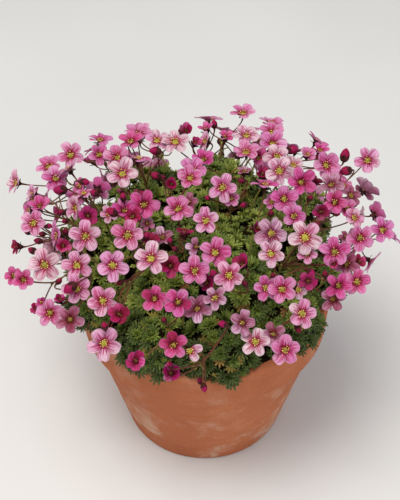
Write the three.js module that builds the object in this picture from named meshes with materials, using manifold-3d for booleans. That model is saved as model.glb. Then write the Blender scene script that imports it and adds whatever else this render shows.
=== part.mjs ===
// Potted mossy saxifrage: a cushion of leaf clumps on a woody crown, in a plain
// clay pot, with forty-two branched flowering stems over it.
// Millimetres, +Z up. The origin is the middle of the pot's underside.

import * as THREE from "three";
import { mergeVertices } from "three/addons/utils/BufferGeometryUtils.js";
import Module from "manifold-3d";

// ---------------------------------------------------------------- dimensions
const POT_HEIGHT = 105;
const POT_RIM_RADIUS = 75; // outside of the collar
const POT_COLLAR_HEIGHT = 23;
const POT_COLLAR_STEP = 4.6; // how far the collar stands out from the wall
const POT_BASE_RADIUS = 51;
const POT_FLOOR = 7;
const POT_BORE_RIM = 68.5; // inside radius at the rim
const POT_BORE_FLOOR = 46; // inside radius at the floor
const DRAIN_RADIUS = 5;
const DRAIN_RING = 27; // radius of the ring of drainage holes

const SOIL_TOP_EDGE = 96;
const SOIL_TOP_MIDDLE = 98;
const GAP = 0.35; // air between pieces that touch

const CROWN_NECK_RADIUS = 6.5;
const CROWN_SHOOT_RADIUS = 1.7;
const CUSHION_FLOOR_MIDDLE = 113.5; // underside of the cushion, which the crown fills
const CUSHION_FLOOR_EDGE = 99;

const STEM_RADIUS = 0.85; // main flowering stem
const STEM_STEPS = 4; // straight pieces along it
const PEDICEL_RADIUS = 0.6; // its branches
const CALYX_DEPTH = 3.2; // from the throat of a flower to the foot of its calyx
const PETAL_NOTCH = 0.74; // how far in the outline goes between two petals

// Each leaf clump is a rounded tuft: [x, y, z, half size outwards, half size
// around, half height, turn about Z in radians].
const CLUMPS = [
  [0, 0, 122, 25, 25, 31, 0],
  [30.597, 12.362, 118, 24, 24.5, 31, 0.384],
  [3.05, 34.867, 119, 25, 26, 31, 1.484],
  [-32.841, 8.8, 120, 25, 26, 31, 2.88],
  [-20.317, -26.004, 117, 23, 23.5, 30, 4.049],
  [22.081, -24.524, 115, 23, 23.5, 30, 5.445],
  [59.918, 3.14, 110.5, 22.5, 23.5, 25.5, 0.052],
  [51.113, 38.516, 112, 25.5, 27, 28.5, 0.646],
  [9.046, 64.367, 115, 25, 27.5, 30, 1.431],
  [-34.975, 55.971, 114, 25.5, 28.5, 30, 2.129],
  [-61.194, 24.724, 111, 25, 27.5, 28.5, 2.758],
  [-57.676, -16.538, 110.5, 22, 23.5, 25.5, 3.421],
  [-27.464, -51.652, 109, 20.5, 22.5, 24.5, 4.224],
  [6.825, -55.583, 108, 20.5, 22.5, 24.5, 4.835],
  [46.518, -33.798, 109.5, 20.5, 22.5, 24.5, 5.655],
];

// Each flowering stem: foot, two guide points, fork, and what it carries.
// Each flower ("f") or bud ("b"): [kind, colour group, throat or middle, facing,
// direction of one petal, radius, bud length, degrees the petals rise, petals
// kept (bits), place of its branch on the stem, two branch curvatures].
const STEMS = [
  [[-66.3, -19.4, 134.1],[-68.7, -20.1, 141.8],[-75.2, -12.2, 152.4],[-83.6, -11.1, 153.3],[
    ["f","L",[-96.2,-6.1,159.7],[-0.1,-0.641,0.761],[0.994,-0.104,0.043],8.15,0.0,8.0,31,0.922,0.28,0.39],
    ["f","G",[-104.8,-15.3,150.3],[-0.86,-0.373,0.348],[0.0,0.682,0.731],5.33,0.0,28.0,31,0.986,0.32,0.24],
    ["b","k",[-90.9,-12.8,157.8],[-0.944,-0.242,0.225],[1.0,0.0,0.0],1.5,3.9,0.0,31,1.0,0.35,0.22],
    ["b","k",[-92.6,-17.9,157.2],[-0.93,-0.13,0.345],[1.0,0.0,0.0],1.79,4.98,0.0,31,1.0,0.2,0.31],
    ["b","c",[-100.2,-7.6,154.7],[-0.817,0.08,0.57],[1.0,0.0,0.0],1.5,3.93,0.0,31,0.97,0.28,0.37],
    ["b","c",[-86.7,-11.2,162.3],[0.944,-0.242,0.225],[1.0,0.0,0.0],1.5,3.88,0.0,31,0.833,0.47,0.27],
  ]],
  [[-65.4, 5.2, 130.9],[-66.1, 5.3, 137.7],[-78.6, -2.3, 136.1],[-82.9, -1.6, 134.2],[
    ["b","c",[-101.2,3.2,130.3],[-0.882,0.432,0.191],[-0.467,-0.741,-0.482],2.08,5.77,10.0,31,1.0,0.32,0.2],
  ]],
  [[-58.1, -20.7, 136.0],[-58.8, -25.7, 150.1],[-70.0, -18.2, 149.9],[-68.7, -15.3, 147.1],[
    ["f","L",[-71.6,-5.7,170.8],[-0.75,-0.516,0.413],[0.205,0.412,0.888],7.74,0.0,18.0,31,0.663,0.44,0.08],
    ["f","G",[-64.3,-13.3,171.6],[0.1,-0.576,0.811],[0.863,0.457,0.218],6.43,0.0,26.0,31,0.852,0.46,0.08],
    ["b","k",[-80.1,-2.9,165.4],[-0.93,-0.13,0.345],[1.0,0.0,0.0],1.61,4.47,0.0,31,0.656,0.6,0.26],
    ["b","k",[-77.6,-10.6,165.5],[-0.887,-0.462,-0.011],[1.0,0.0,0.0],1.5,3.87,0.0,31,0.948,0.21,0.08],
  ]],
  [[-23.3, -2.5, 145.5],[-26.3, -3.2, 150.0],[-32.2, 1.1, 154.3],[-34.3, -1.5, 160.9],[
    ["f","P",[-47.0,16.5,177.0],[0.0,-0.475,0.88],[0.997,-0.073,-0.039],10.11,0.0,6.0,31,0.715,0.6,0.18],
    ["f","V",[-44.5,-11.8,173.8],[0.0,-0.346,0.938],[-0.194,0.92,0.34],7.96,0.0,26.0,31,0.941,0.1,0.1],
    ["f","L",[-53.1,-10.2,170.3],[-0.1,-0.576,0.811],[-0.98,-0.082,-0.179],5.54,0.0,12.0,31,0.824,0.12,0.08],
    ["b","c",[-44.9,-8.4,181.0],[-0.082,0.4,0.913],[1.0,0.0,0.0],1.76,4.9,0.0,31,0.689,0.43,0.08],
    ["b","c",[-35.3,-5.3,180.5],[0.944,-0.242,0.225],[1.0,0.0,0.0],1.97,5.47,0.0,31,0.804,0.4,0.23],
    ["b","c",[-50.4,-18.8,179.2],[-0.817,0.08,0.57],[1.0,0.0,0.0],2.33,6.46,0.0,31,0.768,0.22,0.42],
    ["b","k",[-47.9,7.7,171.9],[-0.93,-0.13,0.345],[1.0,0.0,0.0],1.5,3.93,0.0,31,0.913,0.25,0.28],
    ["b","k",[-38.2,5.1,173.3],[-0.817,0.08,0.57],[1.0,0.0,0.0],1.5,3.91,0.0,31,0.909,0.51,0.28],
  ]],
  [[-11.8, 10.9, 146.2],[-12.7, 11.9, 151.3],[-18.8, -7.4, 159.3],[-18.7, -3.4, 160.8],[
    ["f","M",[-7.5,17.5,178.3],[0.0,-0.397,0.918],[0.533,0.776,0.336],9.16,0.0,10.0,31,0.821,0.53,0.48],
    ["f","M",[-8.6,7.7,180.9],[0.1,-0.393,0.914],[0.874,0.474,0.108],8.09,0.0,12.0,31,0.734,0.39,0.08],
    ["f","V",[-9.6,-6.2,175.6],[0.1,-0.442,0.891],[0.147,0.892,0.427],6.15,0.0,8.0,31,0.941,0.57,0.5],
    ["f","G",[-18.8,5.4,178.5],[0.0,-0.644,0.765],[0.0,0.765,0.644],4.04,0.0,58.0,31,0.897,0.36,0.49],
    ["b","c",[-27.6,11.4,179.7],[-0.855,0.03,0.517],[1.0,0.0,0.0],2.21,6.15,0.0,31,0.777,0.22,0.28],
    ["b","k",[-23.8,13.8,176.3],[-0.164,0.392,0.905],[1.0,0.0,0.0],1.5,3.8,0.0,31,0.69,0.19,0.33],
  ]],
  [[-69.1, -16.3, 132.7],[-73.3, -17.3, 139.5],[-79.8, -21.6, 131.5],[-86.2, -24.9, 131.8],[
    ["f","D",[-99.8,-36.3,145.1],[0.1,-0.641,0.761],[0.49,0.698,0.522],7.06,0.0,20.0,31,1.0,0.3,0.21],
    ["f","D",[-108.1,-22.4,134.5],[-0.35,-0.49,0.799],[-0.233,0.871,0.432],6.01,0.0,16.0,31,1.0,0.35,0.31],
    ["f","G",[-92.3,-47.4,133.7],[-0.3,-0.626,0.72],[-0.893,-0.081,-0.442],4.3,0.0,30.0,31,0.962,0.22,0.17],
  ]],
  [[-66.7, -24.4, 132.4],[-69.1, -25.0, 136.6],[-68.8, -19.3, 146.5],[-74.6, -25.9, 147.6],[
    ["f","L",[-64.6,-28.2,170.0],[0.0,-0.689,0.725],[-0.035,0.724,0.689],9.33,0.0,8.0,31,0.961,0.42,0.35],
    ["f","M",[-80.6,-22.7,165.3],[-0.93,-0.269,0.251],[0.024,0.637,0.771],8.85,0.0,4.0,31,0.947,0.3,0.11],
    ["f","G",[-76.5,-32.8,167.2],[0.2,-0.629,0.751],[0.614,0.678,0.405],5.7,0.0,36.0,31,0.99,0.36,0.42],
    ["f","P",[-86.8,-37.8,157.9],[0.05,-0.688,0.724],[-0.211,0.701,0.681],9.65,0.0,8.0,31,0.868,0.35,0.16],
    ["b","k",[-76.5,-19.5,165.3],[-0.164,0.392,0.905],[1.0,0.0,0.0],1.57,4.37,0.0,31,0.94,0.37,0.18],
  ]],
  [[-62.0, -34.6, 126.3],[-63.4, -37.3, 133.2],[-63.8, -42.6, 140.1],[-64.7, -44.4, 144.3],[
    ["f","L",[-68.1,-44.9,164.4],[0.0,-0.644,0.765],[-0.294,0.731,0.616],8.89,0.0,8.0,31,0.683,0.43,0.5],
    ["f","L",[-67.7,-57.3,159.2],[0.0,-0.674,0.738],[0.789,0.454,0.414],8.51,0.0,10.0,31,0.969,0.36,0.31],
    ["f","M",[-82.8,-60.2,144.0],[0.0,-0.689,0.725],[-0.087,0.722,0.686],8.34,0.0,10.0,31,0.87,0.47,0.25],
    ["f","V",[-71.3,-67.2,146.4],[0.0,-0.703,0.711],[0.985,-0.123,-0.122],8.24,0.0,10.0,31,0.677,0.5,0.5],
    ["f","D",[-88.4,-50.8,141.9],[-0.2,-0.629,0.751],[0.501,0.593,0.63],4.03,0.0,44.0,31,0.773,0.13,0.44],
    ["f","G",[-78.0,-52.8,146.3],[0.0,-0.176,0.984],[0.585,0.798,0.143],4.2,0.0,36.0,31,1.0,0.47,0.25],
    ["b","c",[-70.4,-61.3,163.9],[-0.773,-0.611,-0.171],[1.0,0.0,0.0],2.8,7.78,0.0,31,0.365,0.59,0.48],
    ["b","k",[-78.3,-47.2,155.0],[0.667,0.214,0.713],[1.0,0.0,0.0],1.54,4.27,0.0,31,1.0,0.46,0.42],
  ]],
  [[-36.2, -21.1, 138.6],[-38.3, -21.7, 147.5],[-41.3, -33.9, 157.8],[-37.5, -28.1, 164.0],[
    ["f","D",[-33.4,-11.9,178.3],[0.1,-0.641,0.761],[0.995,0.064,-0.077],8.49,0.0,12.0,31,0.758,0.37,0.46],
    ["f","G",[-39.1,-20.0,176.7],[0.0,-0.58,0.814],[0.508,0.702,0.5],5.24,0.0,22.0,31,0.967,0.37,0.31],
    ["f","L",[-41.6,-32.3,174.4],[0.1,-0.656,0.748],[0.197,0.75,0.631],9.23,0.0,10.0,31,0.947,0.3,0.16],
    ["f","V",[-31.7,-19.9,171.6],[0.0,-0.397,0.918],[0.675,0.677,0.293],4.56,0.0,4.0,31,0.981,0.43,0.48],
    ["f","V",[-23.6,-25.7,166.5],[0.0,-0.236,0.972],[-0.207,0.951,0.231],6.98,0.0,18.0,31,0.895,0.33,0.28],
    ["f","G",[-29.8,-31.9,167.9],[0.0,-0.017,1.0],[-0.97,0.245,0.004],6.91,0.0,34.0,31,1.0,0.18,0.31],
    ["b","c",[-31.8,-31.7,173.5],[0.472,0.316,0.823],[1.0,0.0,0.0],1.73,4.8,0.0,31,0.78,0.43,0.32],
  ]],
  [[-31.2, -24.2, 143.9],[-29.6, -28.2, 158.1],[-33.1, -40.0, 143.6],[-35.7, -35.1, 162.5],[
    ["f","L",[-48.8,-49.4,168.7],[0.0,-0.703,0.711],[-0.616,0.56,0.554],9.09,0.0,8.0,31,0.973,0.34,0.08],
    ["f","L",[-53.4,-66.7,159.8],[0.1,-0.685,0.721],[-0.455,0.613,0.646],8.69,0.0,8.0,31,0.402,0.52,0.42],
    ["f","G",[-44.6,-74.4,157.9],[0.0,-0.563,0.826],[0.942,0.276,0.189],6.32,0.0,18.0,31,0.725,0.41,0.3],
    ["f","L",[-52.6,-82.0,144.2],[0.0,-0.711,0.704],[-0.574,0.576,0.582],9.55,0.0,8.0,31,0.72,0.33,0.2],
    ["b","c",[-52.0,-78.6,153.7],[-0.164,0.392,0.905],[1.0,0.0,0.0],1.66,4.62,0.0,31,0.711,0.53,0.08],
    ["b","k",[-45.1,-54.0,160.3],[-0.887,-0.462,-0.011],[1.0,0.0,0.0],1.5,3.8,0.0,31,0.384,0.18,0.42],
  ]],
  [[-20.2, -62.8, 128.9],[-21.1, -65.7, 133.0],[-25.4, -73.5, 132.4],[-29.6, -78.5, 132.6],[
    ["f","G",[-35.9,-89.6,139.1],[0.0,-0.511,0.859],[-0.944,-0.284,-0.169],6.06,0.0,20.0,31,1.0,0.42,0.35],
  ]],
  [[-15.6, -11.6, 140.0],[-19.5, -11.4, 149.8],[-13.2, -25.1, 153.4],[-14.0, -23.2, 161.5],[
    ["f","L",[0.2,-25.6,178.7],[-0.15,-0.588,0.795],[0.027,0.801,0.598],8.08,0.0,10.0,31,1.0,0.29,0.41],
    ["f","M",[-14.9,-16.9,179.4],[0.0,-0.346,0.938],[-0.0,-0.938,-0.346],8.76,0.0,8.0,31,0.801,0.57,0.08],
    ["f","G",[-11.5,-30.1,173.8],[0.0,0.365,0.931],[1.0,0.0,0.0],5.68,0.0,12.0,31,0.94,0.48,0.08],
    ["f","P",[-28.6,-48.4,172.5],[0.0,-0.417,0.909],[-0.882,0.428,0.197],9.64,0.0,2.0,31,0.798,0.31,0.37],
    ["f","G",[-18.5,-48.2,167.2],[0.0,-0.621,0.784],[0.504,0.677,0.536],6.76,0.0,18.0,31,0.558,0.24,0.32],
    ["f","V",[-5.1,-38.9,172.1],[0.0,-0.493,0.87],[-0.182,0.855,0.485],5.92,0.0,2.0,7,1.0,0.36,0.41],
    ["b","c",[-19.0,-33.8,171.8],[-0.164,0.392,0.905],[1.0,0.0,0.0],1.53,4.26,0.0,31,0.724,0.18,0.15],
    ["b","k",[-16.3,-36.8,168.8],[-0.817,0.08,0.57],[1.0,0.0,0.0],1.5,3.8,0.0,31,1.0,0.39,0.48],
  ]],
  [[-12.2, -53.9, 127.1],[-12.7, -55.9, 130.7],[-11.2, -56.0, 138.7],[-12.3, -59.1, 142.6],[
    ["f","D",[-26.3,-69.0,164.0],[0.0,-0.674,0.738],[0.174,0.727,0.664],7.75,0.0,16.0,31,0.726,0.4,0.33],
    ["f","D",[-14.2,-72.5,164.7],[0.0,-0.644,0.765],[-0.618,0.601,0.506],8.29,0.0,10.0,31,0.709,0.36,0.4],
    ["f","V",[-4.5,-71.6,159.0],[0.0,-0.613,0.79],[0.505,0.682,0.529],8.36,0.0,12.0,31,1.0,0.29,0.16],
    ["b","k",[-21.5,-75.7,155.1],[-0.472,0.316,0.823],[1.0,0.0,0.0],1.5,3.8,0.0,31,1.0,0.35,0.2],
  ]],
  [[-0.7, -71.0, 122.6],[-5.8, -75.2, 128.8],[1.7, -80.1, 135.1],[-2.2, -90.2, 137.5],[
    ["f","D",[-16.4,-89.4,151.2],[0.0,-0.689,0.725],[-0.174,0.714,0.679],7.66,0.0,10.0,31,0.992,0.16,0.5],
    ["f","G",[-18.0,-92.1,131.9],[0.0,-0.292,0.956],[-0.387,-0.882,-0.27],6.38,0.0,30.0,31,0.997,0.18,0.38],
    ["f","P",[-8.1,-89.7,146.9],[0.05,-0.688,0.724],[0.938,0.28,0.202],6.85,0.0,4.0,17,0.618,0.45,0.44],
    ["b","c",[8.7,-82.2,159.0],[-0.93,-0.13,0.345],[1.0,0.0,0.0],1.82,5.07,0.0,31,1.0,0.1,0.08],
    ["b","c",[-0.9,-95.7,124.8],[0.244,-0.863,-0.441],[1.0,0.0,0.0],1.68,4.68,0.0,31,0.748,0.35,0.12],
    ["b","k",[-3.0,-91.3,125.2],[-0.472,0.316,0.823],[1.0,0.0,0.0],1.51,4.18,0.0,31,0.73,0.36,0.45],
    ["b","c",[-18.4,-92.2,139.1],[-0.164,0.392,0.905],[1.0,0.0,0.0],1.5,3.8,0.0,31,0.903,0.37,0.08],
  ]],
  [[1.8, -38.4, 120.5],[2.0, -42.6, 131.6],[7.9, -42.5, 139.4],[8.3, -47.1, 148.4],[
    ["f","M",[-5.8,-56.6,171.6],[0.0,-0.529,0.849],[0.0,0.849,0.529],8.39,0.0,8.0,31,0.749,0.21,0.2],
    ["f","M",[4.8,-46.2,174.7],[0.05,-0.528,0.848],[-0.874,0.388,0.293],9.06,0.0,8.0,31,0.944,0.27,0.33],
    ["f","L",[12.0,-58.9,170.6],[-0.05,-0.688,0.724],[-0.571,0.614,0.544],8.38,0.0,10.0,31,0.775,0.29,0.31],
    ["f","G",[19.4,-50.5,170.1],[-0.5,-0.176,0.848],[0.412,0.813,0.412],7.01,0.0,26.0,31,0.682,0.35,0.41],
    ["f","V",[4.7,-69.9,165.4],[0.0,-0.644,0.765],[-0.533,0.647,0.545],6.59,0.0,-12.0,31,0.905,0.32,0.36],
    ["f","G",[0.7,-56.7,163.0],[-0.2,-0.522,0.829],[0.768,0.442,0.464],5.56,0.0,26.0,31,1.0,0.25,0.21],
    ["b","c",[4.2,-56.8,169.7],[-0.607,0.252,0.754],[1.0,0.0,0.0],1.86,5.18,0.0,31,1.0,0.31,0.34],
    ["b","k",[20.4,-58.7,164.3],[-0.472,0.316,0.823],[1.0,0.0,0.0],1.5,4.16,0.0,31,0.924,0.37,0.32],
  ]],
  [[28.8, -55.2, 113.7],[30.3, -58.1, 120.5],[29.4, -61.6, 127.0],[31.2, -65.4, 131.8],[
    ["f","L",[49.5,-73.0,157.1],[0.0,-0.689,0.725],[0.259,0.7,0.666],8.36,0.0,6.0,31,0.982,0.22,0.31],
    ["f","P",[25.2,-87.6,151.5],[0.0,-0.659,0.752],[-0.867,0.374,0.329],7.96,0.0,-4.0,31,0.939,0.45,0.16],
    ["f","V",[35.0,-79.1,147.8],[0.0,-0.629,0.778],[0.822,0.443,0.358],7.24,0.0,10.0,31,1.0,0.41,0.24],
    ["f","M",[40.6,-87.0,144.7],[0.0,-0.689,0.725],[0.087,0.722,0.686],8.33,0.0,10.0,31,0.898,0.45,0.37],
    ["f","V",[18.6,-81.2,158.8],[0.0,-0.696,0.718],[0.259,0.693,0.673],7.39,0.0,10.0,31,0.955,0.45,0.26],
    ["b","k",[47.6,-77.4,150.2],[0.472,-0.799,-0.373],[1.0,0.0,0.0],1.67,4.64,0.0,31,0.904,0.22,0.19],
    ["b","c",[37.9,-86.1,139.1],[-0.887,-0.462,-0.011],[1.0,0.0,0.0],1.5,4.14,0.0,31,1.0,0.44,0.28],
  ]],
  [[31.2, -31.6, 141.3],[32.8, -33.3, 146.9],[37.3, -44.0, 151.7],[39.2, -46.8, 154.8],[
    ["f","P",[34.5,-42.0,170.0],[0.0,-0.563,0.826],[-0.942,-0.276,-0.189],7.99,0.0,4.0,31,0.883,0.37,0.35],
    ["f","G",[53.5,-55.6,163.4],[0.0,-0.644,0.765],[0.503,0.661,0.557],5.28,0.0,-6.0,31,0.887,0.36,0.26],
    ["f","M",[39.3,-63.7,165.3],[0.0,-0.659,0.752],[-1.0,0.0,0.0],8.38,0.0,12.0,31,0.926,0.31,0.16],
    ["f","M",[31.3,-59.8,162.4],[-0.1,-0.656,0.748],[-0.248,0.745,0.619],7.58,0.0,10.0,31,0.847,0.44,0.16],
    ["f","P",[48.5,-57.0,158.1],[0.2,-0.629,0.751],[0.965,-0.008,-0.263],5.59,0.0,6.0,19,1.0,0.38,0.35],
    ["b","c",[55.4,-49.6,164.2],[0.817,-0.563,-0.12],[1.0,0.0,0.0],1.71,4.74,0.0,31,0.848,0.27,0.27],
    ["b","k",[35.4,-51.6,163.2],[-0.164,0.392,0.905],[1.0,0.0,0.0],1.5,3.8,0.0,31,1.0,0.33,0.37],
  ]],
  [[24.8, -12.5, 140.9],[26.2, -13.2, 149.7],[25.6, -7.4, 157.0],[30.5, -9.4, 163.3],[
    ["f","M",[43.0,-6.5,178.0],[0.05,-0.674,0.737],[0.926,0.308,0.218],8.28,0.0,12.0,31,0.755,0.48,0.28],
    ["f","M",[36.8,-3.9,173.6],[-0.25,-0.556,0.792],[-0.968,0.144,-0.205],4.95,0.0,14.0,31,1.0,0.34,0.29],
    ["f","M",[47.6,-18.2,175.5],[0.3,-0.61,0.733],[0.284,0.791,0.542],7.57,0.0,12.0,31,0.86,0.25,0.39],
    ["f","M",[32.9,2.2,180.4],[0.05,0.343,0.938],[-0.989,-0.117,0.096],8.34,0.0,8.0,31,0.684,0.46,0.15],
    ["f","V",[34.7,-31.9,175.5],[0.1,-0.685,0.721],[-0.68,0.482,0.553],9.52,0.0,-4.0,31,0.616,0.45,0.18],
    ["f","G",[27.0,-26.1,174.2],[0.75,-0.325,0.576],[-0.153,0.762,0.629],4.2,0.0,24.0,31,0.689,0.45,0.21],
    ["b","k",[35.9,-11.6,172.2],[0.0,0.402,0.916],[1.0,0.0,0.0],1.5,3.83,0.0,31,1.0,0.39,0.28],
  ]],
  [[39.0, -14.8, 132.0],[41.1, -15.7, 141.3],[43.4, -26.9, 141.4],[44.3, -26.2, 149.8],[
    ["f","P",[53.0,-31.6,172.3],[0.0,-0.689,0.725],[0.67,0.538,0.512],9.87,0.0,4.0,31,0.898,0.58,0.28],
    ["f","L",[54.3,-36.0,164.4],[0.0,-0.538,0.843],[-0.943,-0.28,-0.179],6.0,0.0,10.0,31,0.783,0.22,0.18],
    ["f","M",[68.8,-36.9,166.6],[0.0,-0.674,0.738],[-0.035,0.738,0.674],8.97,0.0,10.0,31,0.811,0.32,0.33],
    ["f","G",[68.0,-45.5,166.0],[-0.2,-0.682,0.704],[0.919,0.119,0.376],4.44,0.0,52.0,31,0.466,0.44,0.18],
    ["f","D",[69.8,-55.2,159.3],[0.05,-0.659,0.751],[0.371,0.71,0.598],7.95,0.0,12.0,31,0.855,0.58,0.37],
    ["f","V",[67.5,-56.8,151.2],[0.0,-0.644,0.765],[-0.71,-0.539,-0.454],7.72,0.0,8.0,31,0.476,0.42,0.11],
    ["b","k",[63.2,-48.3,161.3],[-0.164,0.392,0.905],[1.0,0.0,0.0],1.52,4.23,0.0,31,0.753,0.29,0.14],
    ["b","c",[64.6,-36.3,163.1],[-0.323,0.363,0.874],[1.0,0.0,0.0],1.54,4.29,0.0,31,0.779,0.6,0.21],
  ]],
  [[63.3, -18.7, 119.6],[70.5, -20.8, 129.9],[71.4, -19.2, 141.1],[76.7, -22.0, 147.1],[
    ["f","V",[75.5,-38.7,159.2],[0.1,-0.641,0.761],[0.635,0.63,0.447],7.83,0.0,8.0,31,0.846,0.29,0.15],
    ["f","G",[82.9,-33.3,155.8],[0.5,-0.39,0.773],[0.707,0.699,-0.105],5.17,0.0,24.0,31,1.0,0.37,0.21],
    ["f","M",[84.3,-22.5,163.7],[0.05,-0.688,0.724],[-0.456,0.629,0.63],8.25,0.0,8.0,31,0.814,0.26,0.33],
    ["f","M",[99.1,-8.9,157.3],[0.05,-0.688,0.724],[-0.261,0.69,0.675],7.83,0.0,6.0,31,0.87,0.36,0.37],
    ["f","V",[77.3,-19.1,160.6],[0.0,-0.176,0.984],[-0.215,0.961,0.172],4.93,0.0,10.0,31,1.0,0.31,0.24],
    ["f","M",[80.5,-49.4,156.5],[0.05,-0.688,0.724],[0.984,0.16,0.084],7.74,0.0,10.0,31,0.906,0.38,0.27],
  ]],
  [[15.3, 10.4, 141.5],[16.4, 11.1, 151.1],[12.5, 1.0, 157.5],[15.1, 1.7, 166.4],[
    ["f","L",[9.4,0.0,180.7],[-0.05,-0.674,0.737],[-0.753,0.51,0.415],8.94,0.0,10.0,31,1.0,0.39,0.27],
    ["f","M",[14.1,-2.1,174.3],[0.1,-0.576,0.811],[0.936,0.331,0.12],5.58,0.0,12.0,31,1.0,0.4,0.36],
    ["b","k",[20.5,9.3,177.8],[-0.944,-0.242,0.225],[1.0,0.0,0.0],1.61,4.47,0.0,31,0.862,0.3,0.24],
    ["b","c",[21.2,-7.1,174.2],[-0.93,-0.353,0.105],[1.0,0.0,0.0],1.58,4.4,0.0,31,0.773,0.24,0.16],
    ["b","c",[1.4,-1.7,174.6],[-0.887,-0.021,0.461],[1.0,0.0,0.0],1.5,3.8,0.0,31,0.81,0.46,0.28],
  ]],
  [[44.1, -7.2, 125.7],[47.6, -7.8, 134.8],[50.3, -3.8, 141.2],[54.3, -3.0, 146.8],[
    ["f","D",[53.6,10.3,175.9],[0.05,-0.62,0.783],[0.766,0.527,0.368],9.42,0.0,18.0,31,0.854,0.32,0.18],
    ["f","D",[71.8,-1.3,171.0],[0.0,-0.659,0.752],[0.44,0.675,0.592],7.78,0.0,18.0,31,0.929,0.4,0.4],
    ["f","D",[78.8,0.0,165.5],[0.2,-0.565,0.8],[0.74,0.623,0.255],6.59,0.0,22.0,31,0.965,0.34,0.28],
    ["f","L",[82.5,-7.9,165.3],[0.3,-0.458,0.837],[0.413,0.853,0.318],6.53,0.0,10.0,31,0.845,0.32,0.4],
    ["f","G",[63.2,-9.9,171.5],[0.0,-0.644,0.765],[0.591,0.617,0.52],5.85,0.0,28.0,31,1.0,0.29,0.31],
    ["b","k",[61.7,-15.5,167.6],[-0.607,0.252,0.754],[1.0,0.0,0.0],1.5,3.84,0.0,31,0.814,0.26,0.4],
    ["b","k",[58.5,2.7,170.9],[0.472,0.316,0.823],[1.0,0.0,0.0],1.61,4.47,0.0,31,1.0,0.47,0.25],
  ]],
  [[79.0, 12.6, 119.6],[82.8, 13.2, 123.9],[90.4, 12.9, 134.8],[91.0, 13.5, 128.9],[
    ["f","M",[86.0,7.5,118.5],[0.972,-0.165,-0.168],[-0.233,-0.566,-0.791],9.51,0.0,6.0,31,0.911,0.47,0.24],
    ["f","L",[84.4,20.6,121.3],[0.877,-0.135,-0.461],[0.434,0.634,0.64],9.76,0.0,12.0,31,0.982,0.48,0.34],
    ["f","M",[97.8,3.8,121.0],[0.74,-0.532,-0.411],[-0.562,-0.826,0.057],8.93,0.0,8.0,31,0.947,0.38,0.26],
    ["f","M",[108.5,12.9,134.3],[0.877,0.223,0.425],[0.395,0.165,-0.904],9.63,0.0,16.0,31,0.61,0.44,0.4],
  ]],
  [[27.3, 19.9, 147.6],[27.6, 20.1, 155.1],[31.6, 22.7, 159.5],[35.0, 26.2, 163.5],[
    ["f","D",[30.6,35.5,173.6],[0.1,-0.489,0.866],[0.642,0.697,0.32],7.15,0.0,32.0,31,1.0,0.48,0.18],
    ["f","P",[41.3,32.4,176.8],[0.0,-0.397,0.918],[-0.369,0.853,0.369],8.38,0.0,6.0,31,0.926,0.28,0.22],
    ["f","P",[41.9,18.3,177.7],[-0.1,-0.656,0.748],[-0.935,-0.194,-0.295],8.86,0.0,4.0,31,0.832,0.34,0.38],
    ["f","P",[50.8,31.4,171.0],[0.3,-0.133,0.945],[-0.225,0.952,0.206],7.46,0.0,8.0,31,0.949,0.34,0.27],
    ["f","G",[32.3,20.6,173.0],[0.1,-0.288,0.952],[0.516,0.833,0.198],5.42,0.0,30.0,31,1.0,0.29,0.22],
  ]],
  [[35.6, 32.1, 133.9],[40.4, 36.4, 147.3],[45.7, 38.6, 163.3],[52.2, 43.3, 163.9],[
    ["f","M",[59.7,41.2,170.9],[0.1,-0.094,0.99],[-0.088,0.991,0.103],6.23,0.0,30.0,31,1.0,0.41,0.19],
    ["f","D",[68.7,53.1,165.1],[0.1,0.113,0.989],[0.636,0.757,-0.151],6.7,0.0,26.0,31,0.983,0.38,0.25],
    ["b","c",[51.0,44.7,172.4],[0.944,-0.242,0.225],[1.0,0.0,0.0],2.54,7.05,0.0,31,1.0,0.27,0.37],
  ]],
  [[55.8, 48.4, 138.2],[61.0, 48.0, 141.0],[58.9, 63.2, 132.1],[65.2, 55.5, 134.0],[
    ["f","M",[75.6,55.7,115.1],[0.967,0.245,-0.063],[-0.146,0.742,0.654],9.74,0.0,12.0,31,0.835,0.31,0.08],
    ["b","c",[82.6,49.9,118.2],[0.999,0.0,-0.041],[-0.041,-0.108,-0.993],1.69,4.71,6.0,31,0.993,0.19,0.38],
    ["f","L",[68.4,63.8,122.0],[0.235,0.791,-0.564],[0.831,-0.465,-0.305],8.53,0.0,16.0,31,0.826,0.6,0.14],
  ]],
  [[63.0, 12.9, 133.8],[65.1, 13.4, 141.2],[65.9, 15.3, 150.1],[69.5, 18.8, 153.6],[
    ["f","M",[70.1,32.9,170.1],[0.15,-0.555,0.818],[-0.447,0.7,0.557],9.11,0.0,14.0,31,0.976,0.48,0.37],
    ["f","V",[71.7,16.7,168.8],[0.0,-0.446,0.895],[0.525,0.762,0.38],7.97,0.0,6.0,31,1.0,0.22,0.28],
    ["f","M",[80.1,22.2,163.5],[0.3,-0.361,0.883],[0.896,0.423,-0.132],5.5,0.0,12.0,31,1.0,0.24,0.32],
    ["f","V",[83.3,13.8,163.0],[0.5,-0.289,0.816],[0.8,0.514,-0.308],7.04,0.0,8.0,31,0.717,0.26,0.23],
    ["b","c",[82.2,33.5,165.5],[-0.93,-0.353,0.105],[1.0,0.0,0.0],2.73,7.59,0.0,31,0.775,0.25,0.24],
  ]],
  [[66.3, 44.8, 134.3],[67.0, 45.4, 138.4],[72.9, 45.9, 136.2],[76.1, 45.9, 135.7],[
    ["f","L",[99.1,58.9,153.4],[0.05,-0.659,0.751],[-0.474,0.646,0.598],8.88,0.0,10.0,31,0.675,0.31,0.17],
    ["f","M",[103.3,34.2,131.3],[0.859,0.505,-0.077],[-0.222,0.233,-0.947],8.58,0.0,10.0,31,0.905,0.49,0.31],
    ["f","V",[97.7,50.1,136.6],[0.613,0.753,0.239],[0.763,-0.643,0.069],10.16,0.0,10.0,31,1.0,0.33,0.26],
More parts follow.
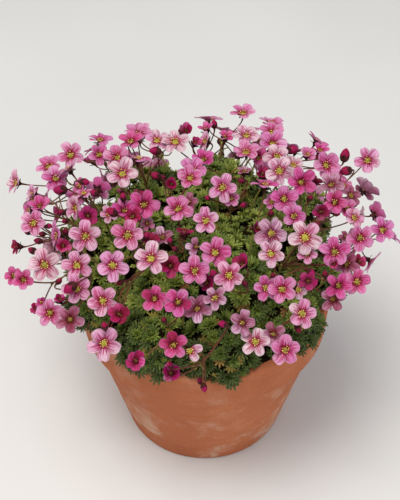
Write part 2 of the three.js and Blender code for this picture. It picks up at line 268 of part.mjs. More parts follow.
    ["f","P",[94.9,41.1,122.1],[0.973,-0.153,-0.172],[0.225,0.485,0.845],8.66,0.0,6.0,31,0.766,0.42,0.3],
    ["b","k",[92.3,50.6,125.4],[0.912,0.345,-0.221],[-0.409,0.79,-0.456],2.34,6.5,12.0,31,1.0,0.42,0.39],
  ]],
  [[7.2, 20.8, 144.6],[7.7, 22.2, 153.7],[6.5, 24.5, 161.5],[10.6, 26.6, 165.6],[
    ["f","M",[23.5,33.6,178.7],[-0.1,-0.171,0.98],[0.908,0.386,0.16],9.02,0.0,22.0,31,0.818,0.21,0.27],
    ["f","D",[-1.3,28.8,177.3],[0.1,-0.171,0.98],[0.812,0.584,0.019],7.69,0.0,18.0,31,1.0,0.29,0.32],
    ["f","V",[22.1,22.2,173.9],[0.0,0.107,0.994],[0.977,0.212,-0.023],5.11,0.0,20.0,31,1.0,0.4,0.27],
  ]],
  [[19.8, 45.3, 139.2],[20.6, 47.0, 150.5],[24.5, 50.8, 158.8],[29.8, 53.4, 163.0],[
    ["f","P",[24.2,54.2,175.4],[0.0,-0.099,0.995],[-0.991,-0.131,-0.013],8.29,0.0,8.0,31,1.0,0.24,0.21],
    ["f","M",[40.3,63.7,170.6],[0.0,-0.176,0.984],[0.96,0.275,0.049],8.42,0.0,14.0,31,0.777,0.43,0.26],
    ["f","M",[39.6,47.1,174.9],[0.05,-0.345,0.937],[0.527,0.806,0.269],9.21,0.0,12.0,31,0.813,0.2,0.22],
    ["f","L",[32.6,52.7,172.2],[0.0,0.028,1.0],[1.0,0.0,0.0],6.98,0.0,8.0,31,1.0,0.36,0.32],
  ]],
  [[29.3, 63.8, 135.7],[29.5, 65.3, 138.1],[30.0, 72.8, 139.5],[33.4, 74.9, 140.6],[
    ["f","M",[41.1,83.8,162.6],[0.1,0.261,0.96],[0.916,0.354,-0.191],9.04,0.0,10.0,31,1.0,0.3,0.31],
    ["f","L",[38.4,90.7,120.4],[0.368,0.929,0.033],[-0.154,0.096,-0.983],9.48,0.0,16.0,31,0.557,0.48,0.48],
    ["f","D",[43.7,98.3,137.3],[0.282,0.806,0.52],[-0.928,0.091,0.362],9.73,0.0,16.0,31,1.0,0.33,0.08],
    ["f","P",[28.1,94.7,147.3],[-0.036,0.442,0.896],[-0.931,-0.341,0.131],9.06,0.0,16.0,31,1.0,0.43,0.22],
    ["f","D",[58.0,86.6,139.6],[0.294,0.641,0.708],[-0.002,0.742,-0.671],9.37,0.0,12.0,31,0.924,0.31,0.33],
    ["f","G",[45.0,98.5,148.6],[0.032,0.496,0.868],[0.791,0.519,-0.326],6.6,0.0,30.0,31,0.989,0.23,0.35],
  ]],
  [[44.4, 53.4, 135.1],[41.4, 53.6, 142.6],[52.3, 60.2, 139.5],[54.2, 70.4, 138.2],[
    ["b","c",[85.9,63.9,153.7],[0.164,0.392,0.905],[1.0,0.0,0.0],2.9,8.58,0.0,31,0.866,0.32,0.24],
    ["f","G",[73.1,83.1,132.4],[0.611,0.749,0.256],[-0.726,0.659,-0.194],7.28,0.0,30.0,31,0.962,0.6,0.21],
    ["f","G",[70.4,76.0,121.8],[0.517,0.819,0.249],[0.721,-0.261,-0.641],7.01,0.0,16.0,31,0.968,0.26,0.26],
    ["f","D",[83.4,65.2,131.0],[0.761,0.646,-0.056],[0.529,-0.668,-0.523],8.72,0.0,6.0,31,0.961,0.32,0.21],
    ["f","M",[70.0,82.2,150.1],[0.492,0.36,0.793],[0.416,0.703,-0.577],9.2,0.0,12.0,31,1.0,0.34,0.28],
  ]],
  [[-1.9, 40.6, 149.0],[-2.0, 42.1, 152.6],[-3.6, 44.6, 158.3],[-3.3, 46.3, 160.2],[
    ["f","G",[-11.3,59.6,175.1],[0.1,-0.393,0.914],[-0.044,0.916,0.399],6.0,0.0,42.0,31,0.886,0.43,0.18],
    ["f","G",[-5.9,45.3,176.6],[0.3,-0.253,0.92],[0.4,0.909,0.12],5.24,0.0,45.0,31,1.0,0.2,0.36],
    ["f","D",[0.6,62.2,173.9],[-0.3,0.08,0.951],[0.104,0.993,-0.051],6.04,0.0,32.0,31,0.909,0.42,0.29],
    ["f","L",[0.5,45.2,178.2],[-0.8,-0.175,0.574],[0.193,0.83,0.523],6.54,0.0,20.0,31,1.0,0.35,0.35],
    ["f","D",[11.7,50.8,176.5],[0.05,-0.015,0.999],[-0.292,0.956,0.029],5.94,0.0,28.0,31,0.754,0.31,0.31],
    ["f","P",[-17.6,45.6,177.5],[0.0,-0.314,0.949],[-0.099,0.945,0.313],8.84,0.0,6.0,31,0.771,0.21,0.29],
    ["b","c",[5.5,70.4,172.4],[-0.082,0.4,0.913],[1.0,0.0,0.0],1.96,5.45,0.0,31,0.891,0.29,0.23],
  ]],
  [[9.4, 72.1, 143.9],[9.9, 75.4, 151.8],[10.8, 86.2, 148.7],[11.9, 90.5, 144.8],[
    ["f","L",[24.2,98.2,160.2],[0.03,0.107,0.994],[0.04,-0.994,0.106],8.86,0.0,10.0,31,0.623,0.31,0.29],
    ["b","c",[25.9,104.3,135.4],[0.291,0.864,0.41],[-0.035,-0.419,0.907],2.23,6.2,8.0,31,0.643,0.56,0.35],
    ["b","k",[10.9,101.3,125.2],[-0.124,0.977,-0.172],[-0.164,0.15,0.975],2.1,5.84,6.0,31,0.823,0.43,0.35],
    ["b","k",[9.6,92.0,122.8],[-0.087,0.852,-0.516],[-0.924,-0.263,-0.277],1.59,4.43,10.0,31,0.786,0.3,0.22],
    ["f","P",[21.7,96.4,128.0],[-0.199,0.883,0.426],[0.518,0.464,-0.719],8.94,0.0,8.0,31,0.708,0.36,0.15],
    ["f","M",[12.7,100.5,144.4],[0.251,0.584,0.772],[-0.235,-0.737,0.634],9.58,0.0,10.0,31,1.0,0.27,0.37],
    ["b","k",[10.0,106.7,132.2],[0.017,0.975,0.22],[0.554,-0.192,0.81],1.83,5.08,12.0,31,0.824,0.43,0.22],
    ["f","L",[2.4,103.3,151.5],[0.054,0.535,0.843],[-0.994,-0.052,0.097],10.12,0.0,8.0,31,1.0,0.21,0.44],
  ]],
  [[-40.3, 57.5, 143.7],[-41.5, 59.1, 148.2],[-49.5, 66.2, 143.3],[-52.6, 69.2, 138.8],[
    ["f","D",[-69.3,85.8,142.4],[-0.588,0.361,0.724],[-0.697,0.227,-0.68],9.32,0.0,8.0,31,0.84,0.41,0.24],
    ["f","D",[-57.9,91.2,130.1],[-0.494,0.763,0.417],[-0.545,-0.646,0.535],8.79,0.0,10.0,31,0.946,0.39,0.29],
    ["f","D",[-46.4,79.5,137.4],[-0.952,0.226,-0.207],[-0.175,0.155,0.972],9.3,0.0,16.0,31,1.0,0.26,0.39],
    ["f","G",[-71.3,85.2,131.5],[-0.554,0.745,0.372],[-0.825,-0.552,-0.124],7.07,0.0,30.0,31,0.882,0.32,0.2],
    ["f","V",[-74.9,61.9,125.5],[-0.622,0.524,0.582],[0.335,0.85,-0.407],9.13,0.0,8.0,31,0.698,0.33,0.32],
    ["f","P",[-59.4,73.3,123.3],[-0.446,0.886,-0.127],[-0.855,-0.464,-0.233],9.43,0.0,12.0,31,1.0,0.42,0.36],
  ]],
  [[-33.6, 33.9, 130.4],[-34.2, 34.5, 140.6],[-34.9, 39.7, 147.0],[-35.9, 41.3, 152.7],[
    ["f","M",[-40.1,59.7,172.1],[0.0,0.141,0.99],[0.537,0.835,-0.119],10.05,0.0,4.0,31,0.801,0.38,0.37],
    ["f","D",[-43.6,48.6,175.3],[-0.1,-0.094,0.99],[0.961,0.248,0.121],8.23,0.0,18.0,31,1.0,0.42,0.15],
    ["f","M",[-51.2,36.2,173.0],[-0.1,-0.342,0.934],[-0.144,0.934,0.327],8.78,0.0,14.0,31,1.0,0.25,0.22],
    ["f","L",[-38.5,29.6,177.4],[0.05,0.422,0.905],[0.999,-0.021,-0.045],8.99,0.0,4.0,31,0.859,0.47,0.17],
    ["f","P",[-28.3,48.4,176.2],[0.1,-0.413,0.905],[-0.982,0.105,0.156],7.9,0.0,6.0,31,0.72,0.31,0.38],
    ["b","c",[-28.9,35.0,179.1],[-0.94,-0.185,0.285],[1.0,0.0,0.0],2.49,6.91,0.0,31,0.798,0.35,0.18],
    ["b","c",[-46.9,61.6,168.4],[0.0,0.402,0.916],[1.0,0.0,0.0],1.52,4.21,0.0,31,0.788,0.45,0.2],
  ]],
  [[-21.9, 63.2, 139.9],[-22.5, 65.1, 144.5],[-28.5, 76.3, 144.2],[-29.4, 80.1, 141.3],[
    ["f","M",[-41.7,100.7,138.2],[0.048,0.732,0.679],[0.594,0.526,-0.609],8.77,0.0,20.0,31,0.852,0.44,0.19],
    ["f","L",[-30.8,87.9,123.8],[-0.271,0.942,-0.199],[-0.68,-0.333,-0.653],10.16,0.0,10.0,31,1.0,0.37,0.38],
    ["f","M",[-43.5,96.3,149.1],[-0.214,0.3,0.929],[0.951,-0.154,0.269],9.05,0.0,10.0,31,0.804,0.42,0.41],
    ["f","L",[-44.6,88.1,127.1],[-0.205,0.972,-0.119],[-0.506,-0.209,-0.837],9.4,0.0,12.0,31,1.0,0.36,0.28],
    ["f","M",[-21.5,104.5,131.0],[0.014,0.837,0.547],[-0.968,0.148,-0.202],10.23,0.0,20.0,31,0.743,0.42,0.29],
    ["b","k",[-15.2,103.6,142.2],[0.014,0.783,0.622],[-0.33,-0.584,0.742],2.08,5.78,30.0,31,0.729,0.4,0.2],
  ]],
  [[-57.5, 20.1, 139.1],[-63.9, 18.7, 148.9],[-75.2, 46.1, 146.9],[-77.5, 41.8, 147.2],[
    ["f","L",[-95.3,57.6,149.4],[-0.2,-0.275,0.94],[0.601,0.724,0.34],8.9,0.0,12.0,31,0.49,0.23,0.08],
    ["f","L",[-112.7,41.3,150.1],[-0.8,-0.323,0.506],[0.121,0.739,0.663],8.72,0.0,22.0,31,0.408,0.51,0.28],
    ["f","V",[-103.2,35.1,141.2],[-0.734,-0.147,0.663],[-0.349,0.919,-0.182],9.46,0.0,6.0,31,0.325,0.49,0.23],
    ["b","c",[-99.2,40.3,138.0],[-0.828,0.257,0.499],[-0.549,-0.554,-0.626],2.07,5.76,6.0,31,0.903,0.35,0.22],
    ["f","D",[-90.1,48.0,120.4],[-0.986,0.16,-0.045],[0.166,0.937,-0.307],9.05,0.0,20.0,31,0.738,0.33,0.49],
    ["f","V",[-87.6,60.2,141.6],[-0.514,0.504,0.695],[-0.798,-0.578,-0.171],9.48,0.0,6.0,31,0.82,0.51,0.4],
    ["b","c",[-85.2,43.6,124.7],[-0.665,0.171,-0.727],[-0.401,0.739,0.541],2.3,6.38,16.0,31,0.573,0.36,0.21],
    ["f","L",[-97.9,48.7,129.3],[-0.868,0.368,0.335],[-0.163,-0.847,0.507],9.49,0.0,20.0,31,0.655,0.32,0.1],
  ]],
  [[-47.4, 42.4, 137.2],[-48.6, 43.4, 143.5],[-56.7, 51.9, 152.6],[-61.2, 53.9, 155.8],[
    ["f","M",[-63.4,62.4,165.6],[0.1,0.183,0.978],[0.99,0.076,-0.115],8.46,0.0,12.0,31,1.0,0.46,0.2],
    ["f","M",[-62.4,43.0,169.9],[0.2,-0.522,0.829],[0.46,0.797,0.391],7.57,0.0,18.0,31,1.0,0.28,0.37],
    ["f","L",[-80.8,53.6,161.4],[0.05,-0.643,0.764],[-0.55,0.621,0.559],9.08,0.0,10.0,31,0.872,0.21,0.41],
    ["b","k",[-63.9,48.0,169.8],[-0.0,-0.885,-0.465],[1.0,0.0,0.0],1.7,4.73,0.0,31,0.857,0.29,0.15],
    ["f","M",[-60.7,56.9,139.8],[-0.931,-0.191,-0.31],[-0.333,0.102,0.937],8.92,0.0,10.0,31,0.924,0.36,0.16],
  ]],
  [[-78.1, 17.5, 131.7],[-78.3, 15.9, 135.1],[-87.0, 20.0, 135.8],[-85.3, 18.7, 132.3],[
    ["b","c",[-89.7,27.8,117.6],[-0.86,0.42,-0.289],[-0.041,-0.622,-0.782],2.1,5.83,16.0,31,0.862,0.53,0.21],
    ["b","c",[-87.9,26.7,121.6],[-0.637,-0.391,-0.665],[0.347,-0.915,0.206],1.86,5.18,16.0,31,0.997,0.4,0.32],
    ["f","L",[-94.0,15.8,118.3],[-0.93,-0.339,0.14],[-0.114,-0.095,-0.989],8.76,0.0,12.0,31,0.739,0.6,0.2],
    ["f","P",[-89.4,9.2,128.1],[-0.717,0.072,-0.693],[-0.653,0.278,0.705],9.46,0.0,10.0,31,1.0,0.44,0.35],
    ["b","c",[-77.1,1.6,125.4],[-0.926,0.065,-0.373],[0.201,0.919,-0.339],2.46,6.83,6.0,31,0.823,0.35,0.33],
  ]],
  [[-64.2, 9.3, 134.7],[-68.2, 9.8, 142.3],[-74.9, 10.1, 143.7],[-81.0, 13.4, 144.9],[
    ["f","M",[-87.3,31.3,161.3],[0.0,-0.493,0.87],[0.876,0.42,0.238],8.85,0.0,12.0,31,0.842,0.41,0.38],
    ["f","L",[-100.4,24.0,156.0],[-0.88,-0.271,0.39],[0.088,0.713,0.696],6.2,0.0,22.0,31,0.709,0.32,0.37],
    ["f","D",[-93.9,6.9,160.7],[-0.1,-0.094,0.99],[0.854,0.503,0.134],7.64,0.0,34.0,31,1.0,0.42,0.27],
    ["f","M",[-101.5,11.9,154.1],[-0.8,-0.439,0.409],[0.196,0.453,0.87],5.16,0.0,22.0,31,0.985,0.27,0.41],
    ["b","k",[-92.9,13.2,161.3],[0.164,0.392,0.905],[1.0,0.0,0.0],1.5,4.01,0.0,31,1.0,0.48,0.31],
    ["f","L",[-102.5,19.2,137.4],[-0.809,0.033,0.587],[-0.198,-0.956,-0.219],8.75,0.0,10.0,31,0.767,0.23,0.31],
    ["b","k",[-100.5,27.2,133.5],[-0.787,-0.387,0.481],[-0.044,-0.743,-0.668],2.11,5.87,16.0,31,0.637,0.24,0.27],
  ]],
  [[-53.4, 8.0, 131.5],[-57.4, 8.8, 140.1],[-54.1, 1.5, 153.7],[-62.5, 2.9, 162.6],[
    ["f","L",[-78.6,28.1,170.6],[-0.6,0.336,0.726],[0.79,0.392,0.472],9.69,0.0,4.0,31,0.715,0.29,0.26],
    ["f","M",[-73.8,12.6,163.3],[0.0,-0.292,0.956],[0.0,0.956,0.292],7.03,0.0,10.0,31,1.0,0.22,0.27],
    ["f","L",[-67.6,2.9,173.7],[-0.2,0.243,0.949],[0.966,0.209,0.15],5.31,0.0,8.0,31,0.848,0.39,0.3],
    ["f","M",[-71.2,14.8,169.6],[-0.7,-0.449,0.555],[-0.644,0.06,-0.763],5.41,0.0,14.0,31,1.0,0.47,0.34],
    ["f","M",[-60.1,7.1,173.8],[0.2,0.943,-0.264],[0.927,-0.095,0.362],7.53,0.0,12.0,31,0.997,0.27,0.28],
    ["b","c",[-82.0,10.3,170.4],[-0.94,-0.298,0.165],[1.0,0.0,0.0],2.84,7.9,0.0,31,0.846,0.44,0.09],
    ["b","c",[-67.2,8.3,177.9],[0.93,-0.353,0.105],[1.0,0.0,0.0],2.01,5.58,0.0,31,0.749,0.42,0.47],
    ["b","c",[-61.6,-0.3,177.1],[-0.887,-0.021,0.461],[1.0,0.0,0.0],1.79,4.97,0.0,31,0.837,0.24,0.27],
  ]],
];

// ------------------------------------------------------------------ materials
const clay = new THREE.MeshStandardMaterial({ color: 0xb4683f, roughness: 0.92, metalness: 0 });
const compost = new THREE.MeshStandardMaterial({ color: 0x2c211a, roughness: 1, metalness: 0 });
const bark = new THREE.MeshStandardMaterial({ color: 0x4d3626, roughness: 0.95, metalness: 0 });
const leaf = new THREE.MeshStandardMaterial({ color: 0x5c8434, roughness: 0.6, metalness: 0 });
const bloom = new THREE.MeshStandardMaterial({ color: 0xdf7fae, roughness: 0.55, metalness: 0 });

// -------------------------------------------------------------------- solids
const wasm = await Module();
wasm.setup();

const V = (a) => new THREE.Vector3(a[0], a[1], a[2]);

// A closed geometry as a solid, its shared vertices merged.
function solid(geometry) {
  const g = geometry.index ? geometry.toNonIndexed() : geometry.clone();
  for (const name of Object.keys(g.attributes))
    if (name !== "position") g.deleteAttribute(name);
  const m = mergeVertices(g, 1e-3);
  return new wasm.Manifold(
    new wasm.Mesh({
      numProp: 3,
      vertProperties: new Float32Array(m.attributes.position.array),
      triVerts: new Uint32Array(m.index.array),
    }),
  );
}

// A solid back as a flat-shaded geometry.
function geometryOf(s) {
  const m = s.getMesh();
  const n = m.numProp;
  const p = new Float32Array(m.numVert * 3);
  for (let i = 0; i < m.numVert; i++)
    p.set(m.vertProperties.subarray(i * n, i * n + 3), i * 3);
  const g = new THREE.BufferGeometry();
  g.setAttribute("position", new THREE.BufferAttribute(p, 3));
  g.setIndex(new THREE.BufferAttribute(new Uint32Array(m.triVerts), 1));
  g.computeVertexNormals();
  return g;
}

// A turned shape: profile points are [radius, height], from the axis round to
// the axis, standing along +Z.
function turned(profile, segments) {
  const g = new THREE.LatheGeometry(
    profile.map(([r, z]) => new THREE.Vector2(r, z)),
    segments,
  );
  g.rotateX(Math.PI / 2);
  for (const name of ["normal", "uv"]) g.deleteAttribute(name);
  return mergeVertices(g, 1e-3);
}

// A rod of constant section along a curve, with closed ends.
function rod(curve, radius, sides, steps) {
  const s = new THREE.Shape();
  for (let i = 0; i < sides; i++) {
    const a = (i / sides) * Math.PI * 2;
    if (i) s.lineTo(radius * Math.cos(a), radius * Math.sin(a));
    else s.moveTo(radius * Math.cos(a), radius * Math.sin(a));
  }
  s.closePath();
  return new THREE.ExtrudeGeometry(s, {
    steps,
    bevelEnabled: false,
    extrudePath: curve,
  });
}

const plant = new THREE.Group();
plant.name = "potted_saxifrage";
function add(name, geometry, material, group = plant) {
  const mesh = new THREE.Mesh(geometry, material);
  mesh.name = name;
  group.add(mesh);
  return mesh;
}

// ----------------------------------------------------------------------- pot
const wallAtCollar =
  POT_RIM_RADIUS - POT_COLLAR_STEP;
const collarFoot = POT_HEIGHT - POT_COLLAR_HEIGHT;
const potProfile = [
  [0, POT_FLOOR],
  [POT_BORE_FLOOR - 3, POT_FLOOR],
  [POT_BORE_FLOOR, POT_FLOOR + 2.5],
  [POT_BORE_RIM, POT_HEIGHT - 1.2],
  [POT_BORE_RIM + 1, POT_HEIGHT],
  [POT_RIM_RADIUS - 2, POT_HEIGHT],
  [POT_RIM_RADIUS - 0.5, POT_HEIGHT - 0.9],
  [POT_RIM_RADIUS, POT_HEIGHT - 2.6],
  [POT_RIM_RADIUS - 1.4, collarFoot + 1.2],
  [POT_RIM_RADIUS - 2.6, collarFoot],
  [wallAtCollar, collarFoot - 0.8],
  [POT_BASE_RADIUS + 0.7, 3],
  [POT_BASE_RADIUS - 0.6, 0.8],
  [POT_BASE_RADIUS - 1.8, 0],
  [0, 0],
];
// LatheGeometry faces outwards for a profile that runs from the bottom up.
let pot = solid(turned([...potProfile].reverse(), 36));
for (let k = 0; k < 3; k++) {
  const drill = new THREE.CylinderGeometry(DRAIN_RADIUS, DRAIN_RADIUS, POT_FLOOR + 6, 10);
  drill.rotateX(Math.PI / 2);
  const a = (k / 3) * Math.PI * 2 + Math.PI / 6;
  drill.translate(DRAIN_RING * Math.cos(a), DRAIN_RING * Math.sin(a), POT_FLOOR / 2);
  pot = pot.subtract(solid(drill));
}
add("pot", geometryOf(pot), clay);

// -------------------------------------------------------------- potting soil
const bore = (z) =>
  POT_BORE_FLOOR +
  ((POT_BORE_RIM - POT_BORE_FLOOR) * (z - POT_FLOOR - 2.5)) /
    (POT_HEIGHT - 1.2 - POT_FLOOR - 2.5);
const soilProfile = [
  [0, POT_FLOOR + GAP],
  [POT_BORE_FLOOR - 3.2, POT_FLOOR + GAP],
  [bore(POT_FLOOR + 3) - GAP - 0.1, POT_FLOOR + 3],
  [bore(SOIL_TOP_EDGE) - GAP, SOIL_TOP_EDGE],
  [bore(SOIL_TOP_EDGE) * 0.8, SOIL_TOP_EDGE + 1],
  [bore(SOIL_TOP_EDGE) * 0.4, SOIL_TOP_MIDDLE - 0.3],
  [0, SOIL_TOP_MIDDLE],
];
add("potting_soil", geometryOf(solid(turned(soilProfile, 28))), compost);

// --------------------------------------------------------------------- crown
// A short woody neck on the soil, with one bare shoot to each outer clump.
const cushionFloor = (r) =>
  CUSHION_FLOOR_MIDDLE +
  ((CUSHION_FLOOR_EDGE - CUSHION_FLOOR_MIDDLE) * Math.min(r, 66.6)) / 66.6;
let crown = solid(
  turned(
    [
      [0, SOIL_TOP_MIDDLE + GAP],
      [CROWN_NECK_RADIUS * 1.25, SOIL_TOP_MIDDLE + GAP],
      [CROWN_NECK_RADIUS, 104],
      [CROWN_NECK_RADIUS * 0.8, 110],
      [0, CUSHION_FLOOR_MIDDLE - 0.5],
    ],
    9,
  ),
);
CLUMPS.slice(1).forEach(([x, y]) => {
  const r = Math.hypot(x, y);
  const end = r * 0.92;
  const z = cushionFloor(end) - 0.5 - CROWN_SHOOT_RADIUS;
  const path = new THREE.QuadraticBezierCurve3(
    new THREE.Vector3(0, 0, 103.5),
    new THREE.Vector3(x * 0.45, y * 0.45, cushionFloor(end * 0.5) - 4.2),
    new THREE.Vector3((x * end) / r, (y * end) / r, z),
  );
  crown = crown.add(solid(rod(path, CROWN_SHOOT_RADIUS, 4, 2)));
});
add("crown", geometryOf(crown), bark);

// --------------------------------------------------------------- leaf clumps
// The clumps fill the cushion edge to edge, so each is trimmed halfway to its
// neighbours, and from below by the crown's space and the pot's rim.
const below = solid(
  turned(
    [
      [0, 80],
      [100, 80],
      [100, POT_HEIGHT + 0.5],
      [67.2, POT_HEIGHT + 0.5],
      [66.6, CUSHION_FLOOR_EDGE],
      [0, CUSHION_FLOOR_MIDDLE],
    ],
    20,
  ),
);
const cushion = new THREE.Group();
plant.add(cushion);
CLUMPS.forEach(([x, y, z, outward, around, high, turn], i) => {
  let ball = new THREE.SphereGeometry(1, 12, 7);
  for (const name of ["normal", "uv"]) ball.deleteAttribute(name);
  ball = mergeVertices(ball, 1e-3);
  ball.rotateX(Math.PI / 2);
  ball.scale(outward, around, high);
  ball.rotateZ(turn);
  ball.translate(x, y, z);
  let tuft = solid(ball).subtract(below);
  CLUMPS.forEach(([nx, ny], j) => {
    if (j === i) return;
    const dx = nx - x, dy = ny - y, far = Math.hypot(dx, dy);
    if (far > 58) return;
    const side = new THREE.BoxGeometry(60, 160, 160);
    side.translate(30 + far / 2 - GAP / 2, 0, 0);
    side.rotateZ(Math.atan2(dy, dx));
    side.translate(x, y, z);
    tuft = tuft.subtract(solid(side));
  });
  add("leaf_clump_" + String(i + 1).padStart(2, "0"), geometryOf(tuft), leaf, cushion);
});

// ------------------------------------------------------------ flowering stems
// A branch is a slender three-sided shoot that widens into what it carries: a
// flower is a shallow five-lobed dish on its calyx, a bud is a pointed egg. Each
// is lofted in one piece, ring by ring, then joined to its stem.
function ring(centre, x, y, radii, start = 0) {
  return radii.map((r, i) => {
    const a = start + (i / radii.length) * Math.PI * 2;
    return centre
      .clone()
      .addScaledVector(x, r * Math.cos(a))
      .addScaledVector(y, r * Math.sin(a));
  });
}
// Closed loft from a flat start through the rings to a tip. Rings run
// anticlockwise about the direction of growth and may differ in count.
function loft(rings, tip, x, y) {
  const p = [], t = [], first = [];
  rings.forEach((r) => {
    first.push(p.length);
    p.push(...r);
  });
  for (let i = 1; i + 1 < rings[0].length; i++) t.push(0, i + 1, i);
  for (let k = 0; k + 1 < rings.length; k++) {
    const a = rings[k], b = rings[k + 1], fa = first[k], fb = first[k + 1];
    if (a.length === b.length) {
      for (let i = 0; i < a.length; i++) {
        const j = (i + 1) % a.length;
        t.push(fa + i, fa + j, fb + j, fa + i, fb + j, fb + i);
      }
      continue;
    }
    // Different counts: zip the two rings together by angle.
    const mid = (q) => q.reduce((s, v) => s.add(v), new THREE.Vector3()).multiplyScalar(1 / q.length);
    const angles = (q) => {
      const m = mid(q);
      return q.map((v) => {
        const d = v.clone().sub(m);
        return Math.atan2(d.dot(y), d.dot(x));
      });
    };
    const full = Math.PI * 2;
    const aa = angles(a), ab = angles(b);
    const turn = (from, to) => (((to - from) % full) + full) % full;
    let j0 = 0;
    ab.forEach((v, j) => {
      if (Math.abs(Math.sin((v - aa[0]) / 2)) < Math.abs(Math.sin((ab[j0] - aa[0]) / 2))) j0 = j;
    });
    const start = aa[0];
    const ua = aa.map((v) => turn(start, v));
    ua.push(full);
    const off = ab[j0] - start;
    const ub = ab.map((_, i) => turn(ab[j0], ab[(j0 + i) % ab.length]) + Math.atan2(Math.sin(off), Math.cos(off)));
    ub.push(full + Math.atan2(Math.sin(off), Math.cos(off)));
    let i = 0, j = 0;
    while (i < a.length || j < b.length) {
      const A = fa + (i % a.length), A2 = fa + ((i + 1) % a.length);
      const B = fb + ((j0 + j) % b.length), B2 = fb + ((j0 + j + 1) % b.length);
      const useA = j >= b.length || (i < a.length && (ua[i] + ua[i + 1]) / 2 < (ub[j] + ub[j + 1]) / 2);
      if (useA) {
        t.push(A, A2, B);
        i++;
      } else {
        t.push(A, B2, B);
        j++;
      }
    }
  }
  const last = rings.length - 1, n = rings[last].length, top = p.length;
  p.push(tip);
  for (let i = 0; i < n; i++) t.push(first[last] + i, first[last] + ((i + 1) % n), top);
  const g = new THREE.BufferGeometry().setFromPoints(p);
  g.setIndex(t);
  return g;
}

// The point of a spine of straight pieces that is nearest to a point, kept a
// little short of its end.
function onSpine(spine, point, short) {
  let best, least = Infinity;
  for (let i = 0; i + 1 < spine.length; i++) {
    const piece = new THREE.Line3(spine[i], spine[i + 1]);
    const near = piece.closestPointToPoint(point, true, new THREE.Vector3());
    if (near.distanceTo(point) < least) {
      least = near.distanceTo(point);
      best = near;
    }
  }
  const end = spine[spine.length - 1];
  if (best.distanceTo(end) < short)
    best = end.clone().addScaledVector(spine[spine.length - 2].clone().sub(end).normalize(), short);
  return best;
}

const flowering = new THREE.Group();
plant.add(flowering);
STEMS.forEach(([foot, guideA, guideB, fork, carried], k) => {
  const stem = new THREE.CubicBezierCurve3(V(foot), V(guideA), V(guideB), V(fork));
  let body = solid(rod(stem, STEM_RADIUS, 4, STEM_STEPS));
  const spine = stem.getSpacedPoints(STEM_STEPS);
  for (const [kind, , at, facing, petal, radius, length, rise, , place, bendA, bendB] of carried) {
    const z = V(facing).normalize();
    const x = V(petal);
    x.addScaledVector(z, -x.dot(z)).normalize();
    const y = new THREE.Vector3().crossVectors(z, x);
    const middle = V(at);
    const along = stem.getTangent(place);
    const from = onSpine(spine, stem.getPoint(place), 0.4);
    const to = middle.clone().addScaledVector(z, kind === "f" ? -CALYX_DEPTH : -length / 2);
    const span = to.distanceTo(from);
    const start = along
      .clone()
      .multiplyScalar(0.75)
      .addScaledVector(to.clone().sub(from).normalize(), 0.45)
      .normalize();
    const branch = new THREE.CubicBezierCurve3(
      from,
      from.clone().addScaledVector(start, span * bendA),
      to.clone().addScaledVector(z, -span * bendB),
      to,
    );
    const steps = 3;
    const frames = branch.computeFrenetFrames(steps, false);
    const rings = [];
    for (let i = 0; i <= steps; i++)
      rings.push(
        ring(branch.getPointAt(i / steps), frames.normals[i], frames.binormals[i], Array(3).fill(i ? PEDICEL_RADIUS : PEDICEL_RADIUS / 2)),
      );
    let tip;
    if (kind === "f") {
      const a = THREE.MathUtils.degToRad(rise * 0.8);
      const lobes = Array.from({ length: 10 }, (_, i) => radius * Math.cos(a) * (i % 2 ? PETAL_NOTCH : 1));
      rings.push(ring(middle.clone().addScaledVector(z, radius * Math.sin(a)), x, y, lobes));
      tip = middle.clone().addScaledVector(z, 0.2);
    } else {
      rings.push(ring(middle.clone().addScaledVector(z, -length * 0.08), x, y, Array(5).fill(radius)));
      tip = middle.clone().addScaledVector(z, length / 2);
    }
    body = body.add(solid(loft(rings, tip, x, y)));
  }
  // Branches that cross can shut in a pocket of no volume: keep the body alone.
  body = body.decompose().reduce((a, b) => (b.volume() > a.volume() ? b : a));
  add("flower_stem_" + String(k + 1).padStart(2, "0"), geometryOf(body), bloom, flowering);
});

export default plant;
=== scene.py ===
# Potted mossy saxifrage: what is seen of it. The scene is in metres, +Z up, with
# the origin in the middle of the pot's underside. Lengths in the tables and in
# the shape code below are millimetres; MM turns them into metres at the end.

import math

import bpy
import numpy as np
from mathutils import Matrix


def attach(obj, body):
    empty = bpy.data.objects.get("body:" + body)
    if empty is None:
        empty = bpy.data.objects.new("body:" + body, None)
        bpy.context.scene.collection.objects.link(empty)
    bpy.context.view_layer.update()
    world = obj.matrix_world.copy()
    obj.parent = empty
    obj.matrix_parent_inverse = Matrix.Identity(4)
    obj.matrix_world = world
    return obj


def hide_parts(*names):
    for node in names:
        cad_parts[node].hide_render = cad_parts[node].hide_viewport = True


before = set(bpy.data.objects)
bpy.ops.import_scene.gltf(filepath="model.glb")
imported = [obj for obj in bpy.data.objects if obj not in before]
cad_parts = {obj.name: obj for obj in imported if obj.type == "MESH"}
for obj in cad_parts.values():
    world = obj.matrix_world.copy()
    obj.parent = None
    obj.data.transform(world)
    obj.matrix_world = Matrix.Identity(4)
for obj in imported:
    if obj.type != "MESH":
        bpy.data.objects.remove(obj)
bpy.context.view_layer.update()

MM = 0.001
rng = np.random.default_rng(20)

# ---------------------------------------------------------------- dimensions
POT_HEIGHT = 105.0
POT_RIM_RADIUS = 75.0
POT_COLLAR_HEIGHT = 23.0
POT_COLLAR_STEP = 4.6
POT_BASE_RADIUS = 51.0
POT_FLOOR = 7.0
POT_BORE_RIM = 68.5
POT_BORE_FLOOR = 46.0
DRAIN_RADIUS = 5.0
DRAIN_RING = 27.0
SOIL_TOP_EDGE = 96.0
SOIL_TOP_MIDDLE = 98.0

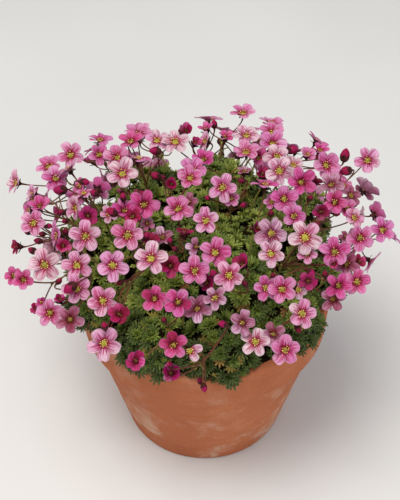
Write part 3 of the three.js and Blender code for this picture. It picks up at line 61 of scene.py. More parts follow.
# Each leaf clump is a rounded tuft: [x, y, z, half size outwards, half size
# around, half height, turn about Z in radians].
CLUMPS = [
    [0.0, 0.0, 122.0, 25.0, 25.0, 31.0, 0.0],
    [30.597, 12.362, 118.0, 24.0, 24.5, 31.0, 0.384],
    [3.05, 34.867, 119.0, 25.0, 26.0, 31.0, 1.484],
    [-32.841, 8.8, 120.0, 25.0, 26.0, 31.0, 2.88],
    [-20.317, -26.004, 117.0, 23.0, 23.5, 30.0, 4.049],
    [22.081, -24.524, 115.0, 23.0, 23.5, 30.0, 5.445],
    [59.918, 3.14, 110.5, 22.5, 23.5, 25.5, 0.052],
    [51.113, 38.516, 112.0, 25.5, 27.0, 28.5, 0.646],
    [9.046, 64.367, 115.0, 25.0, 27.5, 30.0, 1.431],
    [-34.975, 55.971, 114.0, 25.5, 28.5, 30.0, 2.129],
    [-61.194, 24.724, 111.0, 25.0, 27.5, 28.5, 2.758],
    [-57.676, -16.538, 110.5, 22.0, 23.5, 25.5, 3.421],
    [-27.464, -51.652, 109.0, 20.5, 22.5, 24.5, 4.224],
    [6.825, -55.583, 108.0, 20.5, 22.5, 24.5, 4.835],
    [46.518, -33.798, 109.5, 20.5, 22.5, 24.5, 5.655],
]

# Each flowering stem: foot, two guide points, fork, and what it carries.
# Each flower ("f") or bud ("b"): [kind, colour group, throat or middle, facing,
# direction of one petal, radius, bud length, degrees the petals rise, petals
# kept (bits), place of its branch on the stem, two branch curvatures].
STEMS = [
    [[-66.3, -19.4, 134.1], [-68.7, -20.1, 141.8], [-75.2, -12.2, 152.4], [-83.6, -11.1, 153.3], [
        ["f", "L", [-96.2, -6.1, 159.7], [-0.1, -0.641, 0.761], [0.994, -0.104, 0.043], 7.28, 0.0, 8.0, 31, 0.922, 0.28, 0.39],
        ["f", "G", [-104.8, -15.3, 150.3], [-0.86, -0.373, 0.348], [0.0, 0.682, 0.731], 4.76, 0.0, 28.0, 31, 0.986, 0.32, 0.24],
        ["b", "k", [-90.9, -12.8, 157.8], [-0.944, -0.242, 0.225], [1.0, 0.0, 0.0], 1.5, 3.9, 0.0, 31, 1.0, 0.35, 0.22],
        ["b", "k", [-92.6, -17.9, 157.2], [-0.93, -0.13, 0.345], [1.0, 0.0, 0.0], 1.79, 4.98, 0.0, 31, 1.0, 0.2, 0.31],
        ["b", "c", [-100.2, -7.6, 154.7], [-0.817, 0.08, 0.57], [1.0, 0.0, 0.0], 1.5, 3.93, 0.0, 31, 0.97, 0.28, 0.37],
        ["b", "c", [-86.7, -11.2, 162.3], [0.944, -0.242, 0.225], [1.0, 0.0, 0.0], 1.5, 3.88, 0.0, 31, 0.833, 0.47, 0.27],
    ]],
    [[-65.4, 5.2, 130.9], [-66.1, 5.3, 137.7], [-78.6, -2.3, 136.1], [-82.9, -1.6, 134.2], [
        ["b", "c", [-101.2, 3.2, 130.3], [-0.882, 0.432, 0.191], [-0.467, -0.741, -0.482], 2.08, 5.77, 10.0, 31, 1.0, 0.32, 0.2],
    ]],
    [[-58.1, -20.7, 136.0], [-58.8, -25.7, 150.1], [-70.0, -18.2, 149.9], [-68.7, -15.3, 147.1], [
        ["f", "L", [-71.6, -5.7, 170.8], [-0.75, -0.516, 0.413], [0.205, 0.412, 0.888], 6.91, 0.0, 18.0, 31, 0.663, 0.44, 0.08],
        ["f", "G", [-64.3, -13.3, 171.6], [0.1, -0.576, 0.811], [0.863, 0.457, 0.218], 5.74, 0.0, 26.0, 31, 0.852, 0.46, 0.08],
        ["b", "k", [-80.1, -2.9, 165.4], [-0.93, -0.13, 0.345], [1.0, 0.0, 0.0], 1.61, 4.47, 0.0, 31, 0.656, 0.6, 0.26],
        ["b", "k", [-77.6, -10.6, 165.5], [-0.887, -0.462, -0.011], [1.0, 0.0, 0.0], 1.5, 3.87, 0.0, 31, 0.948, 0.21, 0.08],
    ]],
    [[-23.3, -2.5, 145.5], [-26.3, -3.2, 150.0], [-32.2, 1.1, 154.3], [-34.3, -1.5, 160.9], [
        ["f", "P", [-47.0, 16.5, 177.0], [0.0, -0.475, 0.88], [0.997, -0.073, -0.039], 9.03, 0.0, 6.0, 31, 0.715, 0.6, 0.18],
        ["f", "D", [-44.5, -11.8, 173.8], [0.0, -0.346, 0.938], [-0.194, 0.92, 0.34], 7.65, 0.0, 26.0, 31, 0.941, 0.1, 0.1],
        ["f", "L", [-53.1, -10.2, 170.3], [-0.1, -0.576, 0.811], [-0.98, -0.082, -0.179], 4.95, 0.0, 12.0, 31, 0.824, 0.12, 0.08],
        ["b", "c", [-44.9, -8.4, 181.0], [-0.082, 0.4, 0.913], [1.0, 0.0, 0.0], 1.76, 4.9, 0.0, 31, 0.689, 0.43, 0.08],
        ["b", "c", [-35.3, -5.3, 180.5], [0.944, -0.242, 0.225], [1.0, 0.0, 0.0], 1.97, 5.47, 0.0, 31, 0.804, 0.4, 0.23],
        ["b", "c", [-50.4, -18.8, 179.2], [-0.817, 0.08, 0.57], [1.0, 0.0, 0.0], 2.33, 6.46, 0.0, 31, 0.768, 0.22, 0.42],
        ["b", "k", [-47.9, 7.7, 171.9], [-0.93, -0.13, 0.345], [1.0, 0.0, 0.0], 1.5, 3.93, 0.0, 31, 0.913, 0.25, 0.28],
        ["b", "k", [-38.2, 5.1, 173.3], [-0.817, 0.08, 0.57], [1.0, 0.0, 0.0], 1.5, 3.91, 0.0, 31, 0.909, 0.51, 0.28],
    ]],
    [[-11.8, 10.9, 146.2], [-12.7, 11.9, 151.3], [-18.8, -7.4, 159.3], [-18.7, -3.4, 160.8], [
        ["f", "M", [-7.5, 17.5, 178.3], [0.0, -0.397, 0.918], [0.533, 0.776, 0.336], 8.18, 0.0, 10.0, 31, 0.821, 0.53, 0.48],
        ["f", "M", [-8.6, 7.7, 180.9], [0.1, -0.393, 0.914], [0.874, 0.474, 0.108], 7.22, 0.0, 12.0, 31, 0.734, 0.39, 0.08],
        ["f", "V", [-9.6, -6.2, 175.6], [0.1, -0.442, 0.891], [0.147, 0.892, 0.427], 5.49, 0.0, 8.0, 31, 0.941, 0.57, 0.5],
        ["f", "G", [-18.8, 5.4, 178.5], [0.0, -0.644, 0.765], [0.0, 0.765, 0.644], 4.65, 0.0, 47.0, 31, 0.897, 0.36, 0.49],
        ["b", "c", [-27.6, 11.4, 179.7], [-0.855, 0.03, 0.517], [1.0, 0.0, 0.0], 2.21, 6.15, 0.0, 31, 0.777, 0.22, 0.28],
        ["b", "k", [-23.8, 13.8, 176.3], [-0.164, 0.392, 0.905], [1.0, 0.0, 0.0], 1.5, 3.8, 0.0, 31, 0.69, 0.19, 0.33],
    ]],
    [[-69.1, -16.3, 132.7], [-73.3, -17.3, 139.5], [-79.8, -21.6, 131.5], [-86.2, -24.9, 131.8], [
        ["f", "D", [-99.8, -36.3, 145.1], [0.1, -0.641, 0.761], [0.49, 0.698, 0.522], 6.3, 0.0, 20.0, 31, 1.0, 0.3, 0.21],
        ["f", "D", [-108.1, -22.4, 134.5], [-0.35, -0.49, 0.799], [-0.233, 0.871, 0.432], 5.37, 0.0, 16.0, 31, 1.0, 0.35, 0.31],
        ["f", "G", [-92.3, -47.4, 133.7], [-0.3, -0.626, 0.72], [-0.893, -0.081, -0.442], 3.84, 0.0, 30.0, 31, 0.962, 0.22, 0.17],
    ]],
    [[-66.7, -24.4, 132.4], [-69.1, -25.0, 136.6], [-68.8, -19.3, 146.5], [-74.6, -25.9, 147.6], [
        ["f", "L", [-64.6, -28.2, 170.0], [0.0, -0.689, 0.725], [-0.035, 0.724, 0.689], 8.33, 0.0, 8.0, 31, 0.961, 0.42, 0.35],
        ["f", "M", [-80.6, -22.7, 165.3], [-0.93, -0.269, 0.251], [0.024, 0.637, 0.771], 7.9, 0.0, 4.0, 31, 0.947, 0.3, 0.11],
        ["f", "G", [-76.5, -32.8, 167.2], [0.2, -0.629, 0.751], [0.614, 0.678, 0.405], 5.09, 0.0, 36.0, 31, 0.99, 0.36, 0.42],
        ["f", "P", [-86.8, -37.8, 157.9], [0.05, -0.688, 0.724], [-0.211, 0.701, 0.681], 8.62, 0.0, 8.0, 31, 0.868, 0.35, 0.16],
        ["b", "k", [-76.5, -19.5, 165.3], [-0.164, 0.392, 0.905], [1.0, 0.0, 0.0], 1.57, 4.37, 0.0, 31, 0.94, 0.37, 0.18],
    ]],
    [[-62.0, -34.6, 126.3], [-63.4, -37.3, 133.2], [-63.8, -42.6, 140.1], [-64.7, -44.4, 144.3], [
        ["f", "L", [-68.1, -44.9, 164.4], [0.0, -0.644, 0.765], [-0.294, 0.731, 0.616], 7.94, 0.0, 8.0, 31, 0.683, 0.43, 0.5],
        ["f", "L", [-67.7, -57.3, 159.2], [0.0, -0.674, 0.738], [0.789, 0.454, 0.414], 7.6, 0.0, 10.0, 31, 0.969, 0.36, 0.31],
        ["f", "M", [-82.8, -60.2, 144.0], [0.0, -0.689, 0.725], [-0.087, 0.722, 0.686], 7.45, 0.0, 10.0, 31, 0.87, 0.47, 0.25],
        ["f", "V", [-71.3, -67.2, 146.4], [0.0, -0.703, 0.711], [0.985, -0.123, -0.122], 7.36, 0.0, 10.0, 31, 0.677, 0.5, 0.5],
        ["f", "D", [-88.4, -50.8, 141.9], [-0.2, -0.629, 0.751], [0.501, 0.593, 0.63], 3.6, 0.0, 44.0, 31, 0.773, 0.13, 0.44],
        ["f", "G", [-78.0, -52.8, 146.3], [0.0, -0.176, 0.984], [0.585, 0.798, 0.143], 3.75, 0.0, 36.0, 31, 1.0, 0.47, 0.25],
        ["b", "c", [-70.4, -61.3, 163.9], [-0.773, -0.611, -0.171], [1.0, 0.0, 0.0], 2.8, 7.78, 0.0, 31, 0.365, 0.59, 0.48],
        ["b", "k", [-78.3, -47.2, 155.0], [0.667, 0.214, 0.713], [1.0, 0.0, 0.0], 1.54, 4.27, 0.0, 31, 1.0, 0.46, 0.42],
    ]],
    [[-36.2, -21.1, 138.6], [-38.3, -21.7, 147.5], [-41.3, -33.9, 157.8], [-37.5, -28.1, 164.0], [
        ["f", "D", [-33.4, -11.9, 178.3], [0.1, -0.641, 0.761], [0.995, 0.064, -0.077], 8.16, 0.0, 12.0, 31, 0.758, 0.37, 0.46],
        ["f", "G", [-39.1, -20.0, 176.7], [0.0, -0.58, 0.814], [0.508, 0.702, 0.5], 4.85, 0.0, 22.0, 31, 0.967, 0.37, 0.31],
        ["f", "L", [-41.6, -32.3, 174.4], [0.1, -0.656, 0.748], [0.197, 0.75, 0.631], 8.24, 0.0, 10.0, 31, 0.947, 0.3, 0.16],
        ["f", "V", [-31.7, -19.9, 171.6], [0.0, -0.397, 0.918], [0.675, 0.677, 0.293], 4.07, 0.0, 4.0, 31, 0.981, 0.43, 0.48],
        ["f", "V", [-23.6, -25.7, 166.5], [0.0, -0.236, 0.972], [-0.207, 0.951, 0.231], 6.23, 0.0, 18.0, 31, 0.895, 0.33, 0.28],
        ["f", "G", [-29.8, -31.9, 167.9], [0.0, -0.017, 1.0], [-0.97, 0.245, 0.004], 6.17, 0.0, 34.0, 31, 1.0, 0.18, 0.31],
        ["b", "c", [-31.8, -31.7, 173.5], [0.472, 0.316, 0.823], [1.0, 0.0, 0.0], 1.73, 4.8, 0.0, 31, 0.78, 0.43, 0.32],
    ]],
    [[-31.2, -24.2, 143.9], [-29.6, -28.2, 158.1], [-33.1, -40.0, 143.6], [-35.7, -35.1, 162.5], [
        ["f", "L", [-48.8, -49.4, 168.7], [0.0, -0.703, 0.711], [-0.616, 0.56, 0.554], 8.12, 0.0, 8.0, 31, 0.973, 0.34, 0.08],
        ["f", "L", [-53.4, -66.7, 159.8], [0.1, -0.685, 0.721], [-0.455, 0.613, 0.646], 7.76, 0.0, 8.0, 31, 0.402, 0.52, 0.42],
        ["f", "G", [-44.6, -74.4, 157.9], [0.0, -0.563, 0.826], [0.942, 0.276, 0.189], 5.64, 0.0, 18.0, 31, 0.725, 0.41, 0.3],
        ["f", "L", [-52.6, -82.0, 144.2], [0.0, -0.711, 0.704], [-0.574, 0.576, 0.582], 8.53, 0.0, 8.0, 31, 0.72, 0.33, 0.2],
        ["b", "c", [-52.0, -78.6, 153.7], [-0.164, 0.392, 0.905], [1.0, 0.0, 0.0], 1.66, 4.62, 0.0, 31, 0.711, 0.53, 0.08],
        ["b", "k", [-45.1, -54.0, 160.3], [-0.887, -0.462, -0.011], [1.0, 0.0, 0.0], 1.5, 3.8, 0.0, 31, 0.384, 0.18, 0.42],
    ]],
    [[-20.2, -62.8, 128.9], [-21.1, -65.7, 133.0], [-25.4, -73.5, 132.4], [-29.6, -78.5, 132.6], [
        ["f", "G", [-35.9, -89.6, 139.1], [0.0, -0.511, 0.859], [-0.944, -0.284, -0.169], 5.41, 0.0, 20.0, 31, 1.0, 0.42, 0.35],
    ]],
    [[-15.6, -11.6, 140.0], [-19.5, -11.4, 149.8], [-13.2, -25.1, 153.4], [-14.0, -23.2, 161.5], [
        ["f", "L", [0.2, -25.6, 178.7], [-0.15, -0.588, 0.795], [0.027, 0.801, 0.598], 7.21, 0.0, 10.0, 31, 1.0, 0.29, 0.41],
        ["f", "M", [-14.9, -16.9, 179.4], [0.0, -0.346, 0.938], [-0.0, -0.938, -0.346], 7.82, 0.0, 8.0, 31, 0.801, 0.57, 0.08],
        ["f", "G", [-11.5, -30.1, 173.8], [0.0, 0.365, 0.931], [1.0, 0.0, 0.0], 5.07, 0.0, 12.0, 31, 0.94, 0.48, 0.08],
        ["f", "P", [-28.6, -48.4, 172.5], [0.0, -0.417, 0.909], [-0.882, 0.428, 0.197], 8.61, 0.0, 2.0, 31, 0.798, 0.31, 0.37],
        ["f", "G", [-18.5, -48.2, 167.2], [0.0, -0.621, 0.784], [0.504, 0.677, 0.536], 6.04, 0.0, 18.0, 31, 0.558, 0.24, 0.32],
        ["f", "V", [-5.1, -38.9, 172.1], [0.0, -0.493, 0.87], [-0.182, 0.855, 0.485], 5.29, 0.0, 2.0, 7, 1.0, 0.36, 0.41],
        ["b", "c", [-19.0, -33.8, 171.8], [-0.164, 0.392, 0.905], [1.0, 0.0, 0.0], 1.53, 4.26, 0.0, 31, 0.724, 0.18, 0.15],
        ["b", "k", [-16.3, -36.8, 168.8], [-0.817, 0.08, 0.57], [1.0, 0.0, 0.0], 1.5, 3.8, 0.0, 31, 1.0, 0.39, 0.48],
    ]],
    [[-12.2, -53.9, 127.1], [-12.7, -55.9, 130.7], [-11.2, -56.0, 138.7], [-12.3, -59.1, 142.6], [
        ["f", "D", [-26.3, -69.0, 164.0], [0.0, -0.674, 0.738], [0.174, 0.727, 0.664], 6.92, 0.0, 16.0, 31, 0.726, 0.4, 0.33],
        ["f", "D", [-14.2, -72.5, 164.7], [0.0, -0.644, 0.765], [-0.618, 0.601, 0.506], 7.4, 0.0, 10.0, 31, 0.709, 0.36, 0.4],
        ["f", "V", [-4.5, -71.6, 159.0], [0.0, -0.613, 0.79], [0.505, 0.682, 0.529], 7.46, 0.0, 12.0, 31, 1.0, 0.29, 0.16],
        ["b", "k", [-21.5, -75.7, 155.1], [-0.472, 0.316, 0.823], [1.0, 0.0, 0.0], 1.5, 3.8, 0.0, 31, 1.0, 0.35, 0.2],
    ]],
    [[-0.7, -71.0, 122.6], [-5.8, -75.2, 128.8], [1.7, -80.1, 135.1], [-2.2, -90.2, 137.5], [
        ["f", "D", [-16.4, -89.4, 151.2], [0.0, -0.689, 0.725], [-0.174, 0.714, 0.679], 6.84, 0.0, 10.0, 31, 0.992, 0.16, 0.5],
        ["f", "G", [-18.0, -92.1, 131.9], [0.0, -0.292, 0.956], [-0.387, -0.882, -0.27], 5.7, 0.0, 30.0, 31, 0.997, 0.18, 0.38],
        ["f", "P", [-8.1, -89.7, 146.9], [0.05, -0.688, 0.724], [0.938, 0.28, 0.202], 6.12, 0.0, 4.0, 17, 0.618, 0.45, 0.44],
        ["b", "c", [8.7, -82.2, 159.0], [-0.93, -0.13, 0.345], [1.0, 0.0, 0.0], 1.82, 5.07, 0.0, 31, 1.0, 0.1, 0.08],
        ["b", "c", [-0.9, -95.7, 124.8], [0.244, -0.863, -0.441], [1.0, 0.0, 0.0], 1.68, 4.68, 0.0, 31, 0.748, 0.35, 0.12],
        ["b", "k", [-3.0, -91.3, 125.2], [-0.472, 0.316, 0.823], [1.0, 0.0, 0.0], 1.51, 4.18, 0.0, 31, 0.73, 0.36, 0.45],
        ["b", "c", [-18.4, -92.2, 139.1], [-0.164, 0.392, 0.905], [1.0, 0.0, 0.0], 1.5, 3.8, 0.0, 31, 0.903, 0.37, 0.08],
    ]],
    [[1.8, -38.4, 120.5], [2.0, -42.6, 131.6], [7.9, -42.5, 139.4], [8.3, -47.1, 148.4], [
        ["f", "M", [-5.8, -56.6, 171.6], [0.0, -0.529, 0.849], [0.0, 0.849, 0.529], 7.49, 0.0, 8.0, 31, 0.749, 0.21, 0.2],
        ["f", "M", [4.8, -46.2, 174.7], [0.05, -0.528, 0.848], [-0.874, 0.388, 0.293], 8.09, 0.0, 8.0, 31, 0.944, 0.27, 0.33],
        ["f", "L", [12.0, -58.9, 170.6], [-0.05, -0.688, 0.724], [-0.571, 0.614, 0.544], 7.48, 0.0, 10.0, 31, 0.775, 0.29, 0.31],
        ["f", "G", [19.4, -50.5, 170.1], [-0.5, -0.176, 0.848], [0.412, 0.813, 0.412], 6.26, 0.0, 26.0, 31, 0.682, 0.35, 0.41],
        ["f", "Q", [4.7, -69.9, 165.4], [0.0, -0.644, 0.765], [-0.533, 0.647, 0.545], 5.88, 0.0, -12.0, 31, 0.905, 0.32, 0.36],
        ["f", "G", [0.7, -56.7, 163.0], [-0.2, -0.522, 0.829], [0.768, 0.442, 0.464], 4.96, 0.0, 26.0, 31, 1.0, 0.25, 0.21],
        ["b", "c", [4.2, -56.8, 169.7], [-0.607, 0.252, 0.754], [1.0, 0.0, 0.0], 1.86, 5.18, 0.0, 31, 1.0, 0.31, 0.34],
        ["b", "k", [20.4, -58.7, 164.3], [-0.472, 0.316, 0.823], [1.0, 0.0, 0.0], 1.5, 4.16, 0.0, 31, 0.924, 0.37, 0.32],
    ]],
    [[28.8, -55.2, 113.7], [30.3, -58.1, 120.5], [29.4, -61.6, 127.0], [31.2, -65.4, 131.8], [
        ["f", "L", [49.5, -73.0, 157.1], [0.0, -0.689, 0.725], [0.259, 0.7, 0.666], 7.46, 0.0, 6.0, 31, 0.982, 0.22, 0.31],
        ["f", "P", [25.2, -87.6, 151.5], [0.0, -0.659, 0.752], [-0.867, 0.374, 0.329], 7.11, 0.0, -4.0, 31, 0.939, 0.45, 0.16],
        ["f", "V", [35.0, -79.1, 147.8], [0.0, -0.629, 0.778], [0.822, 0.443, 0.358], 6.46, 0.0, 10.0, 31, 1.0, 0.41, 0.24],
        ["f", "M", [40.6, -87.0, 144.7], [0.0, -0.689, 0.725], [0.087, 0.722, 0.686], 7.44, 0.0, 10.0, 31, 0.898, 0.45, 0.37],
        ["f", "V", [18.6, -81.2, 158.8], [0.0, -0.696, 0.718], [0.259, 0.693, 0.673], 6.6, 0.0, 10.0, 31, 0.955, 0.45, 0.26],
        ["b", "k", [47.6, -77.4, 150.2], [0.472, -0.799, -0.373], [1.0, 0.0, 0.0], 1.67, 4.64, 0.0, 31, 0.904, 0.22, 0.19],
        ["b", "c", [37.9, -86.1, 139.1], [-0.887, -0.462, -0.011], [1.0, 0.0, 0.0], 1.5, 4.14, 0.0, 31, 1.0, 0.44, 0.28],
    ]],
    [[31.2, -31.6, 141.3], [32.8, -33.3, 146.9], [37.3, -44.0, 151.7], [39.2, -46.8, 154.8], [
        ["f", "P", [34.5, -42.0, 170.0], [0.0, -0.563, 0.826], [-0.942, -0.276, -0.189], 7.13, 0.0, 4.0, 31, 0.883, 0.37, 0.35],
        ["f", "G", [53.5, -55.6, 163.4], [0.0, -0.644, 0.765], [0.503, 0.661, 0.557], 4.71, 0.0, -6.0, 31, 0.887, 0.36, 0.26],
        ["f", "M", [39.3, -63.7, 165.3], [0.0, -0.659, 0.752], [-1.0, 0.0, 0.0], 7.48, 0.0, 12.0, 31, 0.926, 0.31, 0.16],
        ["f", "M", [31.3, -59.8, 162.4], [-0.1, -0.656, 0.748], [-0.248, 0.745, 0.619], 6.77, 0.0, 10.0, 31, 0.847, 0.44, 0.16],
        ["f", "P", [48.5, -57.0, 158.1], [0.2, -0.629, 0.751], [0.965, -0.008, -0.263], 4.99, 0.0, 6.0, 19, 1.0, 0.38, 0.35],
        ["b", "c", [55.4, -49.6, 164.2], [0.817, -0.563, -0.12], [1.0, 0.0, 0.0], 1.71, 4.74, 0.0, 31, 0.848, 0.27, 0.27],
        ["b", "k", [35.4, -51.6, 163.2], [-0.164, 0.392, 0.905], [1.0, 0.0, 0.0], 1.5, 3.8, 0.0, 31, 1.0, 0.33, 0.37],
    ]],
    [[24.8, -12.5, 140.9], [26.2, -13.2, 149.7], [25.6, -7.4, 157.0], [30.5, -9.4, 163.3], [
        ["f", "M", [43.0, -6.5, 178.0], [0.05, -0.674, 0.737], [0.926, 0.308, 0.218], 7.39, 0.0, 12.0, 31, 0.755, 0.48, 0.28],
        ["f", "M", [36.8, -3.9, 173.6], [-0.25, -0.556, 0.792], [-0.968, 0.144, -0.205], 4.42, 0.0, 14.0, 31, 1.0, 0.34, 0.29],
        ["f", "M", [47.6, -18.2, 175.5], [0.3, -0.61, 0.733], [0.284, 0.791, 0.542], 6.76, 0.0, 12.0, 31, 0.86, 0.25, 0.39],
        ["f", "M", [32.9, 2.2, 180.4], [0.05, 0.343, 0.938], [-0.989, -0.117, 0.096], 7.45, 0.0, 8.0, 31, 0.684, 0.46, 0.15],
        ["f", "Q", [34.7, -31.9, 175.5], [0.1, -0.685, 0.721], [-0.68, 0.482, 0.553], 8.5, 0.0, -4.0, 31, 0.616, 0.45, 0.18],
        ["f", "G", [27.0, -26.1, 174.2], [0.75, -0.325, 0.576], [-0.153, 0.762, 0.629], 3.75, 0.0, 24.0, 31, 0.689, 0.45, 0.21],
        ["b", "k", [35.9, -11.6, 172.2], [0.0, 0.402, 0.916], [1.0, 0.0, 0.0], 1.5, 3.83, 0.0, 31, 1.0, 0.39, 0.28],
    ]],
    [[39.0, -14.8, 132.0], [41.1, -15.7, 141.3], [43.4, -26.9, 141.4], [44.3, -26.2, 149.8], [
        ["f", "P", [53.0, -31.6, 172.3], [0.0, -0.689, 0.725], [0.67, 0.538, 0.512], 8.81, 0.0, 4.0, 31, 0.898, 0.58, 0.28],
        ["f", "L", [54.3, -36.0, 164.4], [0.0, -0.538, 0.843], [-0.943, -0.28, -0.179], 5.36, 0.0, 10.0, 31, 0.783, 0.22, 0.18],
        ["f", "M", [68.8, -36.9, 166.6], [0.0, -0.674, 0.738], [-0.035, 0.738, 0.674], 8.01, 0.0, 10.0, 31, 0.811, 0.32, 0.33],
        ["f", "G", [68.0, -45.5, 166.0], [-0.2, -0.682, 0.704], [0.919, 0.119, 0.376], 3.96, 0.0, 52.0, 31, 0.466, 0.44, 0.18],
        ["f", "D", [69.8, -55.2, 159.3], [0.05, -0.659, 0.751], [0.371, 0.71, 0.598], 7.1, 0.0, 12.0, 31, 0.855, 0.58, 0.37],
        ["f", "V", [67.5, -56.8, 151.2], [0.0, -0.644, 0.765], [-0.71, -0.539, -0.454], 6.89, 0.0, 8.0, 31, 0.476, 0.42, 0.11],
        ["b", "k", [63.2, -48.3, 161.3], [-0.164, 0.392, 0.905], [1.0, 0.0, 0.0], 1.52, 4.23, 0.0, 31, 0.753, 0.29, 0.14],
        ["b", "c", [64.6, -36.3, 163.1], [-0.323, 0.363, 0.874], [1.0, 0.0, 0.0], 1.54, 4.29, 0.0, 31, 0.779, 0.6, 0.21],
    ]],
    [[63.3, -18.7, 119.6], [70.5, -20.8, 129.9], [71.4, -19.2, 141.1], [76.7, -22.0, 147.1], [
        ["f", "V", [75.5, -38.7, 159.2], [0.1, -0.641, 0.761], [0.635, 0.63, 0.447], 6.99, 0.0, 8.0, 31, 0.846, 0.29, 0.15],
        ["f", "G", [82.9, -33.3, 155.8], [0.5, -0.39, 0.773], [0.707, 0.699, -0.105], 4.62, 0.0, 24.0, 31, 1.0, 0.37, 0.21],
        ["f", "M", [84.3, -22.5, 163.7], [0.05, -0.688, 0.724], [-0.456, 0.629, 0.63], 7.37, 0.0, 8.0, 31, 0.814, 0.26, 0.33],
        ["f", "M", [99.1, -8.9, 157.3], [0.05, -0.688, 0.724], [-0.261, 0.69, 0.675], 6.99, 0.0, 6.0, 31, 0.87, 0.36, 0.37],
        ["f", "V", [77.3, -19.1, 160.6], [0.0, -0.176, 0.984], [-0.215, 0.961, 0.172], 4.4, 0.0, 10.0, 31, 1.0, 0.31, 0.24],
        ["f", "M", [80.5, -49.4, 156.5], [0.05, -0.688, 0.724], [0.984, 0.16, 0.084], 6.91, 0.0, 10.0, 31, 0.906, 0.38, 0.27],
    ]],
    [[15.3, 10.4, 141.5], [16.4, 11.1, 151.1], [12.5, 1.0, 157.5], [15.1, 1.7, 166.4], [
        ["f", "L", [9.4, 0.0, 180.7], [-0.05, -0.674, 0.737], [-0.753, 0.51, 0.415], 7.98, 0.0, 10.0, 31, 1.0, 0.39, 0.27],
        ["f", "M", [14.1, -2.1, 174.3], [0.1, -0.576, 0.811], [0.936, 0.331, 0.12], 4.98, 0.0, 12.0, 31, 1.0, 0.4, 0.36],
        ["b", "k", [20.5, 9.3, 177.8], [-0.944, -0.242, 0.225], [1.0, 0.0, 0.0], 1.61, 4.47, 0.0, 31, 0.862, 0.3, 0.24],
        ["b", "c", [21.2, -7.1, 174.2], [-0.93, -0.353, 0.105], [1.0, 0.0, 0.0], 1.58, 4.4, 0.0, 31, 0.773, 0.24, 0.16],
        ["b", "c", [1.4, -1.7, 174.6], [-0.887, -0.021, 0.461], [1.0, 0.0, 0.0], 1.5, 3.8, 0.0, 31, 0.81, 0.46, 0.28],
    ]],
    [[44.1, -7.2, 125.7], [47.6, -7.8, 134.8], [50.3, -3.8, 141.2], [54.3, -3.0, 146.8], [
        ["f", "D", [53.6, 10.3, 175.9], [0.05, -0.62, 0.783], [0.766, 0.527, 0.368], 8.41, 0.0, 18.0, 31, 0.854, 0.32, 0.18],
        ["f", "D", [71.8, -1.3, 171.0], [0.0, -0.659, 0.752], [0.44, 0.675, 0.592], 6.95, 0.0, 18.0, 31, 0.929, 0.4, 0.4],
        ["f", "D", [78.8, 0.0, 165.5], [0.2, -0.565, 0.8], [0.74, 0.623, 0.255], 5.88, 0.0, 22.0, 31, 0.965, 0.34, 0.28],
        ["f", "L", [82.5, -7.9, 165.3], [0.3, -0.458, 0.837], [0.413, 0.853, 0.318], 5.83, 0.0, 10.0, 31, 0.845, 0.32, 0.4],
        ["f", "G", [63.2, -9.9, 171.5], [0.0, -0.644, 0.765], [0.591, 0.617, 0.52], 5.22, 0.0, 28.0, 31, 1.0, 0.29, 0.31],
        ["b", "k", [61.7, -15.5, 167.6], [-0.607, 0.252, 0.754], [1.0, 0.0, 0.0], 1.5, 3.84, 0.0, 31, 0.814, 0.26, 0.4],
        ["b", "k", [58.5, 2.7, 170.9], [0.472, 0.316, 0.823], [1.0, 0.0, 0.0], 1.61, 4.47, 0.0, 31, 1.0, 0.47, 0.25],
    ]],
    [[79.0, 12.6, 119.6], [82.8, 13.2, 123.9], [90.4, 12.9, 134.8], [91.0, 13.5, 128.9], [
        ["f", "M", [86.0, 7.5, 118.5], [0.972, -0.165, -0.168], [-0.233, -0.566, -0.791], 8.49, 0.0, 6.0, 31, 0.911, 0.47, 0.24],
        ["f", "L", [84.4, 20.6, 121.3], [0.877, -0.135, -0.461], [0.434, 0.634, 0.64], 8.71, 0.0, 12.0, 31, 0.982, 0.48, 0.34],
        ["f", "M", [97.8, 3.8, 121.0], [0.74, -0.532, -0.411], [-0.562, -0.826, 0.057], 7.97, 0.0, 8.0, 31, 0.947, 0.38, 0.26],
        ["f", "M", [108.5, 12.9, 134.3], [0.877, 0.223, 0.425], [0.395, 0.165, -0.904], 8.6, 0.0, 16.0, 31, 0.61, 0.44, 0.4],
    ]],
    [[27.3, 19.9, 147.6], [27.6, 20.1, 155.1], [31.6, 22.7, 159.5], [35.0, 26.2, 163.5], [
        ["f", "D", [30.6, 35.5, 173.6], [0.1, -0.489, 0.866], [0.642, 0.697, 0.32], 6.38, 0.0, 32.0, 31, 1.0, 0.48, 0.18],
        ["f", "P", [41.3, 32.4, 176.8], [0.0, -0.397, 0.918], [-0.369, 0.853, 0.369], 7.48, 0.0, 6.0, 31, 0.926, 0.28, 0.22],
        ["f", "P", [41.9, 18.3, 177.7], [-0.1, -0.656, 0.748], [-0.935, -0.194, -0.295], 7.91, 0.0, 4.0, 31, 0.832, 0.34, 0.38],
        ["f", "P", [50.8, 31.4, 171.0], [0.3, -0.133, 0.945], [-0.225, 0.952, 0.206], 6.66, 0.0, 8.0, 31, 0.949, 0.34, 0.27],
        ["f", "G", [32.3, 20.6, 173.0], [0.1, -0.288, 0.952], [0.516, 0.833, 0.198], 4.84, 0.0, 30.0, 31, 1.0, 0.29, 0.22],
    ]],
    [[35.6, 32.1, 133.9], [40.4, 36.4, 147.3], [45.7, 38.6, 163.3], [52.2, 43.3, 163.9], [
        ["f", "M", [59.7, 41.2, 170.9], [0.1, -0.094, 0.99], [-0.088, 0.991, 0.103], 5.56, 0.0, 30.0, 31, 1.0, 0.41, 0.19],
        ["f", "D", [68.7, 53.1, 165.1], [0.1, 0.113, 0.989], [0.636, 0.757, -0.151], 5.98, 0.0, 26.0, 31, 0.983, 0.38, 0.25],
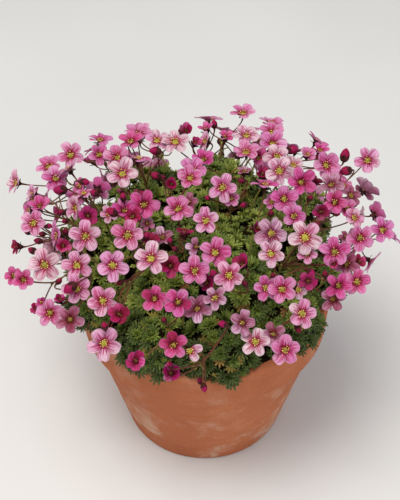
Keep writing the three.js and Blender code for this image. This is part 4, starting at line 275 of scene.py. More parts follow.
        ["b", "c", [51.0, 44.7, 172.4], [0.944, -0.242, 0.225], [1.0, 0.0, 0.0], 2.54, 7.05, 0.0, 31, 1.0, 0.27, 0.37],
    ]],
    [[55.8, 48.4, 138.2], [61.0, 48.0, 141.0], [58.9, 63.2, 132.1], [65.2, 55.5, 134.0], [
        ["f", "M", [75.6, 55.7, 115.1], [0.967, 0.245, -0.063], [-0.146, 0.742, 0.654], 8.7, 0.0, 12.0, 31, 0.835, 0.31, 0.08],
        ["b", "c", [82.6, 49.9, 118.2], [0.999, 0.0, -0.041], [-0.041, -0.108, -0.993], 1.69, 4.71, 6.0, 31, 0.993, 0.19, 0.38],
        ["f", "L", [68.4, 63.8, 122.0], [0.235, 0.791, -0.564], [0.831, -0.465, -0.305], 7.62, 0.0, 16.0, 31, 0.826, 0.6, 0.14],
    ]],
    [[63.0, 12.9, 133.8], [65.1, 13.4, 141.2], [65.9, 15.3, 150.1], [69.5, 18.8, 153.6], [
        ["f", "M", [70.1, 32.9, 170.1], [0.15, -0.555, 0.818], [-0.447, 0.7, 0.557], 8.13, 0.0, 14.0, 31, 0.976, 0.48, 0.37],
        ["f", "V", [71.7, 16.7, 168.8], [0.0, -0.446, 0.895], [0.525, 0.762, 0.38], 7.12, 0.0, 6.0, 31, 1.0, 0.22, 0.28],
        ["f", "M", [80.1, 22.2, 163.5], [0.3, -0.361, 0.883], [0.896, 0.423, -0.132], 4.91, 0.0, 12.0, 31, 1.0, 0.24, 0.32],
        ["f", "V", [83.3, 13.8, 163.0], [0.5, -0.289, 0.816], [0.8, 0.514, -0.308], 6.29, 0.0, 8.0, 31, 0.717, 0.26, 0.23],
        ["b", "c", [82.2, 33.5, 165.5], [-0.93, -0.353, 0.105], [1.0, 0.0, 0.0], 2.73, 7.59, 0.0, 31, 0.775, 0.25, 0.24],
    ]],
    [[66.3, 44.8, 134.3], [67.0, 45.4, 138.4], [72.9, 45.9, 136.2], [76.1, 45.9, 135.7], [
        ["f", "L", [99.1, 58.9, 153.4], [0.05, -0.659, 0.751], [-0.474, 0.646, 0.598], 7.93, 0.0, 10.0, 31, 0.675, 0.31, 0.17],
        ["f", "M", [103.3, 34.2, 131.3], [0.859, 0.505, -0.077], [-0.222, 0.233, -0.947], 7.66, 0.0, 10.0, 31, 0.905, 0.49, 0.31],
        ["f", "V", [97.7, 50.1, 136.6], [0.613, 0.753, 0.239], [0.763, -0.643, 0.069], 9.07, 0.0, 10.0, 31, 1.0, 0.33, 0.26],
        ["f", "P", [94.9, 41.1, 122.1], [0.973, -0.153, -0.172], [0.225, 0.485, 0.845], 7.73, 0.0, 6.0, 31, 0.766, 0.42, 0.3],
        ["b", "k", [92.3, 50.6, 125.4], [0.912, 0.345, -0.221], [-0.409, 0.79, -0.456], 2.34, 6.5, 12.0, 31, 1.0, 0.42, 0.39],
    ]],
    [[7.2, 20.8, 144.6], [7.7, 22.2, 153.7], [6.5, 24.5, 161.5], [10.6, 26.6, 165.6], [
        ["f", "M", [23.5, 33.6, 178.7], [-0.1, -0.171, 0.98], [0.908, 0.386, 0.16], 8.05, 0.0, 22.0, 31, 0.818, 0.21, 0.27],
        ["f", "D", [-1.3, 28.8, 177.3], [0.1, -0.171, 0.98], [0.812, 0.584, 0.019], 6.87, 0.0, 18.0, 31, 1.0, 0.29, 0.32],
        ["f", "V", [22.1, 22.2, 173.9], [0.0, 0.107, 0.994], [0.977, 0.212, -0.023], 4.56, 0.0, 20.0, 31, 1.0, 0.4, 0.27],
    ]],
    [[19.8, 45.3, 139.2], [20.6, 47.0, 150.5], [24.5, 50.8, 158.8], [29.8, 53.4, 163.0], [
        ["f", "P", [24.2, 54.2, 175.4], [0.0, -0.099, 0.995], [-0.991, -0.131, -0.013], 7.4, 0.0, 8.0, 31, 1.0, 0.24, 0.21],
        ["f", "M", [40.3, 63.7, 170.6], [0.0, -0.176, 0.984], [0.96, 0.275, 0.049], 7.52, 0.0, 14.0, 31, 0.777, 0.43, 0.26],
        ["f", "M", [39.6, 47.1, 174.9], [0.05, -0.345, 0.937], [0.527, 0.806, 0.269], 8.22, 0.0, 12.0, 31, 0.813, 0.2, 0.22],
        ["f", "L", [32.6, 52.7, 172.2], [0.0, 0.028, 1.0], [1.0, 0.0, 0.0], 6.23, 0.0, 8.0, 31, 1.0, 0.36, 0.32],
    ]],
    [[29.3, 63.8, 135.7], [29.5, 65.3, 138.1], [30.0, 72.8, 139.5], [33.4, 74.9, 140.6], [
        ["f", "M", [41.1, 83.8, 162.6], [0.1, 0.261, 0.96], [0.916, 0.354, -0.191], 8.07, 0.0, 10.0, 31, 1.0, 0.3, 0.31],
        ["f", "L", [38.4, 90.7, 120.4], [0.368, 0.929, 0.033], [-0.154, 0.096, -0.983], 8.46, 0.0, 16.0, 31, 0.557, 0.48, 0.48],
        ["f", "D", [43.7, 98.3, 137.3], [0.282, 0.806, 0.52], [-0.928, 0.091, 0.362], 8.69, 0.0, 16.0, 31, 1.0, 0.33, 0.08],
        ["f", "P", [28.1, 94.7, 147.3], [-0.036, 0.442, 0.896], [-0.931, -0.341, 0.131], 8.09, 0.0, 16.0, 31, 1.0, 0.43, 0.22],
        ["f", "D", [58.0, 86.6, 139.6], [0.294, 0.641, 0.708], [-0.002, 0.742, -0.671], 8.37, 0.0, 12.0, 31, 0.924, 0.31, 0.33],
        ["f", "G", [45.0, 98.5, 148.6], [0.032, 0.496, 0.868], [0.791, 0.519, -0.326], 5.89, 0.0, 30.0, 31, 0.989, 0.23, 0.35],
    ]],
    [[44.4, 53.4, 135.1], [41.4, 53.6, 142.6], [52.3, 60.2, 139.5], [54.2, 70.4, 138.2], [
        ["b", "c", [85.9, 63.9, 153.7], [0.164, 0.392, 0.905], [1.0, 0.0, 0.0], 2.9, 8.58, 0.0, 31, 0.866, 0.32, 0.24],
        ["f", "G", [73.1, 83.1, 132.4], [0.611, 0.749, 0.256], [-0.726, 0.659, -0.194], 6.5, 0.0, 30.0, 31, 0.962, 0.6, 0.21],
        ["f", "G", [70.4, 76.0, 121.8], [0.517, 0.819, 0.249], [0.721, -0.261, -0.641], 6.26, 0.0, 16.0, 31, 0.968, 0.26, 0.26],
        ["f", "D", [83.4, 65.2, 131.0], [0.761, 0.646, -0.056], [0.529, -0.668, -0.523], 7.79, 0.0, 6.0, 31, 0.961, 0.32, 0.21],
        ["f", "M", [70.0, 82.2, 150.1], [0.492, 0.36, 0.793], [0.416, 0.703, -0.577], 8.21, 0.0, 12.0, 31, 1.0, 0.34, 0.28],
    ]],
    [[-1.9, 40.6, 149.0], [-2.0, 42.1, 152.6], [-3.6, 44.6, 158.3], [-3.3, 46.3, 160.2], [
        ["f", "G", [-11.3, 59.6, 175.1], [0.1, -0.393, 0.914], [-0.044, 0.916, 0.399], 5.36, 0.0, 42.0, 31, 0.886, 0.43, 0.18],
        ["f", "G", [-5.9, 45.3, 176.6], [0.3, -0.253, 0.92], [0.4, 0.909, 0.12], 4.68, 0.0, 45.0, 31, 1.0, 0.2, 0.36],
        ["f", "D", [0.6, 62.2, 173.9], [-0.3, 0.08, 0.951], [0.104, 0.993, -0.051], 5.39, 0.0, 32.0, 31, 0.909, 0.42, 0.29],
        ["f", "L", [0.5, 45.2, 178.2], [-0.8, -0.175, 0.574], [0.193, 0.83, 0.523], 5.84, 0.0, 20.0, 31, 1.0, 0.35, 0.35],
        ["f", "D", [11.7, 50.8, 176.5], [0.05, -0.015, 0.999], [-0.292, 0.956, 0.029], 5.3, 0.0, 28.0, 31, 0.754, 0.31, 0.31],
        ["f", "P", [-17.6, 45.6, 177.5], [0.0, -0.314, 0.949], [-0.099, 0.945, 0.313], 7.89, 0.0, 6.0, 31, 0.771, 0.21, 0.29],
        ["b", "c", [5.5, 70.4, 172.4], [-0.082, 0.4, 0.913], [1.0, 0.0, 0.0], 1.96, 5.45, 0.0, 31, 0.891, 0.29, 0.23],
    ]],
    [[9.4, 72.1, 143.9], [9.9, 75.4, 151.8], [10.8, 86.2, 148.7], [11.9, 90.5, 144.8], [
        ["f", "L", [24.2, 98.2, 160.2], [0.03, 0.107, 0.994], [0.04, -0.994, 0.106], 7.91, 0.0, 10.0, 31, 0.623, 0.31, 0.29],
        ["b", "c", [25.9, 104.3, 135.4], [0.291, 0.864, 0.41], [-0.035, -0.419, 0.907], 2.23, 6.2, 8.0, 31, 0.643, 0.56, 0.35],
        ["b", "k", [10.9, 101.3, 125.2], [-0.124, 0.977, -0.172], [-0.164, 0.15, 0.975], 2.1, 5.84, 6.0, 31, 0.823, 0.43, 0.35],
        ["b", "k", [9.6, 92.0, 122.8], [-0.087, 0.852, -0.516], [-0.924, -0.263, -0.277], 1.59, 4.43, 10.0, 31, 0.786, 0.3, 0.22],
        ["f", "P", [21.7, 96.4, 128.0], [-0.199, 0.883, 0.426], [0.518, 0.464, -0.719], 7.98, 0.0, 8.0, 31, 0.708, 0.36, 0.15],
        ["f", "M", [12.7, 100.5, 144.4], [0.251, 0.584, 0.772], [-0.235, -0.737, 0.634], 8.55, 0.0, 10.0, 31, 1.0, 0.27, 0.37],
        ["b", "k", [10.0, 106.7, 132.2], [0.017, 0.975, 0.22], [0.554, -0.192, 0.81], 1.83, 5.08, 12.0, 31, 0.824, 0.43, 0.22],
        ["f", "L", [2.4, 103.3, 151.5], [0.054, 0.535, 0.843], [-0.994, -0.052, 0.097], 9.04, 0.0, 8.0, 31, 1.0, 0.21, 0.44],
    ]],
    [[-40.3, 57.5, 143.7], [-41.5, 59.1, 148.2], [-49.5, 66.2, 143.3], [-52.6, 69.2, 138.8], [
        ["f", "D", [-69.3, 85.8, 142.4], [-0.588, 0.361, 0.724], [-0.697, 0.227, -0.68], 8.32, 0.0, 8.0, 31, 0.84, 0.41, 0.24],
        ["f", "D", [-57.9, 91.2, 130.1], [-0.494, 0.763, 0.417], [-0.545, -0.646, 0.535], 7.85, 0.0, 10.0, 31, 0.946, 0.39, 0.29],
        ["f", "D", [-46.4, 79.5, 137.4], [-0.952, 0.226, -0.207], [-0.175, 0.155, 0.972], 8.3, 0.0, 16.0, 31, 1.0, 0.26, 0.39],
        ["f", "G", [-71.3, 85.2, 131.5], [-0.554, 0.745, 0.372], [-0.825, -0.552, -0.124], 6.31, 0.0, 30.0, 31, 0.882, 0.32, 0.2],
        ["f", "V", [-74.9, 61.9, 125.5], [-0.622, 0.524, 0.582], [0.335, 0.85, -0.407], 8.15, 0.0, 8.0, 31, 0.698, 0.33, 0.32],
        ["f", "P", [-59.4, 73.3, 123.3], [-0.446, 0.886, -0.127], [-0.855, -0.464, -0.233], 8.42, 0.0, 12.0, 31, 1.0, 0.42, 0.36],
    ]],
    [[-33.6, 33.9, 130.4], [-34.2, 34.5, 140.6], [-34.9, 39.7, 147.0], [-35.9, 41.3, 152.7], [
        ["f", "M", [-40.1, 59.7, 172.1], [0.0, 0.141, 0.99], [0.537, 0.835, -0.119], 8.97, 0.0, 4.0, 31, 0.801, 0.38, 0.37],
        ["f", "D", [-43.6, 48.6, 175.3], [-0.1, -0.094, 0.99], [0.961, 0.248, 0.121], 7.35, 0.0, 18.0, 31, 1.0, 0.42, 0.15],
        ["f", "M", [-51.2, 36.2, 173.0], [-0.1, -0.342, 0.934], [-0.144, 0.934, 0.327], 7.84, 0.0, 14.0, 31, 1.0, 0.25, 0.22],
        ["f", "L", [-38.5, 29.6, 177.4], [0.05, 0.422, 0.905], [0.999, -0.021, -0.045], 8.03, 0.0, 4.0, 31, 0.859, 0.47, 0.17],
        ["f", "P", [-28.3, 48.4, 176.2], [0.1, -0.413, 0.905], [-0.982, 0.105, 0.156], 7.05, 0.0, 6.0, 31, 0.72, 0.31, 0.38],
        ["b", "c", [-28.9, 35.0, 179.1], [-0.94, -0.185, 0.285], [1.0, 0.0, 0.0], 2.49, 6.91, 0.0, 31, 0.798, 0.35, 0.18],
        ["b", "c", [-46.9, 61.6, 168.4], [0.0, 0.402, 0.916], [1.0, 0.0, 0.0], 1.52, 4.21, 0.0, 31, 0.788, 0.45, 0.2],
    ]],
    [[-21.9, 63.2, 139.9], [-22.5, 65.1, 144.5], [-28.5, 76.3, 144.2], [-29.4, 80.1, 141.3], [
        ["f", "M", [-41.7, 100.7, 138.2], [0.048, 0.732, 0.679], [0.594, 0.526, -0.609], 7.83, 0.0, 20.0, 31, 0.852, 0.44, 0.19],
        ["f", "L", [-30.8, 87.9, 123.8], [-0.271, 0.942, -0.199], [-0.68, -0.333, -0.653], 9.07, 0.0, 10.0, 31, 1.0, 0.37, 0.38],
        ["f", "M", [-43.5, 96.3, 149.1], [-0.214, 0.3, 0.929], [0.951, -0.154, 0.269], 8.08, 0.0, 10.0, 31, 0.804, 0.42, 0.41],
        ["f", "L", [-44.6, 88.1, 127.1], [-0.205, 0.972, -0.119], [-0.506, -0.209, -0.837], 8.39, 0.0, 12.0, 31, 1.0, 0.36, 0.28],
        ["f", "M", [-21.5, 104.5, 131.0], [0.014, 0.837, 0.547], [-0.968, 0.148, -0.202], 9.13, 0.0, 20.0, 31, 0.743, 0.42, 0.29],
        ["b", "k", [-15.2, 103.6, 142.2], [0.014, 0.783, 0.622], [-0.33, -0.584, 0.742], 2.08, 5.78, 30.0, 31, 0.729, 0.4, 0.2],
    ]],
    [[-57.5, 20.1, 139.1], [-63.9, 18.7, 148.9], [-75.2, 46.1, 146.9], [-77.5, 41.8, 147.2], [
        ["f", "L", [-95.3, 57.6, 149.4], [-0.2, -0.275, 0.94], [0.601, 0.724, 0.34], 7.95, 0.0, 12.0, 31, 0.49, 0.23, 0.08],
        ["f", "L", [-112.7, 41.3, 150.1], [-0.8, -0.323, 0.506], [0.121, 0.739, 0.663], 7.79, 0.0, 22.0, 31, 0.408, 0.51, 0.28],
        ["f", "V", [-103.2, 35.1, 141.2], [-0.734, -0.147, 0.663], [-0.349, 0.919, -0.182], 8.45, 0.0, 6.0, 31, 0.325, 0.49, 0.23],
        ["b", "c", [-99.2, 40.3, 138.0], [-0.828, 0.257, 0.499], [-0.549, -0.554, -0.626], 2.07, 5.76, 6.0, 31, 0.903, 0.35, 0.22],
        ["f", "D", [-90.1, 48.0, 120.4], [-0.986, 0.16, -0.045], [0.166, 0.937, -0.307], 8.08, 0.0, 20.0, 31, 0.738, 0.33, 0.49],
        ["f", "V", [-87.6, 60.2, 141.6], [-0.514, 0.504, 0.695], [-0.798, -0.578, -0.171], 8.46, 0.0, 6.0, 31, 0.82, 0.51, 0.4],
        ["b", "c", [-85.2, 43.6, 124.7], [-0.665, 0.171, -0.727], [-0.401, 0.739, 0.541], 2.3, 6.38, 16.0, 31, 0.573, 0.36, 0.21],
        ["f", "L", [-97.9, 48.7, 129.3], [-0.868, 0.368, 0.335], [-0.163, -0.847, 0.507], 8.47, 0.0, 20.0, 31, 0.655, 0.32, 0.1],
    ]],
    [[-47.4, 42.4, 137.2], [-48.6, 43.4, 143.5], [-56.7, 51.9, 152.6], [-61.2, 53.9, 155.8], [
        ["f", "M", [-63.4, 62.4, 165.6], [0.1, 0.183, 0.978], [0.99, 0.076, -0.115], 7.55, 0.0, 12.0, 31, 1.0, 0.46, 0.2],
        ["f", "M", [-62.4, 43.0, 169.9], [0.2, -0.522, 0.829], [0.46, 0.797, 0.391], 6.76, 0.0, 18.0, 31, 1.0, 0.28, 0.37],
        ["f", "L", [-80.8, 53.6, 161.4], [0.05, -0.643, 0.764], [-0.55, 0.621, 0.559], 8.11, 0.0, 10.0, 31, 0.872, 0.21, 0.41],
        ["b", "k", [-63.9, 48.0, 169.8], [-0.0, -0.885, -0.465], [1.0, 0.0, 0.0], 1.7, 4.73, 0.0, 31, 0.857, 0.29, 0.15],
        ["f", "M", [-60.7, 56.9, 139.8], [-0.931, -0.191, -0.31], [-0.333, 0.102, 0.937], 7.96, 0.0, 10.0, 31, 0.924, 0.36, 0.16],
    ]],
    [[-78.1, 17.5, 131.7], [-78.3, 15.9, 135.1], [-87.0, 20.0, 135.8], [-85.3, 18.7, 132.3], [
        ["b", "c", [-89.7, 27.8, 117.6], [-0.86, 0.42, -0.289], [-0.041, -0.622, -0.782], 2.1, 5.83, 16.0, 31, 0.862, 0.53, 0.21],
        ["b", "c", [-87.9, 26.7, 121.6], [-0.637, -0.391, -0.665], [0.347, -0.915, 0.206], 1.86, 5.18, 16.0, 31, 0.997, 0.4, 0.32],
        ["f", "L", [-94.0, 15.8, 118.3], [-0.93, -0.339, 0.14], [-0.114, -0.095, -0.989], 7.82, 0.0, 12.0, 31, 0.739, 0.6, 0.2],
        ["f", "P", [-89.4, 9.2, 128.1], [-0.717, 0.072, -0.693], [-0.653, 0.278, 0.705], 8.45, 0.0, 10.0, 31, 1.0, 0.44, 0.35],
        ["b", "c", [-77.1, 1.6, 125.4], [-0.926, 0.065, -0.373], [0.201, 0.919, -0.339], 2.46, 6.83, 6.0, 31, 0.823, 0.35, 0.33],
    ]],
    [[-64.2, 9.3, 134.7], [-68.2, 9.8, 142.3], [-74.9, 10.1, 143.7], [-81.0, 13.4, 144.9], [
        ["f", "M", [-87.3, 31.3, 161.3], [0.0, -0.493, 0.87], [0.876, 0.42, 0.238], 7.9, 0.0, 12.0, 31, 0.842, 0.41, 0.38],
        ["f", "L", [-100.4, 24.0, 156.0], [-0.88, -0.271, 0.39], [0.088, 0.713, 0.696], 5.54, 0.0, 22.0, 31, 0.709, 0.32, 0.37],
        ["f", "D", [-93.9, 6.9, 160.7], [-0.1, -0.094, 0.99], [0.854, 0.503, 0.134], 6.82, 0.0, 34.0, 31, 1.0, 0.42, 0.27],
        ["f", "M", [-101.5, 11.9, 154.1], [-0.8, -0.439, 0.409], [0.196, 0.453, 0.87], 4.61, 0.0, 22.0, 31, 0.985, 0.27, 0.41],
        ["b", "k", [-92.9, 13.2, 161.3], [0.164, 0.392, 0.905], [1.0, 0.0, 0.0], 1.5, 4.01, 0.0, 31, 1.0, 0.48, 0.31],
        ["f", "L", [-102.5, 19.2, 137.4], [-0.809, 0.033, 0.587], [-0.198, -0.956, -0.219], 7.81, 0.0, 10.0, 31, 0.767, 0.23, 0.31],
        ["b", "k", [-100.5, 27.2, 133.5], [-0.787, -0.387, 0.481], [-0.044, -0.743, -0.668], 2.11, 5.87, 16.0, 31, 0.637, 0.24, 0.27],
    ]],
    [[-53.4, 8.0, 131.5], [-57.4, 8.8, 140.1], [-54.1, 1.5, 153.7], [-62.5, 2.9, 162.6], [
        ["f", "L", [-78.6, 28.1, 170.6], [-0.6, 0.336, 0.726], [0.79, 0.392, 0.472], 8.65, 0.0, 4.0, 31, 0.715, 0.29, 0.26],
        ["f", "M", [-73.8, 12.6, 163.3], [0.0, -0.292, 0.956], [0.0, 0.956, 0.292], 6.28, 0.0, 10.0, 31, 1.0, 0.22, 0.27],
        ["f", "L", [-67.6, 2.9, 173.7], [-0.2, 0.243, 0.949], [0.966, 0.209, 0.15], 4.74, 0.0, 8.0, 31, 0.848, 0.39, 0.3],
        ["f", "M", [-71.2, 14.8, 169.6], [-0.7, -0.449, 0.555], [-0.644, 0.06, -0.763], 4.83, 0.0, 14.0, 31, 1.0, 0.47, 0.34],
        ["f", "M", [-60.1, 7.1, 173.8], [0.2, 0.943, -0.264], [0.927, -0.095, 0.362], 6.72, 0.0, 12.0, 31, 0.997, 0.27, 0.28],
        ["b", "c", [-82.0, 10.3, 170.4], [-0.94, -0.298, 0.165], [1.0, 0.0, 0.0], 2.84, 7.9, 0.0, 31, 0.846, 0.44, 0.09],
        ["b", "c", [-67.2, 8.3, 177.9], [0.93, -0.353, 0.105], [1.0, 0.0, 0.0], 2.01, 5.58, 0.0, 31, 0.749, 0.42, 0.47],
        ["b", "c", [-61.6, -0.3, 177.1], [-0.887, -0.021, 0.461], [1.0, 0.0, 0.0], 1.79, 4.97, 0.0, 31, 0.837, 0.24, 0.27],
    ]],
]

# -------------------------------------------------------------------- camera
cam_data = bpy.data.cameras.new("camera")
cam_data.sensor_width = 36.0
cam_data.lens = 75.0
cam_data.clip_start = 0.01
camera = bpy.data.objects.new("camera", cam_data)
camera.location = (-0.003, -0.4428, 0.5466)
camera.rotation_euler = (math.radians(47.0), 0.0, 0.0)
bpy.context.scene.collection.objects.link(camera)
bpy.context.scene.camera = camera


# --------------------------------------------------------------- small algebra
def unit(v):
    v = np.asarray(v, float)
    return v / max(np.linalg.norm(v), 1e-12)


def basis(z, x_hint):
    """Columns x, y, z of a right-handed frame with that z and x near the hint."""
    z = unit(z)
    x = np.asarray(x_hint, float)
    x = x - x.dot(z) * z
    if np.linalg.norm(x) < 1e-6:
        x = np.cross(z, [0.3, 1.0, 0.2])
    x = unit(x)
    return np.stack([x, np.cross(z, x), z], 1)


def bezier(p, t):
    t = np.asarray(t, float)[:, None]
    p = np.asarray(p, float)
    return (
        (1 - t) ** 3 * p[0]
        + 3 * (1 - t) ** 2 * t * p[1]
        + 3 * (1 - t) * t**2 * p[2]
        + t**3 * p[3]
    )


def bezier_tangent(p, t):
    p = np.asarray(p, float)
    return unit(
        3 * (1 - t) ** 2 * (p[1] - p[0])
        + 6 * (1 - t) * t * (p[2] - p[1])
        + 3 * t**2 * (p[3] - p[2])
    )


def smooth(a, b, x):
    t = np.clip((np.asarray(x, float) - a) / (b - a), 0.0, 1.0)
    return t * t * (3 - 2 * t)


# ---------------------------------------------------------------- mesh making
class Shells:
    """Closed shells gathered into one mesh. Each has its own square of the map
    and carries named numbers for its vertices, which the materials read."""

    def __init__(self, *names):
        self.names = names
        self.co, self.loops, self.starts, self.mats, self.uv, self.owner = [], [], [], [], [], []
        self.values = {n: [] for n in names}
        self.verts = self.corners = self.shells = 0

    def add(self, co, faces, uv, mat=0, **values):
        """co: n x 3 points. faces: (loop vertex numbers, face starts). uv: one
        point a loop, within the shell's own square."""
        loops, starts = faces
        n = len(co)
        self.co.append(co)
        self.loops.append(loops + self.verts)
        self.starts.append(starts + self.corners)
        self.mats.append(np.full(len(starts), mat))
        self.uv.append(uv)
        self.owner.append(np.full(len(loops), self.shells))
        for name in self.names:
            self.values[name].append(np.broadcast_to(np.asarray(values.get(name, 0.0), float), (n,)))
        self.verts += n
        self.corners += len(loops)
        self.shells += 1

    def build(self, name, materials, crease=52.0):
        me = bpy.data.meshes.new(name)
        co = np.concatenate(self.co) * MM
        loops = np.concatenate(self.loops).astype(np.int32)
        starts = np.concatenate(self.starts).astype(np.int32)
        me.vertices.add(len(co))
        me.vertices.foreach_set("co", co.astype(np.float32).ravel())
        me.loops.add(len(loops))
        me.loops.foreach_set("vertex_index", loops)
        me.polygons.add(len(starts))
        me.polygons.foreach_set("loop_start", starts)
        me.update(calc_edges=True)
        me.polygons.foreach_set("material_index", np.concatenate(self.mats).astype(np.int32))
        me.polygons.foreach_set("use_smooth", np.ones(len(starts), bool))
        side = math.ceil(math.sqrt(self.shells))
        owner = np.concatenate(self.owner)
        cell = np.stack([owner % side, owner // side], 1)
        uv = (cell + 0.04 + 0.92 * np.concatenate(self.uv)) / side
        layer = me.uv_layers.new(name="OFBake")
        layer.data.foreach_set("uv", uv.astype(np.float32).ravel())
        for n in self.names:
            a = me.attributes.new(n, "FLOAT", "POINT")
            a.data.foreach_set("value", np.concatenate(self.values[n]).astype(np.float32))
        me.update()
        me.set_sharp_from_angle(angle=math.radians(crease))
        ob = bpy.data.objects.new(name, me)
        for m in materials:
            me.materials.append(m)
        bpy.context.scene.collection.objects.link(ob)
        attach(ob, "root")
        return ob


def faces_of(polygons):
    loops = np.array([v for f in polygons for v in f])
    starts = np.cumsum([0] + [len(f) for f in polygons[:-1]])
    return loops, starts


def blade_template(rows, columns):
    """A two-sided blade that thins to nothing at its edge and ends in a point:
    its vertices as (t, s, side) rows, its faces and its map."""
    t = 1 - (1 - np.linspace(0, 1, rows)) ** 1.45
    t[0] = 0.0
    s = np.linspace(-1, 1, columns)
    verts, top, under = [], np.zeros((rows, columns), int), np.zeros((rows, columns), int)
    for i in range(rows - 1):
        for j in range(columns):
            top[i, j] = under[i, j] = len(verts)
            rim = i == 0 or j in (0, columns - 1)
            verts.append((t[i], s[j], 0.0 if rim else 1.0))
            if not rim:
                under[i, j] = len(verts)
                verts.append((t[i], s[j], -1.0))
    top[-1, :] = under[-1, :] = len(verts)
    verts.append((1.0, 0.0, 0.0))
    polygons, uv = [], []
    for grid, left, flip in ((top, 0.0, False), (under, 0.52, True)):
        for i in range(rows - 1):
            for j in range(columns - 1):
                quad = [(i, j), (i, j + 1), (i + 1, j + 1), (i + 1, j)]
                if i == rows - 2:
                    quad = [(i, j), (i, j + 1), (i + 1, j)]
                if flip:
                    quad = quad[::-1]
                polygons.append([grid[q] for q in quad])
                for k, (a, b) in enumerate(quad):
                    across = (s[b] + 1) / 2
                    if a == rows - 1:
                        across = (s[j] + s[j + 1] + 2) / 4
                    uv.append((left + 0.48 * across, t[a]))
    return np.array(verts), faces_of(polygons), np.array(uv)


def tube_template(sides, steps):
    """A closed tube: vertices as (ring, angle) with both ends capped."""
    polygons, uv = [], []
    ring = lambda i, j: i * sides + j % sides
    for i in range(steps):
        for j in range(sides):
            polygons.append([ring(i, j), ring(i, j + 1), ring(i + 1, j + 1), ring(i + 1, j)])
            for a, b in ((i, j), (i, j + 1), (i + 1, j + 1), (i + 1, j)):
                uv.append((0.96 * b / sides, 0.02 + 0.9 * a / steps))
    turn = [2 * math.pi * j / sides for j in range(sides)]
    polygons.append([ring(0, j) for j in reversed(range(sides))])
    uv += [(0.02 + 0.015 * math.cos(a), 0.97 + 0.015 * math.sin(a)) for a in reversed(turn)]
    polygons.append([ring(steps, j) for j in range(sides)])
    uv += [(0.08 + 0.015 * math.cos(a), 0.97 + 0.015 * math.sin(a)) for a in turn]
    return faces_of(polygons), np.array(uv)


def turned_template(sides, rings):
    """A closed turned form from a pole through rings to a pole."""
    polygons, uv = [], []
    pole0, pole1 = 0, 1 + rings * sides
    at = lambda i, j: 1 + i * sides + j % sides
    step = 1.0 / (rings + 1)
    for j in range(sides):
        polygons.append([pole0, at(0, j + 1), at(0, j)])
        uv += [((j + 0.5) / sides, 0.0), ((j + 1) / sides, step), (j / sides, step)]
    for i in range(rings - 1):
        for j in range(sides):
            polygons.append([at(i, j), at(i, j + 1), at(i + 1, j + 1), at(i + 1, j)])
            for a, b in ((i, j), (i, j + 1), (i + 1, j + 1), (i + 1, j)):
                uv.append((b / sides, (a + 1) * step))
    for j in range(sides):
        polygons.append([at(rings - 1, j), at(rings - 1, j + 1), pole1])
        uv += [(j / sides, 1 - step), ((j + 1) / sides, 1 - step), ((j + 0.5) / sides, 1.0)]
    return faces_of(polygons), np.array(uv)


def turned_points(profile, sides, wave=None):
    """Points for turned_template: profile [(r, z), ...] whose ends are on the
    axis. wave(angle, place) scales the radius."""
    a = np.linspace(0, 2 * math.pi, sides, endpoint=False)
    out = [[[0.0, 0.0, profile[0][1]]]]
    n = len(profile)
    for k, (r, z) in enumerate(profile[1:-1], 1):
        rr = r * (wave(a, k / (n - 1)) if wave else 1.0)
        out.append(np.stack([rr * np.cos(a), rr * np.sin(a), np.full(sides, z)], 1))
    out.append([[0.0, 0.0, profile[-1][1]]])
    return np.concatenate([np.asarray(o, float) for o in out])


def tube_points(path, radii, sides):
    """Rings round a path with as little twist as it allows."""
    path = np.asarray(path, float)
    tangent = np.gradient(path, axis=0)
    tangent /= np.linalg.norm(tangent, axis=1)[:, None]
    x = np.cross(tangent[0], [0.31, 0.2, 0.93] if abs(tangent[0][2]) < 0.9 else [1.0, 0.1, 0.0])
    a = np.linspace(0, 2 * math.pi, sides, endpoint=False)
    rings = []
    for k, (p, t) in enumerate(zip(path, tangent)):
        x = unit(x - x.dot(t) * t)
        y = np.cross(t, x)
        r = radii[k]
        rings.append(p + r * (np.cos(a)[:, None] * x + np.sin(a)[:, None] * y))
    return np.concatenate(rings)


